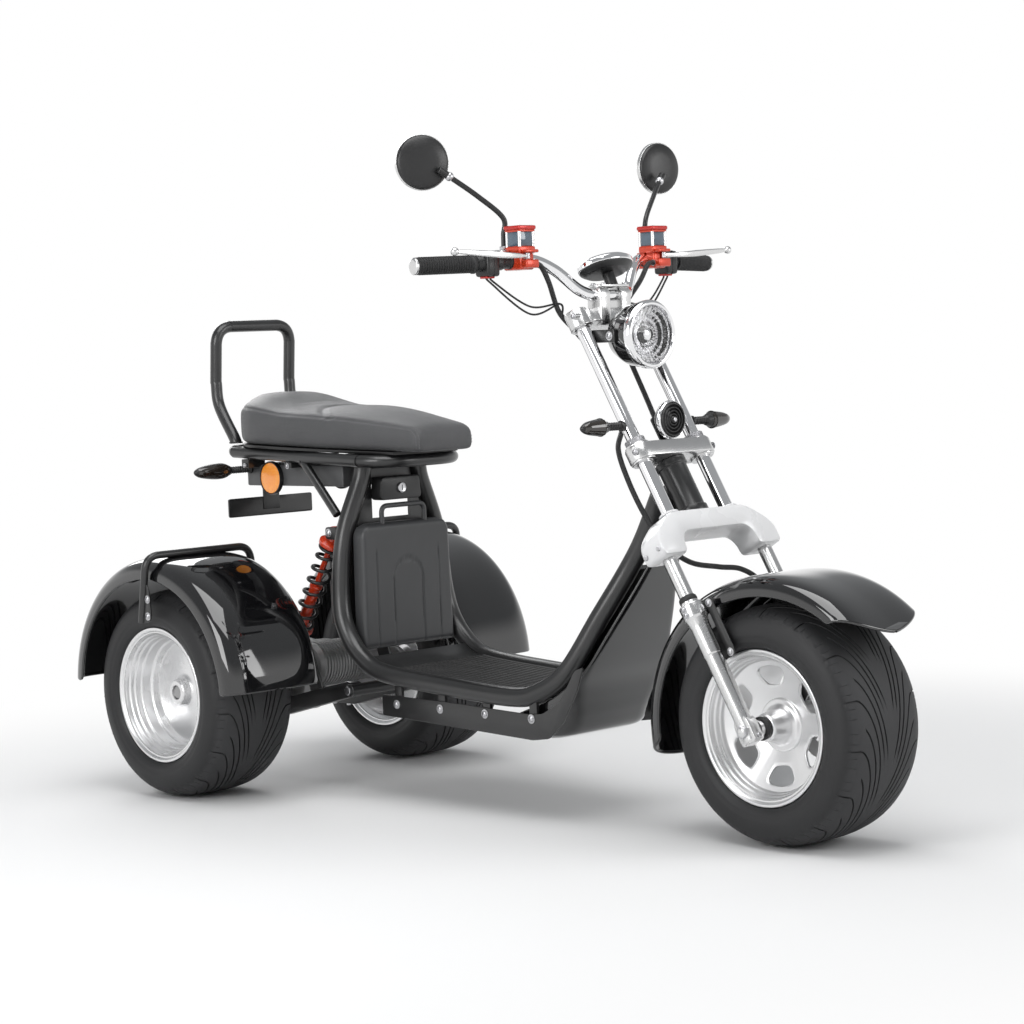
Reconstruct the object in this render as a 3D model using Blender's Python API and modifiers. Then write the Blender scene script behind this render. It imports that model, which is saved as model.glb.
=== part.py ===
"""Three-wheeled electric scooter, built as an assembly of separate parts.

Metres, +X forward, +Y to the rider's left, +Z up, ground at Z = 0. The origin lies on the
ground under the middle of the vehicle's length. Distances along the vehicle are written from
the rear axle, and place() moves them into the model's frame.
"""
import math

import bmesh
import bpy
from mathutils import Matrix, Vector

# Wheels and tyres
WHEELBASE = 1.389
TYRE_RADIUS = 0.217
TYRE_HALF_WIDTH = 0.106
SIDEWALL_HEIGHT = 0.076
FLANGE_RADIUS = TYRE_RADIUS - SIDEWALL_HEIGHT
BEAD_RADIUS = FLANGE_RADIUS - 0.014
BARREL_RADIUS = FLANGE_RADIUS - 0.023
RIM_HALF_WIDTH = 0.097
RIM_STEP = 0.004
FLANGE_THICKNESS = 0.005
REAR_TRACK_HALF = 0.2994
WHEEL_STEPS = 32
AXLE_RADIUS = 0.0085
SPINDLE_RADIUS = 0.014
RUNNING_CLEARANCE = 0.0004

# Front brake: the disc on the hub's left, and the caliper's room around it
DISC_RADIUS = 0.080
DISC_THICKNESS = 0.003
DISC_Y = 0.080
CALIPER_CLEARANCE = 0.006

# Gaps between pieces that touch, and between pieces that move past each other
GAP = 0.0003
WELD = 0.0001

# Frame
TUBE_RADIUS = 0.019
FLOOR_HALF_WIDTH = 0.144
FLOOR_PANEL_THICKNESS = 0.012
FOOTWELL_REAR = 0.366
MAT_THICKNESS = 0.004
MAT_REAR = 0.43
MAT_FRONT = 0.79
SKIRT_Y = FLOOR_HALF_WIDTH + 0.004
SKIRT_THICKNESS = 0.004
SKIRT_BOLTS = (0.470, 0.600, 0.730, 0.860)
SKIRT_TAB_FOOT = 0.190
NECK_PLATE_HALF = 0.0052
NECK_FOOT = 0.500

# Fork and steering
FORK_RAKE = math.radians(30.5)
UPPER_TUBE_HALF = 0.079
LOWER_LEG_HALF = 0.129
FORK_TUBE_RADIUS = 0.0135
SLIDER_RADIUS = 0.0162
COLLAR_RADIUS = 0.0225
STEER_BACK = 0.012
STEM_RADIUS = 0.0175
HEAD_TUBE_RADIUS = 0.027
BRACE_BOTTOM = 0.345
BRACE_TOP = 0.430
CLAMP_BOTTOM = 0.545
CLAMP_TOP = 0.575
TOP_CLAMP_BOTTOM = 0.838
TOP_CLAMP_TOP = 0.866

# Handlebar: its radius, and the x and height of its clamped middle
BAR_RADIUS = 0.011
BAR_MIDDLE = (0.962, 0.996)
BAR_FLAT = 0.046

# Dash: its centre, how far its back lies behind that, and its tilt towards the rider
DASH_CENTRE = (0.955, 0.0, 1.050)
DASH_DEPTH = 0.014
DASH_TILT = math.radians(24)

# Fenders
REAR_FENDER_RADIUS = TYRE_RADIUS + 0.067
REAR_FENDER_HALF = TYRE_HALF_WIDTH + 0.012
FRONT_FENDER_CROWN = TYRE_RADIUS + 0.045
FRONT_FENDER_TIP = TYRE_RADIUS + 0.018
FRONT_FENDER_HALF = 0.103
FENDER_THICKNESS = 0.004
FENDER_COLUMNS = 6
FENDER_ROWS = 15
FENDER_FIRST = math.radians(4)
FENDER_LAST = math.radians(176)
GUARD_RADIUS = 0.008
GUARD_ROW = 7

# Shocks: upper and lower ends, the radius of their eyes and the lugs that hold them
SHOCK_TOP = (0.262, 0.118, 0.540)
SHOCK_FOOT = (0.118, 0.118, 0.312)
SHOCK_EYE = 0.011
LUG_THICKNESS = 0.007

# Seat and its ring
RING_RADIUS = 0.0127
RING_HALF_WIDTH = 0.120
RING_REAR = -0.098
RING_FRONT = 0.417
RING_REAR_CORNER = 0.060
RING_FRONT_CORNER = 0.095
RING_HEIGHT = 0.703
SEAT_FALL = 0.045
PAN_THICKNESS = 0.006

# The drawing that every length below is read from: the height of its axles, its wheelbase, and
# the ends of the flat floor, which is what a longer wheelbase stretches
DRAWN_AXLES = (0.217, 1.389)
DRAWN_FLOOR = (0.450, 0.860)

# The rear axle's place in the model's frame, so that the length is centred on the origin
REAR_REACH = REAR_FENDER_RADIUS + FENDER_THICKNESS / 2
REAR_AXLE_X = -(WHEELBASE + FRONT_FENDER_TIP - REAR_REACH) / 2

PARTS = None
CUTTERS = None


def place(x, y, z):
    """A point of the drawing, whose x is measured from the rear axle, in the model's frame."""
    axle_height, wheelbase = DRAWN_AXLES
    floor_rear, floor_front = DRAWN_FLOOR
    share = min(max((x - floor_rear) / (floor_front - floor_rear), 0.0), 1.0)
    return Vector((REAR_AXLE_X + x + share * (WHEELBASE - wheelbase), y,
                   z + TYRE_RADIUS - axle_height))


def rear_axle(y):
    """The point of the rear axle's line at y."""
    return place(0, y, DRAWN_AXLES[0])


def front_axle_at(y):
    """The point of the front axle's line at y."""
    return place(DRAWN_AXLES[1], y, DRAWN_AXLES[0])


def on_fork(up, y, out=0.0):
    """A point up the fork from the front axle, y sideways and out ahead of the legs' plane."""
    base = front_axle_at(y)
    along = Vector((-math.sin(FORK_RAKE), 0, math.cos(FORK_RAKE)))
    ahead = Vector((math.cos(FORK_RAKE), 0, math.sin(FORK_RAKE)))
    return base + along * up + ahead * out


FORK_TURN = Matrix.Rotation(-FORK_RAKE, 4, 'Y')


def start_scene():
    """Empty the scene and make the two collections."""
    global PARTS, CUTTERS
    for item in list(bpy.data.objects):
        bpy.data.objects.remove(item, do_unlink=True)
    PARTS = bpy.data.collections.new("electric_scooter")
    CUTTERS = bpy.data.collections.new("cutters")
    bpy.context.scene.collection.children.link(PARTS)
    bpy.context.scene.collection.children.link(CUTTERS)


def finish(colour, roughness, metallic=0.0):
    """A Principled material of one colour."""
    name = "finish_%02d%02d%02d_%02d_%02d" % tuple(
        round(v * 99) for v in (*colour, roughness, metallic))
    if name in bpy.data.materials:
        return bpy.data.materials[name]
    material = bpy.data.materials.new(name)
    material.use_nodes = True
    shader = material.node_tree.nodes["Principled BSDF"]
    shader.inputs["Base Color"].default_value = (*colour, 1.0)
    shader.inputs["Roughness"].default_value = roughness
    shader.inputs["Metallic"].default_value = metallic
    return material


def add_part(name, data, material):
    """Link a new object into the parts collection."""
    item = bpy.data.objects.new(name, data)
    PARTS.objects.link(item)
    if material:
        data.materials.append(material)
    return item


def hide_cutter(item):
    """Move an object that only shapes another one into the cutters collection."""
    for owner in list(item.users_collection):
        owner.objects.unlink(item)
    CUTTERS.objects.link(item)
    item.hide_render = True
    item.display_type = 'WIRE'


def combine(target, other, operation):
    """Boolean modifier on target with other, which becomes a cutter."""
    modifier = target.modifiers.new(operation.lower(), 'BOOLEAN')
    modifier.operation = operation
    modifier.solver = 'EXACT'
    modifier.object = other
    hide_cutter(other)


def cut(target, *others):
    for other in others:
        combine(target, other, 'DIFFERENCE')


def join(target, *others):
    for other in others:
        combine(target, other, 'UNION')


def smooth(mesh, angle=35):
    mesh.shade_smooth()
    mesh.set_sharp_from_angle(angle=math.radians(angle))


def mesh_from_bmesh(name, bm):
    bmesh.ops.recalc_face_normals(bm, faces=bm.faces)
    mesh = bpy.data.meshes.new(name)
    bm.to_mesh(mesh)
    bm.free()
    smooth(mesh)
    return mesh


def box(name, low, high, material=None, bevel=0.0, segments=1):
    """A box between two corners given in the rear axle's lengths."""
    bm = bmesh.new()
    bmesh.ops.create_cube(bm, size=1.0)
    low = Vector(low)
    high = Vector(high)
    bmesh.ops.scale(bm, vec=high - low, verts=bm.verts)
    item = add_part(name, mesh_from_bmesh(name, bm), material)
    item.location = place(*((low + high) / 2))
    if bevel:
        add_bevel(item, bevel, segments)
    return item


def fork_box(name, up, y, out, size, material=None):
    """A box lined up with the fork, from its centre and its size ahead, sideways and along."""
    item = box(name, (0, 0, 0), size, material)
    item.matrix_world = Matrix.Translation(on_fork(up, y, out)) @ FORK_TURN
    return item


def add_bevel(item, width, segments=1, angle=40):
    modifier = item.modifiers.new("bevel", 'BEVEL')
    modifier.width = width
    modifier.segments = segments
    modifier.limit_method = 'ANGLE'
    modifier.angle_limit = math.radians(angle)
    return modifier


def turned(name, profile, steps, material=None, closed=False):
    """A turned solid about its own Z axis, from radius and height pairs down its outer side."""
    mesh = bpy.data.meshes.new(name)
    points = [(radius, 0.0, height) for radius, height in profile]
    edges = [(i, i + 1) for i in range(len(points) - 1)]
    if closed:
        edges.append((len(points) - 1, 0))
    mesh.from_pydata(points, edges, [])
    item = add_part(name, mesh, material)
    screw = item.modifiers.new("turn", 'SCREW')
    screw.axis = 'Z'
    screw.angle = math.tau
    screw.steps = steps
    screw.render_steps = steps
    screw.use_merge_vertices = True
    screw.merge_threshold = WELD
    screw.use_smooth_shade = True
    weld = item.modifiers.new("weld", 'WELD')
    weld.merge_threshold = WELD / 2
    return item


def rod(name, start, end, radius, steps=12, material=None):
    """A round bar between two points of the model's frame."""
    length = (end - start).length
    profile = [(0, length / 2), (radius, length / 2), (radius, -length / 2), (0, -length / 2)]
    item = turned(name, profile, steps, material)
    direction = (end - start).normalized()
    item.matrix_world = (Matrix.Translation((start + end) / 2)
                         @ direction.to_track_quat('Z', 'Y').to_matrix().to_4x4())
    return item


def ball(name, centre, radius):
    """A small round ball."""
    bm = bmesh.new()
    bmesh.ops.create_uvsphere(bm, u_segments=10, v_segments=6, radius=radius)
    item = add_part(name, mesh_from_bmesh(name, bm), None)
    item.location = centre
    return item


def spline_points(points, count):
    """Evenly spread points on a smooth curve through the given ones."""
    points = [Vector(p) for p in points]
    padded = [2 * points[0] - points[1]] + points + [2 * points[-1] - points[-2]]
    fine = []
    for i in range(1, len(padded) - 2):
        a, b, c, d = padded[i - 1:i + 3]
        for step in range(24):
            t = step / 24
            fine.append(0.5 * (2 * b + (c - a) * t + (2 * a - 5 * b + 4 * c - d) * t * t
                               + (3 * b - a - 3 * c + d) * t ** 3))
    fine.append(points[-1])
    lengths = [0.0]
    for i in range(1, len(fine)):
        lengths.append(lengths[-1] + (fine[i] - fine[i - 1]).length)
    result = []
    j = 0
    for k in range(count):
        goal = lengths[-1] * k / (count - 1)
        while j < len(lengths) - 2 and lengths[j + 1] < goal:
            j += 1
        span = lengths[j + 1] - lengths[j]
        t = (goal - lengths[j]) / span if span else 0.0
        result.append(fine[j].lerp(fine[j + 1], min(max(t, 0.0), 1.0)))
    return result


def rounded_path(points, radius, segments=4, closed=False):
    """The points with each corner replaced by an arc."""
    points = [Vector(p) for p in points]
    count = len(points)
    result = []
    for i in range(count):
        if not closed and i in (0, count - 1):
            result.append(points[i])
            continue
        corner = points[i]
        before = (points[i - 1] - corner).normalized()
        after = (points[(i + 1) % count] - corner).normalized()
        half = before.angle(after) / 2
        reach = radius / math.tan(half)
        centre = corner + (before + after).normalized() * (radius / math.sin(half))
        first = corner + before * reach - centre
        last = corner + after * reach - centre
        sweep = first.angle(last)
        for k in range(segments + 1):
            t = k / segments
            ray = (first * math.sin((1 - t) * sweep) + last * math.sin(t * sweep))
            result.append(centre + ray / math.sin(sweep))
    return result


def tube(name, points, radius, material=None, resolution=2, closed=False):
    """A bent round tube along the points, which are in the model's frame."""
    curve = bpy.data.curves.new(name, 'CURVE')
    curve.dimensions = '3D'
    curve.bevel_depth = radius
    curve.bevel_resolution = resolution
    curve.use_fill_caps = not closed
    spline = curve.splines.new('POLY')
    spline.points.add(len(points) - 1)
    for target, point in zip(spline.points, points):
        target.co = (*point, 1.0)
    spline.use_cyclic_u = closed
    spline.use_smooth = True
    return add_part(name, curve, material)


def as_mesh(item):
    """The same curve object as a welded mesh, so that it can be cut and joined."""
    graph = bpy.context.evaluated_depsgraph_get()
    graph.update()
    mesh = bpy.data.meshes.new_from_object(item.evaluated_get(graph))
    bm = bmesh.new()
    bm.from_mesh(mesh)
    bmesh.ops.remove_doubles(bm, verts=bm.verts, dist=WELD / 2)
    bmesh.ops.recalc_face_normals(bm, faces=bm.faces)
    bm.to_mesh(mesh)
    bm.free()
    name = item.name
    place_matrix = item.matrix_world.copy()
    bpy.data.objects.remove(item, do_unlink=True)
    mesh.name = name
    new = bpy.data.objects.new(name, mesh)
    PARTS.objects.link(new)
    new.matrix_world = place_matrix
    return new


def plate(name, outline, thickness, matrix, material=None, bevel=0.0):
    """A flat plate from a 2D outline, centred on its own XY plane, placed by a matrix."""
    curve = bpy.data.curves.new(name, 'CURVE')
    curve.dimensions = '2D'
    curve.fill_mode = 'BOTH'
    curve.extrude = thickness / 2
    spline = curve.splines.new('POLY')
    spline.points.add(len(outline) - 1)
    for target, point in zip(spline.points, outline):
        target.co = (point[0], point[1], 0.0, 1.0)
    spline.use_cyclic_u = True
    item = add_part(name, curve, material)
    item.matrix_world = matrix
    item = as_mesh(item)
    if bevel:
        add_bevel(item, bevel)
    return item


def loft(name, sections, material=None):
    """A solid skinned over closed sections that have the same number of points."""
    bm = bmesh.new()
    rings = [[bm.verts.new(p) for p in section] for section in sections]
    count = len(rings[0])
    for a, b in zip(rings, rings[1:]):
        for i in range(count):
            j = (i + 1) % count
            bm.faces.new((a[i], a[j], b[j], b[i]))
    bm.faces.new(rings[0][::-1])
    bm.faces.new(rings[-1])
    return add_part(name, mesh_from_bmesh(name, bm), material)


WHEEL_RIGHT = Matrix.Rotation(math.radians(90), 4, 'X')
WHEEL_LEFT = Matrix.Rotation(math.radians(-90), 4, 'X')

BLACK_SATIN = ((0.025, 0.025, 0.027), 0.35, 0.3)
BLACK_GLOSS = ((0.01, 0.01, 0.011), 0.06, 0.0)
BLACK_PLASTIC = ((0.03, 0.03, 0.032), 0.5, 0.0)
GREY_PLASTIC = ((0.09, 0.09, 0.095), 0.55, 0.0)
RUBBER = ((0.02, 0.02, 0.021), 0.8, 0.0)
CHROME = ((0.85, 0.85, 0.86), 0.1, 1.0)
POLISHED = ((0.8, 0.8, 0.82), 0.25, 1.0)
CAST = ((0.45, 0.45, 0.46), 0.45, 0.9)
WHITE = ((0.85, 0.85, 0.86), 0.3, 0.2)
RED = ((0.7, 0.09, 0.03), 0.3, 0.2)
AMBER = ((0.95, 0.3, 0.02), 0.3, 0.0)
LEATHER = ((0.1, 0.1, 0.105), 0.6, 0.0)


# Wheels

def tyre_profile():
    """Half outline mirrored: crown, shoulder, sidewall, then the bead behind the rim's flange."""
    w = TYRE_HALF_WIDTH
    r = TYRE_RADIUS
    seat = FLANGE_RADIUS + GAP
    inner = RIM_HALF_WIDTH - FLANGE_THICKNESS - GAP
    half = [(r - 0.004, 0.060), (r - 0.020, w - 0.012), (r - 0.046, w),
            (seat + 0.006, w - 0.005), (seat, RIM_HALF_WIDTH + 0.001), (seat, inner),
            (BEAD_RADIUS + GAP, inner)]
    upper = [(radius, height) for radius, height in reversed(half)]
    lower = [(radius, -height) for radius, height in half]
    return upper + [(r, 0.0)] + lower


def tyre(name, centre, turn):
    item = turned(name, tyre_profile(), WHEEL_STEPS, finish(*RUBBER), closed=True)
    item.matrix_world = Matrix.Translation(centre) @ turn
    return item


def rim_profile(face_edge, face_hub, hub, bore, wall=0.006):
    """Barrel with its two flanges, and a disc from face_edge at the barrel to face_hub."""
    h = RIM_HALF_WIDTH
    t = FLANGE_THICKNESS
    hub_base, hub_tip, hub_out, hub_in = hub
    step = BARREL_RADIUS + RIM_STEP
    outer = [(FLANGE_RADIUS, h), (FLANGE_RADIUS, h - t), (BEAD_RADIUS, h - t),
             (BEAD_RADIUS, t - h), (FLANGE_RADIUS, t - h), (FLANGE_RADIUS, -h)]
    inner = [(FLANGE_RADIUS - 0.006, -h), (BARREL_RADIUS, 0.012 - h),
             (BARREL_RADIUS, face_edge - wall), (hub_base, face_hub - wall),
             (hub_base, hub_in), (bore, hub_in), (bore, hub_out), (hub_tip, hub_out),
             (hub_base, face_hub), (BARREL_RADIUS, face_edge), (BARREL_RADIUS, h - 0.027),
             (step, h - 0.025), (step, h - 0.012), (FLANGE_RADIUS - 0.006, h)]
    return outer + inner


FRONT_HUB = (0.034, 0.021, 0.088, -0.088)
REAR_HUB = (0.034, 0.026, 0.052, -0.020)
# Outline of a window in the front rim's disc, in shares of the barrel's radius
WINDOW = [(0.56, 0.16), (0.85, 0.28), (0.915, 0.20), (0.93, 0.0), (0.915, -0.20), (0.85, -0.28),
          (0.56, -0.16)]
WINDOW_COUNT = 6
WINDOW_FIRST = math.radians(35)


def front_rim(centre):
    """Dished disc with rounded windows and a long hub cone towards the fork."""
    item = turned("front_rim", rim_profile(0.062, 0.040, FRONT_HUB, AXLE_RADIUS + RUNNING_CLEARANCE),
                  WHEEL_STEPS, finish(*POLISHED), closed=True)
    bm = bmesh.new()
    outline = [(BARREL_RADIUS * along, BARREL_RADIUS * across) for along, across in WINDOW]
    for k in range(WINDOW_COUNT):
        turn = Matrix.Rotation(WINDOW_FIRST + math.tau * k / WINDOW_COUNT, 4, 'Z')
        low = [bm.verts.new(turn @ Vector((x, y, 0.0))) for x, y in outline]
        high = [bm.verts.new(turn @ Vector((x, y, 0.09))) for x, y in outline]
        for i in range(len(outline)):
            j = (i + 1) % len(outline)
            bm.faces.new((low[i], low[j], high[j], high[i]))
        bm.faces.new(low[::-1])
        bm.faces.new(high)
    windows = add_part("rim_windows", mesh_from_bmesh("rim_windows", bm), None)
    cut(item, windows)
    half = DISC_THICKNESS / 2
    inner = FRONT_HUB[0] - 0.002
    disc = turned("brake_disc", [(DISC_RADIUS, half), (DISC_RADIUS, -half), (inner, -half),
                                 (inner, half)], WHEEL_STEPS, None, closed=True)
    join(item, disc)
    item.matrix_world = Matrix.Translation(centre) @ WHEEL_RIGHT
    windows.matrix_world = item.matrix_world
    disc.matrix_world = Matrix.Translation(centre + Vector((0, DISC_Y, 0))) @ WHEEL_RIGHT
    return item


def rear_rim(name, centre, turn):
    """Deep plain dish, as on trikes whose wheels slide onto a driven axle."""
    item = turned(name, rim_profile(0.017, 0.030, REAR_HUB, SPINDLE_RADIUS + RUNNING_CLEARANCE),
                  WHEEL_STEPS, finish(*POLISHED), closed=True)
    item.matrix_world = Matrix.Translation(centre) @ turn
    return item


def wheels():
    front = front_axle_at(0)
    tyre("front_tyre", front, WHEEL_RIGHT)
    front_rim(front)
    for side, word, turn in ((-1, "right", WHEEL_RIGHT), (1, "left", WHEEL_LEFT)):
        centre = rear_axle(side * REAR_TRACK_HALF)
        tyre("rear_tyre_" + word, centre, turn)
        rear_rim("rear_rim_" + word, centre, turn)


# Frame

SIDE_TUBE = [(1.097, 0.0245, 0.618), (1.062, 0.034, 0.540), (1.030, 0.048, 0.480),
             (0.985, 0.080, 0.395), (0.928, 0.116, 0.292), (0.868, 0.134, 0.250),
             (0.800, 0.142, 0.238), (0.620, FLOOR_HALF_WIDTH, 0.246), (0.440, 0.146, 0.260),
             (0.372, 0.147, 0.284), (0.322, 0.146, 0.335), (0.300, 0.142, 0.403),
             (0.298, 0.126, 0.530), (0.304, 0.082, 0.640)]


def ring_height(x):
    """Centre height of the seat ring, which falls slightly towards the front."""
    return RING_HEIGHT - SEAT_FALL * x


def side_line(side, count=26):
    """Centre line of one of the two long frame tubes, from the neck to under the seat."""
    top = (0.306, 0.075, ring_height(0.306) - RING_RADIUS - GAP - 0.0042)
    points = [(x, side * y, z) for x, y, z in SIDE_TUBE + [top]]
    return spline_points(points, count)


def tube_at_height(z, rear):
    """Point of a side tube's centre line at a height, on its rear or its front rise, and dy/dz."""
    path = side_line(-1)
    lowest = min(range(len(path)), key=lambda i: path[i].z)
    rise = path[lowest:] if rear else path[lowest::-1]
    for a, b in zip(rise, rise[1:]):
        if a.z <= z <= b.z:
            return a.lerp(b, (z - a.z) / (b.z - a.z)), (b.y - a.y) / (b.z - a.z)
    return rise[-1], 0.0


def frame_tubes():
    """The two long tubes from the neck to the seat, each with a lug for a shock's upper eye."""
    for side, word in ((-1, "right"), (1, "left")):
        line = [place(*p) for p in side_line(side)]
        item = as_mesh(tube("frame_tube_" + word, line, TUBE_RADIUS, finish(*BLACK_SATIN), 3))
        x, y, z = SHOCK_TOP
        near = side * (y + SHOCK_EYE + GAP)
        far = side * (y + SHOCK_EYE + GAP + LUG_THICKNESS)
        lug = box("shock_lug", (x - 0.012, min(near, far), z - 0.014),
                  (x + 0.026, max(near, far), z + 0.012))
        join(item, lug)
        near = side * (SKIRT_Y - 0.010)
        far = side * (SKIRT_Y - SKIRT_THICKNESS / 2 - GAP)
        for bolt_x in SKIRT_BOLTS:
            over = min(side_line(side), key=lambda point: abs(point.x - bolt_x))
            tab = box("skirt_tab", (bolt_x - 0.010, min(near, far), SKIRT_TAB_FOOT),
                      (bolt_x + 0.010, max(near, far), over.z - TUBE_RADIUS / 2))
            join(item, tab)


def head_tube():
    """Head pipe around the steering stem, with the neck plate that the side tubes are welded to."""
    low = BRACE_TOP + 2 * RUNNING_CLEARANCE
    high = CLAMP_BOTTOM - 2 * RUNNING_CLEARANCE
    inner = STEM_RADIUS + RUNNING_CLEARANCE
    half = (high - low) / 2
    flare = HEAD_TUBE_RADIUS + 0.003
    profile = [(flare, half), (flare, half - 0.012), (HEAD_TUBE_RADIUS, half - 0.014),
               (HEAD_TUBE_RADIUS, 0.014 - half), (flare, 0.012 - half), (flare, -half),
               (inner, -half), (inner, half)]
    item = turned("head_tube", profile, 16, finish(*BLACK_SATIN), closed=True)
    item.matrix_world = Matrix.Translation(on_fork((low + high) / 2, 0, -STEER_BACK)) @ FORK_TURN
    back = HEAD_TUBE_RADIUS + STEER_BACK
    corner = [on_fork(high - 0.02, 0, -back + 0.004), on_fork(low + 0.015, 0, -back + 0.004),
              place(1.052, 0, NECK_FOOT), place(1.040, 0, NECK_FOOT + 0.020), place(1.078, 0, 0.622),
              place(1.092, 0, 0.640)]
    outline = [(p.x, p.z) for p in corner]
    upright = Matrix.Rotation(math.radians(90), 4, 'X')
    neck = plate("neck_plate", outline, 2 * NECK_PLATE_HALF, upright)
    join(item, neck)
    return item


def frame():
    frame_tubes()
    head_tube()


# Footwell, skirts and front shell

def footwell():
    """Bent sheet between the side tubes, from the neck down and along the floor to the tower."""
    rows = []
    for point in side_line(-1):
        if point.z > NECK_FOOT - 0.015:
            continue
        if point.x < FOOTWELL_REAR:
            break
        rows.append((point.x, abs(point.y) - TUBE_RADIUS - 3 * GAP, point.z))
    sections = []
    for i, (x, half, z) in enumerate(rows):
        a = rows[max(i - 1, 0)]
        b = rows[min(i + 1, len(rows) - 1)]
        along = Vector((b[0] - a[0], 0, b[2] - a[2])).normalized()
        normal = Vector((-along.z, 0, along.x))
        middle = Vector((x, 0, z))
        t = FLOOR_PANEL_THICKNESS / 2
        side = Vector((0, half, 0))
        corners = (middle - side - normal * t, middle + side - normal * t,
                   middle + side + normal * t, middle - side + normal * t)
        sections.append([place(*p) for p in corners])
    return loft("footwell", sections, finish(*BLACK_SATIN))


def floor_mat():
    """Rubber mat on the flat of the footwell."""
    path = [p for p in side_line(-1) if MAT_REAR < p.x < MAT_FRONT]
    lift = FLOOR_PANEL_THICKNESS / 2 + 2 * GAP
    sections = []
    for p in path:
        half = abs(p.y) - TUBE_RADIUS - 0.006
        low = p.z + lift
        high = low + MAT_THICKNESS
        corners = ((p.x, -half, low), (p.x, half, low), (p.x, half, high), (p.x, -half, high))
        sections.append([place(*corner) for corner in corners])
    return loft("floor_mat", sections, finish(*RUBBER))


SKIRT = [(0.425, 0.218), (0.425, 0.176), (0.860, 0.160), (0.905, 0.166), (0.945, 0.200),
         (0.985, 0.262), (1.003, 0.308), (0.980, 0.300), (0.938, 0.238), (0.890, 0.213),
         (0.860, 0.209), (0.620, 0.216)]

def skirts():
    """Flat side plates bolted under the long tubes, with the curved tip at the front."""
    for side, word in ((-1, "right"), (1, "left")):
        y = side * SKIRT_Y
        corners = [place(x, y, z) for x, z in SKIRT]
        outline = [(corner.x, corner.z) for corner in corners]
        matrix = Matrix.Translation((0, y, 0)) @ Matrix.Rotation(math.radians(90), 4, 'X')
        plate("skirt_" + word, outline, SKIRT_THICKNESS, matrix, finish(*BLACK_SATIN))


BELLY = [  # height, back, front, half width, corner radius
    (0.158, 0.812, 0.880, 0.100, 0.030), (0.170, 0.790, 0.912, 0.122, 0.040),
    (0.200, 0.790, 0.930, 0.128, 0.045)]


def belly_section(z, back, front, half, radius):
    """Plan outline at one height: square at the back, rounded corners at the front."""
    points = [(back, -half), (back, half)]
    for side in (1, -1):
        for k in range(5):
            a = math.radians(90 * k / 4)
            if side == -1:
                a = math.radians(90) - a
            points.append((front - radius + radius * math.sin(a),
                           side * (half - radius + radius * math.cos(a))))
    return [place(x, y, z) for x, y in points]


def front_shell():
    """Gloss shell under the footwell: a wedge that follows the tubes up to the neck."""
    rows = []
    for z, back, front, half, radius in BELLY:
        rows.append(belly_section(z, back, front, half, radius))
    heights = [(0.232, 0.942), (0.262, 0.955), (0.300, 0.971), (0.350, 0.993), (0.400, 1.015),
               (0.450, 1.041), (0.500, 1.066), (0.540, 1.084)]
    for z, front in heights:
        near, slope = tube_at_height(z, rear=False)
        half = abs(near.y) - 0.004
        back = near.x + 0.034
        if z < 0.25:
            back = 0.875
        depth = max(front - back, 0.012)
        rows.append(belly_section(z, back, back + depth, half, min(0.04, half * 0.4, depth * 0.9)))
    return loft("front_shell", rows, finish(*BLACK_GLOSS))


# Tower, battery and lock

TOWER_X = 0.300
TOWER_THICKNESS = 0.008
COVER_HALF = 0.120
COVER_BOTTOM = 0.300
COVER_TOP = 0.557
COVER_BACK = 0.3185
COVER_DEPTH = 0.0315
BATTERY_HALF = 0.085
BATTERY_BOTTOM = 0.342


def tower_width(z):
    """Half width between the side tubes at a height on the tower."""
    point, slope = tube_at_height(z, rear=True)
    return abs(point.y) - TUBE_RADIUS * math.sqrt(1 + slope * slope) - 6 * GAP


def facing_forward(x):
    """Matrix that stands a plate across the vehicle at x, its outline's X and Y as y and z."""
    return Matrix.Translation(place(x, 0, 0)) @ Matrix(
        ((0, 0, 1, 0), (1, 0, 0, 0), (0, 1, 0, 0), (0, 0, 0, 1)))


def tower_panel():
    """A-shaped plate between the tubes, open where the battery and its lock pass through."""
    heights = [0.335, 0.40, 0.46, 0.52, 0.58, 0.63, 0.668]
    right = [(tower_width(z), z) for z in heights]
    outline = right + [(-y, z) for y, z in reversed(right)]
    item = plate("tower_panel", outline, TOWER_THICKNESS, facing_forward(TOWER_X),
                 finish(*BLACK_SATIN))
    bay = box("battery_bay", (TOWER_X - 0.02, -BATTERY_HALF - 0.003, BATTERY_BOTTOM - GAP),
              (TOWER_X + 0.02, BATTERY_HALF + 0.003, 0.545))
    recess = box("lock_recess", (TOWER_X - 0.02, -0.052, 0.565), (TOWER_X + 0.02, 0.052, 0.645))
    cut(item, bay, recess)
    return item


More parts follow.
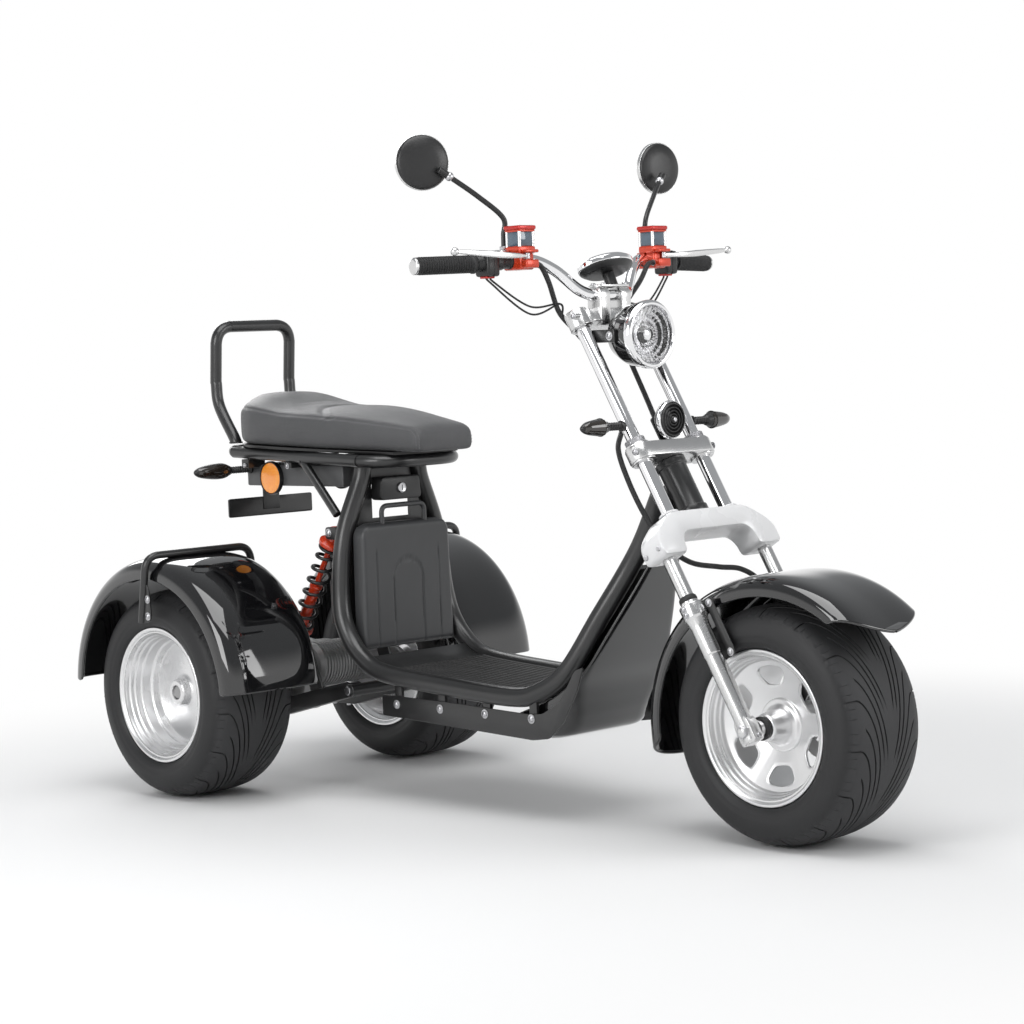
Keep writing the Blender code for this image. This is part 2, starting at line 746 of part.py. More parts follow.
def battery_pack():
    """Battery block behind the tower, with its moulded cover and carrying handle in front."""
    corner = 0.028
    low = COVER_BOTTOM
    high = COVER_TOP
    outline = [(-COVER_HALF - 0.003, low), (COVER_HALF + 0.003, low)]
    for side in (1, -1):
        for k in range(4):
            a = math.radians(90 * k / 3)
            if side == -1:
                a = math.radians(90) - a
            outline.append((side * (COVER_HALF - 0.002 - corner + corner * math.cos(a)),
                            high - corner + corner * math.sin(a)))
    x = COVER_BACK + COVER_DEPTH / 2
    pack = plate("battery_pack", outline, COVER_DEPTH, facing_forward(x), finish(*GREY_PLASTIC),
                 0.004)
    block = box("battery_block", (TOWER_X - 0.105, -BATTERY_HALF, BATTERY_BOTTOM),
                (COVER_BACK + 0.004, BATTERY_HALF, 0.540))
    front = x + COVER_DEPTH / 2
    arch_path = [(front, -0.040, 0.300), (front, -0.040, 0.440)]
    for k in range(1, 8):
        a = math.pi * k / 8
        arch_path.append((front, -0.040 * math.cos(a), 0.440 + 0.040 * math.sin(a)))
    arch_path += [(front, 0.040, 0.440), (front, 0.040, 0.300)]
    grooves = [as_mesh(tube("arch_groove", [place(*p) for p in arch_path], 0.0022, None, 0))]
    for side in (-1, 1):
        ends = [place(front, side * 0.085, 0.300), place(front, side * 0.085, 0.500)]
        grooves.append(as_mesh(tube("side_groove", ends, 0.0022, None, 0)))
    handle_x = x + 0.006
    legs = [place(handle_x, -0.058, high - 0.006), place(handle_x, -0.058, high + 0.034),
            place(handle_x, 0.058, high + 0.034), place(handle_x, 0.058, high - 0.006)]
    handle = as_mesh(tube("battery_handle", rounded_path(legs, 0.012, 3), 0.005, None, 2))
    join(pack, block, handle)
    cut(pack, *grooves)
    return pack


def battery_lock():
    """Key lock block on the tower above the cover."""
    face = TOWER_X + TOWER_THICKNESS / 2 + GAP
    item = box("battery_lock", (face, -0.056, 0.602), (face + 0.034, 0.056, 0.650),
               finish(*BLACK_PLASTIC), 0.004)
    barrel = turned("lock_barrel", [(0, 0.010), (0.009, 0.010), (0.011, 0.006), (0.011, -0.004),
                                    (0, -0.004)], 12)
    barrel.matrix_world = (Matrix.Translation(place(face + 0.034, 0, 0.626))
                           @ Matrix.Rotation(math.radians(90), 4, 'Y'))
    join(item, barrel)
    return item


# Seat

def ring_path():
    """Closed centre line of the seat ring."""
    corners = [(RING_REAR, -RING_HALF_WIDTH), (RING_FRONT, -RING_HALF_WIDTH),
               (RING_FRONT, RING_HALF_WIDTH), (RING_REAR, RING_HALF_WIDTH)]
    radii = (RING_REAR_CORNER, RING_FRONT_CORNER, RING_FRONT_CORNER, RING_REAR_CORNER)
    points = []
    for i, radius in enumerate(radii):
        triple = [(*corners[j % len(corners)], 0) for j in (i - 1, i, i + 1)]
        points += rounded_path(triple, radius, 5)[1:-1]
    return [place(p.x, p.y, ring_height(p.x)) for p in points]


def seat_frame():
    """Welded ring under the seat with its cross tube and the two slanted struts."""
    ring = as_mesh(tube("seat_frame", ring_path(), RING_RADIUS, None, 2, closed=True))
    ring.data.materials.append(finish(*BLACK_SATIN))
    x = 0.306
    cross = rod("ring_cross", place(x, -RING_HALF_WIDTH, ring_height(x)),
                place(x, RING_HALF_WIDTH, ring_height(x)), RING_RADIUS - 0.0007, 10)
    join(ring, cross)
    for side in (-1, 1):
        foot = Vector((0.2745, side * 0.1215, 0.5765))
        head = Vector((0.160, side * RING_HALF_WIDTH, ring_height(0.160)))
        strut = rod("seat_strut", place(*head), place(*foot), 0.009, 10)
        join(ring, strut)
    return ring


SEAT_PLAN = [  # x, half width, top, edge height
    (-0.122, 0.045, 0.806, 0.794), (-0.106, 0.068, 0.822, 0.804), (-0.082, 0.082, 0.830, 0.806),
    (-0.062, 0.086, 0.833, 0.807), (-0.045, 0.118, 0.834, 0.808), (-0.018, 0.136, 0.834, 0.808),
    (0.020, 0.145, 0.828, 0.806), (0.090, 0.144, 0.808, 0.796), (0.160, 0.140, 0.802, 0.790),
    (0.250, 0.130, 0.800, 0.784), (0.340, 0.112, 0.790, 0.774), (0.420, 0.095, 0.774, 0.764),
    (0.470, 0.085, 0.760, 0.756), (0.485, 0.078, 0.746, 0.744)]


def seat_base(x):
    """Height of the seat's underside."""
    return ring_height(x) + RING_RADIUS + PAN_THICKNESS + 3 * GAP


def seat():
    """Long padded seat with a raised rear, on a thin pan that rests on the ring."""
    sections = []
    for x, half, top, edge in SEAT_PLAN:
        base = seat_base(x)
        sections.append([place(x, y, z) for y, z in (
            (-half * 0.94, base), (half * 0.94, base), (half, base + 0.012), (half, edge - 0.012),
            (half * 0.93, edge), (half * 0.5, top - 0.002), (0, top), (-half * 0.5, top - 0.002),
            (-half * 0.93, edge), (-half, edge - 0.012), (-half, base + 0.012))])
    loft("seat", sections, finish(*LEATHER))
    rows = []
    for x, half, top, edge in SEAT_PLAN[3:-2]:
        inset = half - 0.006
        low = seat_base(x) - PAN_THICKNESS - GAP
        high = seat_base(x) - GAP
        rows.append([place(x, -inset, low), place(x, inset, low), place(x, inset, high),
                     place(x, -inset, high)])
    loft("seat_pan", rows, finish(*BLACK_PLASTIC))


GRAB_HALF = 0.101
GRAB_RADIUS = 0.0125


def grab_rail():
    """Tall hoop behind the seat."""
    foot = ring_height(-0.083) + RING_RADIUS + GAP + 0.004
    leg = [(-0.083, GRAB_HALF, foot), (-0.088, GRAB_HALF, 0.735), (-0.136, GRAB_HALF, 0.805),
           (-0.144, GRAB_HALF, 0.860)]
    curve = spline_points(leg, 7)
    side = [place(*p) for p in curve]
    arc = rounded_path([place(-0.144, GRAB_HALF, 0.860), place(-0.134, GRAB_HALF, 0.976),
                        place(-0.134, -GRAB_HALF, 0.976), place(-0.144, -GRAB_HALF, 0.860)],
                       0.042, 5)
    other = [Vector((p.x, -p.y, p.z)) for p in side[::-1]]
    return tube("grab_rail", side[:-1] + arc + other[1:], GRAB_RADIUS, finish(*BLACK_SATIN), 2)


# Tail

TAIL_REAR = -0.060
TAIL_FRONT = 0.262
TAIL_HALF = 0.092
TAIL_BOTTOM = 0.632
TAIL_TOP = 0.677
TAIL_HANGERS = ((-0.034, -0.011), (0.112, 0.135))


def tail():
    """Controller box under the seat with its lamp, reflectors, signals and plate bracket."""
    case = box("tail_box", (TAIL_REAR, -TAIL_HALF, TAIL_BOTTOM), (TAIL_FRONT, TAIL_HALF, TAIL_TOP),
               finish(*GREY_PLASTIC), 0.003)
    box("tail_lamp", (TAIL_REAR - 0.026, -0.055, 0.640), (TAIL_REAR - GAP, 0.055, 0.672),
        finish((0.5, 0.01, 0.01), 0.2), 0.006, 2)
    for side, word in ((-1, "right"), (1, "left")):
        turn = WHEEL_RIGHT if side == -1 else WHEEL_LEFT
        disc = turned("reflector_" + word, [(0, 0.010), (0.030, 0.010), (0.036, 0.006),
                                            (0.036, 0), (0, 0)], 24, finish(*AMBER))
        disc.matrix_world = (Matrix.Translation(place(0.030, side * (TAIL_HALF + GAP), 0.649))
                             @ turn)
        signal("rear_signal_" + word, place(TAIL_REAR + 0.012, side * (TAIL_HALF + GAP), 0.668), turn,
               0.150)
    back = TAIL_REAR - 0.040
    strip = box("bracket_strip", (back, -0.022, 0.575), (back + 0.003, 0.022, TAIL_BOTTOM + 0.002))
    shelf = box("bracket_shelf", (back, -0.022, TAIL_BOTTOM - 0.002),
                (TAIL_REAR + 0.040, 0.022, TAIL_BOTTOM + 0.001))
    board = box("plate_board", (back - 0.004, -0.115, 0.562), (back + 0.001, 0.115, 0.603))
    join(case, shelf, strip, board)
    for side in (-1, 1):
        for low, high in TAIL_HANGERS:
            top = ring_height(high) - RING_RADIUS - GAP
            near = side * (TAIL_HALF - 0.012)
            far = side * (RING_HALF_WIDTH + 0.006)
            hanger = box("tail_hanger", (low, min(near, far), TAIL_TOP - 0.005),
                         (high, max(near, far), top))
            join(case, hanger)


def signal(name, base, turn, length):
    """Slim turn signal: a flexible stalk, then a pointed lamp body."""
    body = 0.62 * length
    neck = length - body
    profile = [(0, length), (0.005, length - 0.003), (0.012, length - 0.018),
               (0.0165, length - 0.045), (0.0165, neck + 0.018), (0.010, neck), (0.0065, neck - 0.004),
               (0.0065, 0.006), (0.010, 0.004), (0.010, 0), (0, 0)]
    item = turned(name, profile, 12, finish(*BLACK_PLASTIC))
    item.matrix_world = Matrix.Translation(base) @ turn
    return item


# Rear axle, drive and suspension

AXLE_TUBE_RADIUS = 0.030
AXLE_TUBE_HALF = REAR_TRACK_HALF + REAR_HUB[3] - 0.0174
CASE_RADIUS = 0.072
MOTOR_OFFSET = Vector((0.082, 0, 0.030))
ARM_Y = 0.098


def drive_unit():
    """Axle tube with the differential case and motor can at its middle, and the wheel spindles."""
    tip = REAR_TRACK_HALF + REAR_HUB[2] - 0.004
    case = 0.062
    profile = [(0, tip), (SPINDLE_RADIUS, tip), (SPINDLE_RADIUS, AXLE_TUBE_HALF),
               (AXLE_TUBE_RADIUS, AXLE_TUBE_HALF), (AXLE_TUBE_RADIUS, case + 0.02),
               (CASE_RADIUS, case), (CASE_RADIUS, -case), (AXLE_TUBE_RADIUS, -case - 0.02),
               (AXLE_TUBE_RADIUS, -AXLE_TUBE_HALF), (SPINDLE_RADIUS, -AXLE_TUBE_HALF),
               (SPINDLE_RADIUS, -tip), (0, -tip)]
    item = turned("drive_unit", profile, 18, finish(*CAST))
    item.matrix_world = Matrix.Translation(rear_axle(0)) @ WHEEL_LEFT
    can = turned("motor_can", [(0, 0.070), (0.040, 0.070), (0.048, 0.060), (0.048, -0.052),
                               (0.040, -0.060), (0, -0.060)], 16)
    can.matrix_world = Matrix.Translation(rear_axle(0) + MOTOR_OFFSET) @ WHEEL_LEFT
    join(item, can)
    return item


def rear_subframe():
    """Trailing arms from the pivot tube back to saddles on the axle tube, with shock brackets."""
    pivot = Vector((0.283, 0, 0.212))
    item = rod("rear_subframe", place(pivot.x, -0.118, pivot.z), place(pivot.x, 0.118, pivot.z),
               0.013, 12, finish(*BLACK_SATIN))
    for side in (-1, 1):
        y = side * ARM_Y
        top = DRAWN_AXLES[0] - AXLE_TUBE_RADIUS - GAP
        outline = [(0.283, 0.226), (0.283, 0.198), (0.050, 0.142), (-0.030, 0.142), (-0.030, top),
                   (0.035, top), (0.060, 0.182)]
        matrix = Matrix.Translation(place(0, y, 0)) @ Matrix.Rotation(math.radians(90), 4, 'X')
        arm = plate("trailing_arm", outline, 0.026, matrix)
        ear_outline = [(0.150, 0.170), (0.190, 0.180), (0.135, 0.322), (0.105, 0.322)]
        ear_y = SHOCK_FOOT[1] - SHOCK_EYE - GAP - LUG_THICKNESS / 2
        ear = plate("shock_ear", ear_outline, LUG_THICKNESS,
                    Matrix.Translation(place(0, side * ear_y, 0))
                    @ Matrix.Rotation(math.radians(90), 4, 'X'))
        join(item, arm, ear)
    return item


SPRING_TURNS = 6.5
SPRING_RADIUS = 0.021
WIRE_RADIUS = 0.0034


def shock(side, word):
    """Damper with its two spring seats and the coil spring around it."""
    top = place(SHOCK_TOP[0], side * SHOCK_TOP[1], SHOCK_TOP[2])
    foot = place(SHOCK_FOOT[0], side * SHOCK_FOOT[1], SHOCK_FOOT[2])
    length = (top - foot).length
    up = (top - foot).normalized()
    seat = SPRING_RADIUS + WIRE_RADIUS + 0.002
    half = length / 2
    eye = SHOCK_EYE
    body = [(0, half), (eye, half), (eye, half - 0.018), (seat, half - 0.024),
            (seat, half - 0.034), (0.012, half - 0.036), (0.012, 0.036 - half),
            (seat, 0.034 - half), (seat, 0.024 - half), (eye, 0.018 - half), (eye, -half),
            (0, -half)]
    item = turned("shock_" + word, body, 12, finish(*RED))
    turn = up.to_track_quat('Z', 'Y').to_matrix().to_4x4()
    middle = Matrix.Translation((top + foot) / 2) @ turn
    item.matrix_world = middle
    reach = half - 0.0365
    count = int(SPRING_TURNS * 8)
    points = []
    for k in range(count + 1):
        t = k / count
        a = math.tau * SPRING_TURNS * t
        points.append(middle @ Vector((SPRING_RADIUS * math.cos(a), SPRING_RADIUS * math.sin(a),
                                       -reach + 2 * reach * t)))
    join(item, as_mesh(tube("spring_" + word, points, WIRE_RADIUS, None, 0)))


def suspension():
    drive_unit()
    rear_subframe()
    shock(-1, "right")
    shock(1, "left")


# Fenders

def fender_section(half, crown):
    """Across a fender: radius and y of the sheet's middle, from one lip to the other."""
    points = []
    for k in range(FENDER_COLUMNS + 1):
        t = -1 + 2 * k / FENDER_COLUMNS
        drop = abs(t) ** 4
        points.append((crown - 0.040 * drop, half * math.sin(t * math.pi / 2)
                       if abs(t) < 1 else half * t))
    return points


def rear_fender(side, word):
    """Wide domed fender over a rear wheel, a sheet swept about the axle."""
    centre = rear_axle(side * REAR_TRACK_HALF)
    bm = bmesh.new()
    rows = []
    for k in range(FENDER_ROWS + 1):
        a = FENDER_FIRST + (FENDER_LAST - FENDER_FIRST) * k / FENDER_ROWS
        row = []
        for radius, y in fender_section(REAR_FENDER_HALF, REAR_FENDER_RADIUS):
            row.append(bm.verts.new(centre + Vector((radius * math.cos(a), y, radius * math.sin(a)))))
        rows.append(row)
    for a, b in zip(rows, rows[1:]):
        for i in range(len(a) - 1):
            bm.faces.new((a[i], a[i + 1], b[i + 1], b[i]))
    item = add_part("rear_fender_" + word, mesh_from_bmesh("rear_fender_" + word, bm),
                    finish(*BLACK_GLOSS))
    shell = item.modifiers.new("sheet", 'SOLIDIFY')
    shell.thickness = FENDER_THICKNESS
    shell.offset = 0
    return item


def fender_guard(side, word):
    """Hoop over the fender, from the axle tube up over the crown and down beside a bolted plate."""
    inner = REAR_TRACK_HALF - REAR_FENDER_HALF - 0.020
    outer = REAR_TRACK_HALF + REAR_FENDER_HALF + 0.014
    crown = REAR_FENDER_RADIUS + FENDER_THICKNESS / 2
    angle = FENDER_FIRST + (FENDER_LAST - FENDER_FIRST) * GUARD_ROW / FENDER_ROWS
    ahead = crown * math.cos(angle)
    top = crown * math.sin(angle) + GUARD_RADIUS + GAP
    foot = AXLE_TUBE_RADIUS + GAP + 0.0006
    corners = [(0.0, inner, foot), (ahead, inner, 0.183), (ahead, inner, top), (ahead, outer, top),
               (0.005, outer, 0.155)]
    points = [rear_axle(side * y) + Vector((x, 0, z)) for x, y, z in corners]
    item = as_mesh(tube("fender_guard_" + word, rounded_path(points, 0.032, 4), GUARD_RADIUS,
                        finish(*BLACK_SATIN), 2))
    outline = [(0.003, 0.152), (0.034, 0.158), (0.040, 0.172), (0.036, 0.222), (0.026, 0.236)]
    upright = Matrix.Rotation(math.radians(90), 4, 'X')
    join(item, plate("guard_plate", outline, 0.003,
                     Matrix.Translation(rear_axle(side * outer)) @ upright))
    return item


FRONT_FENDER_FIRST = 36.8
FRONT_FENDER_LAST = 196.0


def front_fender():
    """Long fender with a pointed front lip, carried by stays on the sliders."""
    centre = front_axle_at(0)
    steps = 16
    bm = bmesh.new()
    rows = []
    for k in range(steps + 1):
        s = k / steps
        row = []
        for j in range(FENDER_COLUMNS + 1):
            t = -1 + 2 * j / FENDER_COLUMNS
            first = FRONT_FENDER_FIRST + 13 * abs(t) ** 1.4
            last = FRONT_FENDER_LAST - 6 * abs(t) ** 2
            a = math.radians(first + (last - first) * s)
            lift = 0.026 * max(0.0, 1 - s * 2.2) ** 1.5 + 0.016 * s * s
            crown = FRONT_FENDER_CROWN + lift
            radius = crown - 0.034 * abs(t) ** 4
            y = FRONT_FENDER_HALF * math.sin(t * math.pi / 2)
            row.append(bm.verts.new(centre + Vector((radius * math.cos(a), y, radius * math.sin(a)))))
        rows.append(row)
    for a, b in zip(rows, rows[1:]):
        for i in range(len(a) - 1):
            bm.faces.new((a[i], a[i + 1], b[i + 1], b[i]))
    item = add_part("front_fender", mesh_from_bmesh("front_fender", bm), finish(*BLACK_GLOSS))
    shell = item.modifiers.new("sheet", 'SOLIDIFY')
    shell.thickness = FENDER_THICKNESS
    shell.offset = 0
    return item


def fender_stays(fender):
    """Pads between the front fender's sides and the legs' collars, and the stays before the legs."""
    reach = LOWER_LEG_HALF - COLLAR_RADIUS - GAP
    edge = FRONT_FENDER_CROWN - 0.0235
    y = LOWER_LEG_HALF - 0.0140
    for side in (-1, 1):
        pad = fork_box("fender_pad", edge, side * (reach - 0.0046), 0, (0.024, 0.0092, 0.021))
        link = fork_box("stay_link", edge, side * (y - 0.0090), COLLAR_RADIUS + 0.008,
                        (0.012, 0.0170, 0.012))
        stay = fork_box("fender_stay", edge - 0.049, side * y, COLLAR_RADIUS + 0.008,
                        (0.018, 0.003, 0.116))
        foot = fork_box("stay_foot", edge - 0.098, side * y, COLLAR_RADIUS + 0.004,
                        (0.021, 0.004, 0.014))
        join(fender, pad, link, stay, foot)


def fenders():
    rear_fender(-1, "right")
    rear_fender(1, "left")
    fender_guard(-1, "right")
    fender_guard(1, "left")
    fender_stays(front_fender())


# Fork

def fork_part(name, low, high, y, profile, steps, material, out=0.0):
    """A turned piece along the fork between two distances from the front axle."""
    item = turned(name, profile, steps, material)
    item.matrix_world = Matrix.Translation(on_fork((low + high) / 2, y, out)) @ FORK_TURN
    return item


def caliper(leg):
    """Brake caliper around the disc, on a bracket from the left leg."""
    body = fork_box("brake_caliper", 0.066, DISC_Y + 0.0095, -0.038, (0.036, 0.047, 0.048))
    add_bevel(body, 0.004)
    half = DISC_THICKNESS / 2 + CALIPER_CLEARANCE
    room = rod("disc_room", front_axle_at(DISC_Y - half), front_axle_at(DISC_Y + half),
               DISC_RADIUS + CALIPER_CLEARANCE, 24)
    bracket = fork_box("caliper_bracket", 0.066, LOWER_LEG_HALF - 0.019, -0.018, (0.034, 0.020, 0.028))
    cut(body, room)
    join(leg, body, bracket)
    hide_cutter(body)


def fork_legs():
    """Chrome upper tubes, and lower legs that run into the sliders holding the axle."""
    for side, word in ((-1, "right"), (1, "left")):
        low = BRACE_TOP + GAP
        high = TOP_CLAMP_TOP + 0.004
        half = (high - low) / 2
        r = FORK_TUBE_RADIUS
        profile = [(0, half), (r - 0.002, half), (r, half - 0.002), (r, -half), (0, -half)]
        fork_part("fork_tube_" + word, low, high, side * UPPER_TUBE_HALF, profile, 16,
                  finish(*CHROME))
        low = -0.024
        high = BRACE_BOTTOM - GAP
        half = (high - low) / 2
        collar = FRONT_FENDER_CROWN - 0.036 - (low + high) / 2
        profile = [(0, half), (r, half), (r, collar + 0.026), (COLLAR_RADIUS - 0.002, collar + 0.026),
                   (COLLAR_RADIUS, collar + 0.023), (COLLAR_RADIUS, collar),
                   (SLIDER_RADIUS + 0.002, collar - 0.016), (SLIDER_RADIUS, -half + 0.004),
                   (SLIDER_RADIUS - 0.003, -half), (0, -half)]
        leg = fork_part("fork_leg_" + word, low, high, side * LOWER_LEG_HALF, profile, 16,
                        finish(*POLISHED))
        bore = rod("axle_bore", front_axle_at(side * 0.08), front_axle_at(side * 0.20),
                   AXLE_RADIUS + GAP, 12)
        if word == "left":
            caliper(leg)
        cut(leg, bore)


def front_axle():
    """Through axle with its spacers, held in the two sliders."""
    reach = LOWER_LEG_HALF + SLIDER_RADIUS + 0.006
    spacer = LOWER_LEG_HALF - SLIDER_RADIUS - 0.0008
    hub = -FRONT_HUB[3] + 0.006
    profile = [(0, reach), (AXLE_RADIUS, reach), (AXLE_RADIUS, spacer), (0.017, spacer),
               (0.017, hub), (AXLE_RADIUS, hub), (AXLE_RADIUS, -hub), (0.017, -hub),
               (0.017, -spacer), (AXLE_RADIUS, -spacer), (AXLE_RADIUS, -reach), (0, -reach)]
    item = turned("front_axle", profile, 12, finish(*CAST))
    item.matrix_world = Matrix.Translation(front_axle_at(0)) @ WHEEL_LEFT
    return item


def fork_plate(name, outline, thickness, out, material, bevel=0.0):
    """A plate in the fork's own plane, from y and height-up-the-fork pairs."""
    along = Vector((-math.sin(FORK_RAKE), 0, math.cos(FORK_RAKE)))
    ahead = Vector((math.cos(FORK_RAKE), 0, math.sin(FORK_RAKE)))
    side = Vector((0, 1, 0))
    origin = on_fork(0, 0, out)
    matrix = Matrix((
        (side.x, along.x, ahead.x, origin.x), (side.y, along.y, ahead.y, origin.y),
        (side.z, along.z, ahead.z, origin.z), (0, 0, 0, 1)))
    return plate(name, outline, thickness, matrix, material, bevel)


def lower_brace():
    """White arched clamp that carries the lower legs, with the steering stem rising from it."""
    w = LOWER_LEG_HALF + 0.030
    low = BRACE_BOTTOM
    high = BRACE_TOP
    right = [(w, low), (w, low + 0.034), (w - 0.012, low + 0.052), (w - 0.046, high - 0.008),
             (w - 0.064, high)]
    inside = [(-0.096, low), (-0.094, low + 0.026), (-0.080, low + 0.042), (0.080, low + 0.042),
              (0.094, low + 0.026), (0.096, low)]
    outline = right + [(-y, z) for y, z in reversed(right)] + inside
    item = fork_plate("lower_brace", outline, 0.058, -STEER_BACK / 3, finish(*WHITE), 0.006)
    stem_low = BRACE_TOP - 0.03
    stem_high = CLAMP_BOTTOM - GAP
    half = (stem_high - stem_low) / 2
    stem = fork_part("steering_stem", stem_low, stem_high, 0,
                     [(0, half), (STEM_RADIUS, half), (STEM_RADIUS, -half), (0, -half)], 20, None,
                     -STEER_BACK)
    join(item, stem)
    return item


def clamp(name, low, high, half_width, thickness, material, collar=0.0):
    """Flat clamp bridging both upper tubes, perhaps with a collar and a pinch bolt for each."""
    middle = (low + high) / 2
    outline = []
    ends = thickness / 2
    for side in (1, -1):
        for k in range(5):
            a = math.radians(-90 + 180 * k / 4)
            outline.append((side * (half_width - ends + ends * math.cos(a)),
                            side * ends * math.sin(a)))
    matrix = Matrix.Translation(on_fork(middle, 0, 0)) @ FORK_TURN @ Matrix.Rotation(
        math.radians(90), 4, 'Z')
    turned_outline = [(y, -x) for y, x in outline]
    item = plate(name, turned_outline, high - low, matrix, material, 0.003)
    end = UPPER_TUBE_HALF + collar
    for side in (-1, 1) if collar else ():
        join(item, rod("tube_collar", on_fork(low - 0.006, side * UPPER_TUBE_HALF),
                       on_fork(high + 0.002, side * UPPER_TUBE_HALF), collar, 16))
        join(item, rod("pinch_bolt", on_fork(middle, side * (end - 0.010), 0.014),
                       on_fork(middle, side * (end + 0.006), 0.014), 0.0055, 8))
    return item


def tube_holes(item, low, high):
    """Cut the through holes for both upper tubes, after the last piece is joined on."""
    right, left = (rod("tube_hole", on_fork(low - 0.02, side * UPPER_TUBE_HALF),
                       on_fork(high + 0.02, side * UPPER_TUBE_HALF), FORK_TUBE_RADIUS + GAP, 16)
                   for side in (-1, 1))
    join(right, left)
    cut(item, right)


def clamps():
    middle = clamp("middle_clamp", CLAMP_BOTTOM, CLAMP_TOP, UPPER_TUBE_HALF + 0.026, 0.052,
                   finish(*POLISHED))
    join(middle, fork_box("horn_strap", 0.598, 0, 0, (0.004, 0.024, 0.076)))
    tube_holes(middle, CLAMP_BOTTOM, CLAMP_TOP)
    top = clamp("top_clamp", TOP_CLAMP_BOTTOM, TOP_CLAMP_TOP, UPPER_TUBE_HALF - 0.004, 0.040,
                finish(*POLISHED), 0.0225)
    x, z = BAR_MIDDLE
    for side in (-1, 1):
        y = side * 0.028
        block = box("riser", (x - 0.020, y - 0.013, z - 0.060), (x + 0.020, y + 0.013, z + 0.018))
        join(top, block)
    bridge = box("riser_bridge", (x - 0.018, -0.040, z + 0.015), (x + 0.018, 0.040, z + 0.021))
    normal = Vector((-math.sin(DASH_TILT), 0, math.cos(DASH_TILT)))
    seat_point = place(*DASH_CENTRE) - normal * (DASH_DEPTH + GAP)
    post = rod("dash_post", seat_point - normal * 0.026, seat_point, 0.012, 10)
    join(top, bridge, post)
    cut(top, rod("bar_hole", place(x, -0.05, z), place(x, 0.05, z), BAR_RADIUS + 3 * GAP, 16))
    tube_holes(top, TOP_CLAMP_BOTTOM, TOP_CLAMP_TOP)


# Handlebar and controls

GRIP_RADIUS = 0.0165
GRIP_END = (0.855, 0.389, 1.059)
GRIP_INNER = (0.880, 0.268, 1.061)


def bar_points():
    """Half of the handlebar, from its clamped middle out to the grip's end."""
    x, z = BAR_MIDDLE
    return [(x, BAR_FLAT, z), (0.945, 0.068, 1.010), (0.924, 0.105, 1.046),
            (0.906, 0.148, 1.066), (0.893, 0.205, 1.063), GRIP_INNER, GRIP_END]


def handlebar():
    """Wide bar that dips to its clamps at the middle."""
    half = spline_points(bar_points(), 11)
    right = [place(p.x, -p.y, p.z) for p in half[::-1]]
    left = [place(p.x, p.y, p.z) for p in half]
    tube("handlebar", right + left, BAR_RADIUS, finish(*CHROME), 2)
    for side, word in ((-1, "right"), (1, "left")):
        inner = place(GRIP_INNER[0], side * GRIP_INNER[1], GRIP_INNER[2])
        outer = place(GRIP_END[0], side * GRIP_END[1], GRIP_END[2])
        length = (outer - inner).length
        bore = BAR_RADIUS + 0.0006
        cap = 0.005
        profile = [(0, length + cap), (GRIP_RADIUS - 0.002, length + cap),
                   (GRIP_RADIUS, length + 0.002), (GRIP_RADIUS, 0.004), (GRIP_RADIUS - 0.002, 0),
                   (bore, 0), (bore, length + GAP), (0, length + GAP)]
        item = turned("grip_" + word, profile, 16, finish(*RUBBER))
        turn = (outer - inner).normalized().to_track_quat('Z', 'Y').to_matrix().to_4x4()
        item.matrix_world = Matrix.Translation(inner) @ turn


def controls():
    """Brake perch with its fluid reservoir and switch block, and the lever, one set per side."""
    for side, word in ((-1, "right"), (1, "left")):
        inner = place(0.9030, side * 0.160, 1.0660)
        outer = place(0.8800, side * (GRIP_INNER[1] - 0.002), 1.0612)
        body = rod("control_" + word, inner, outer, BAR_RADIUS + 0.0045, 14, finish(*RED))
        y = side * 0.178
        perch = box("perch", (0.880, y - 0.0165, 1.0475), (0.9440, y + 0.0165, 1.0845))
        tank = box("reservoir", (0.892, y - 0.020, 1.079), (0.930, y + 0.020, 1.127), None, 0.005)
        lid = box("reservoir_lid", (0.889, y - 0.023, 1.121), (0.933, y + 0.023, 1.130), None, 0.004)
        y = side * 0.240
        switch = box("switch_block", (0.8665, y - 0.0155, 1.0365), (0.9055, y + 0.0155, 1.0825),
                     None, 0.004)
        boss_y = side * 0.190
        boss = box("mirror_boss", (0.872, boss_y - 0.010, 1.062), (0.886, boss_y + 0.010, 1.0842))
        join(body, perch, tank, lid, switch, boss)
        along = (outer - inner).normalized()
        hole = rod("bar_bore", inner - along * 0.03, outer + along * 0.03, BAR_RADIUS + 0.0014, 14)
        cut(body, hole)
        slot = box("lever_slot", (0.926, y - side * 0.062 - 0.020, 1.0667),
                   (0.960, y - side * 0.062 + 0.020, 1.0783))
        cut(body, slot)
        points = [(0.9319, side * 0.182, 1.0725), (0.945, side * 0.230, 1.073),
                  (0.944, side * 0.300, 1.077), (0.937, side * 0.366, 1.081)]
        lever = as_mesh(tube("lever_" + word, [place(*p) for p in spline_points(points, 9)], 0.0055,
                             finish(*POLISHED), 1))
        join(lever, ball("lever_ball", place(*points[-1]), 0.0085))


MIRROR_TURN = {"right": 24, "left": -6}


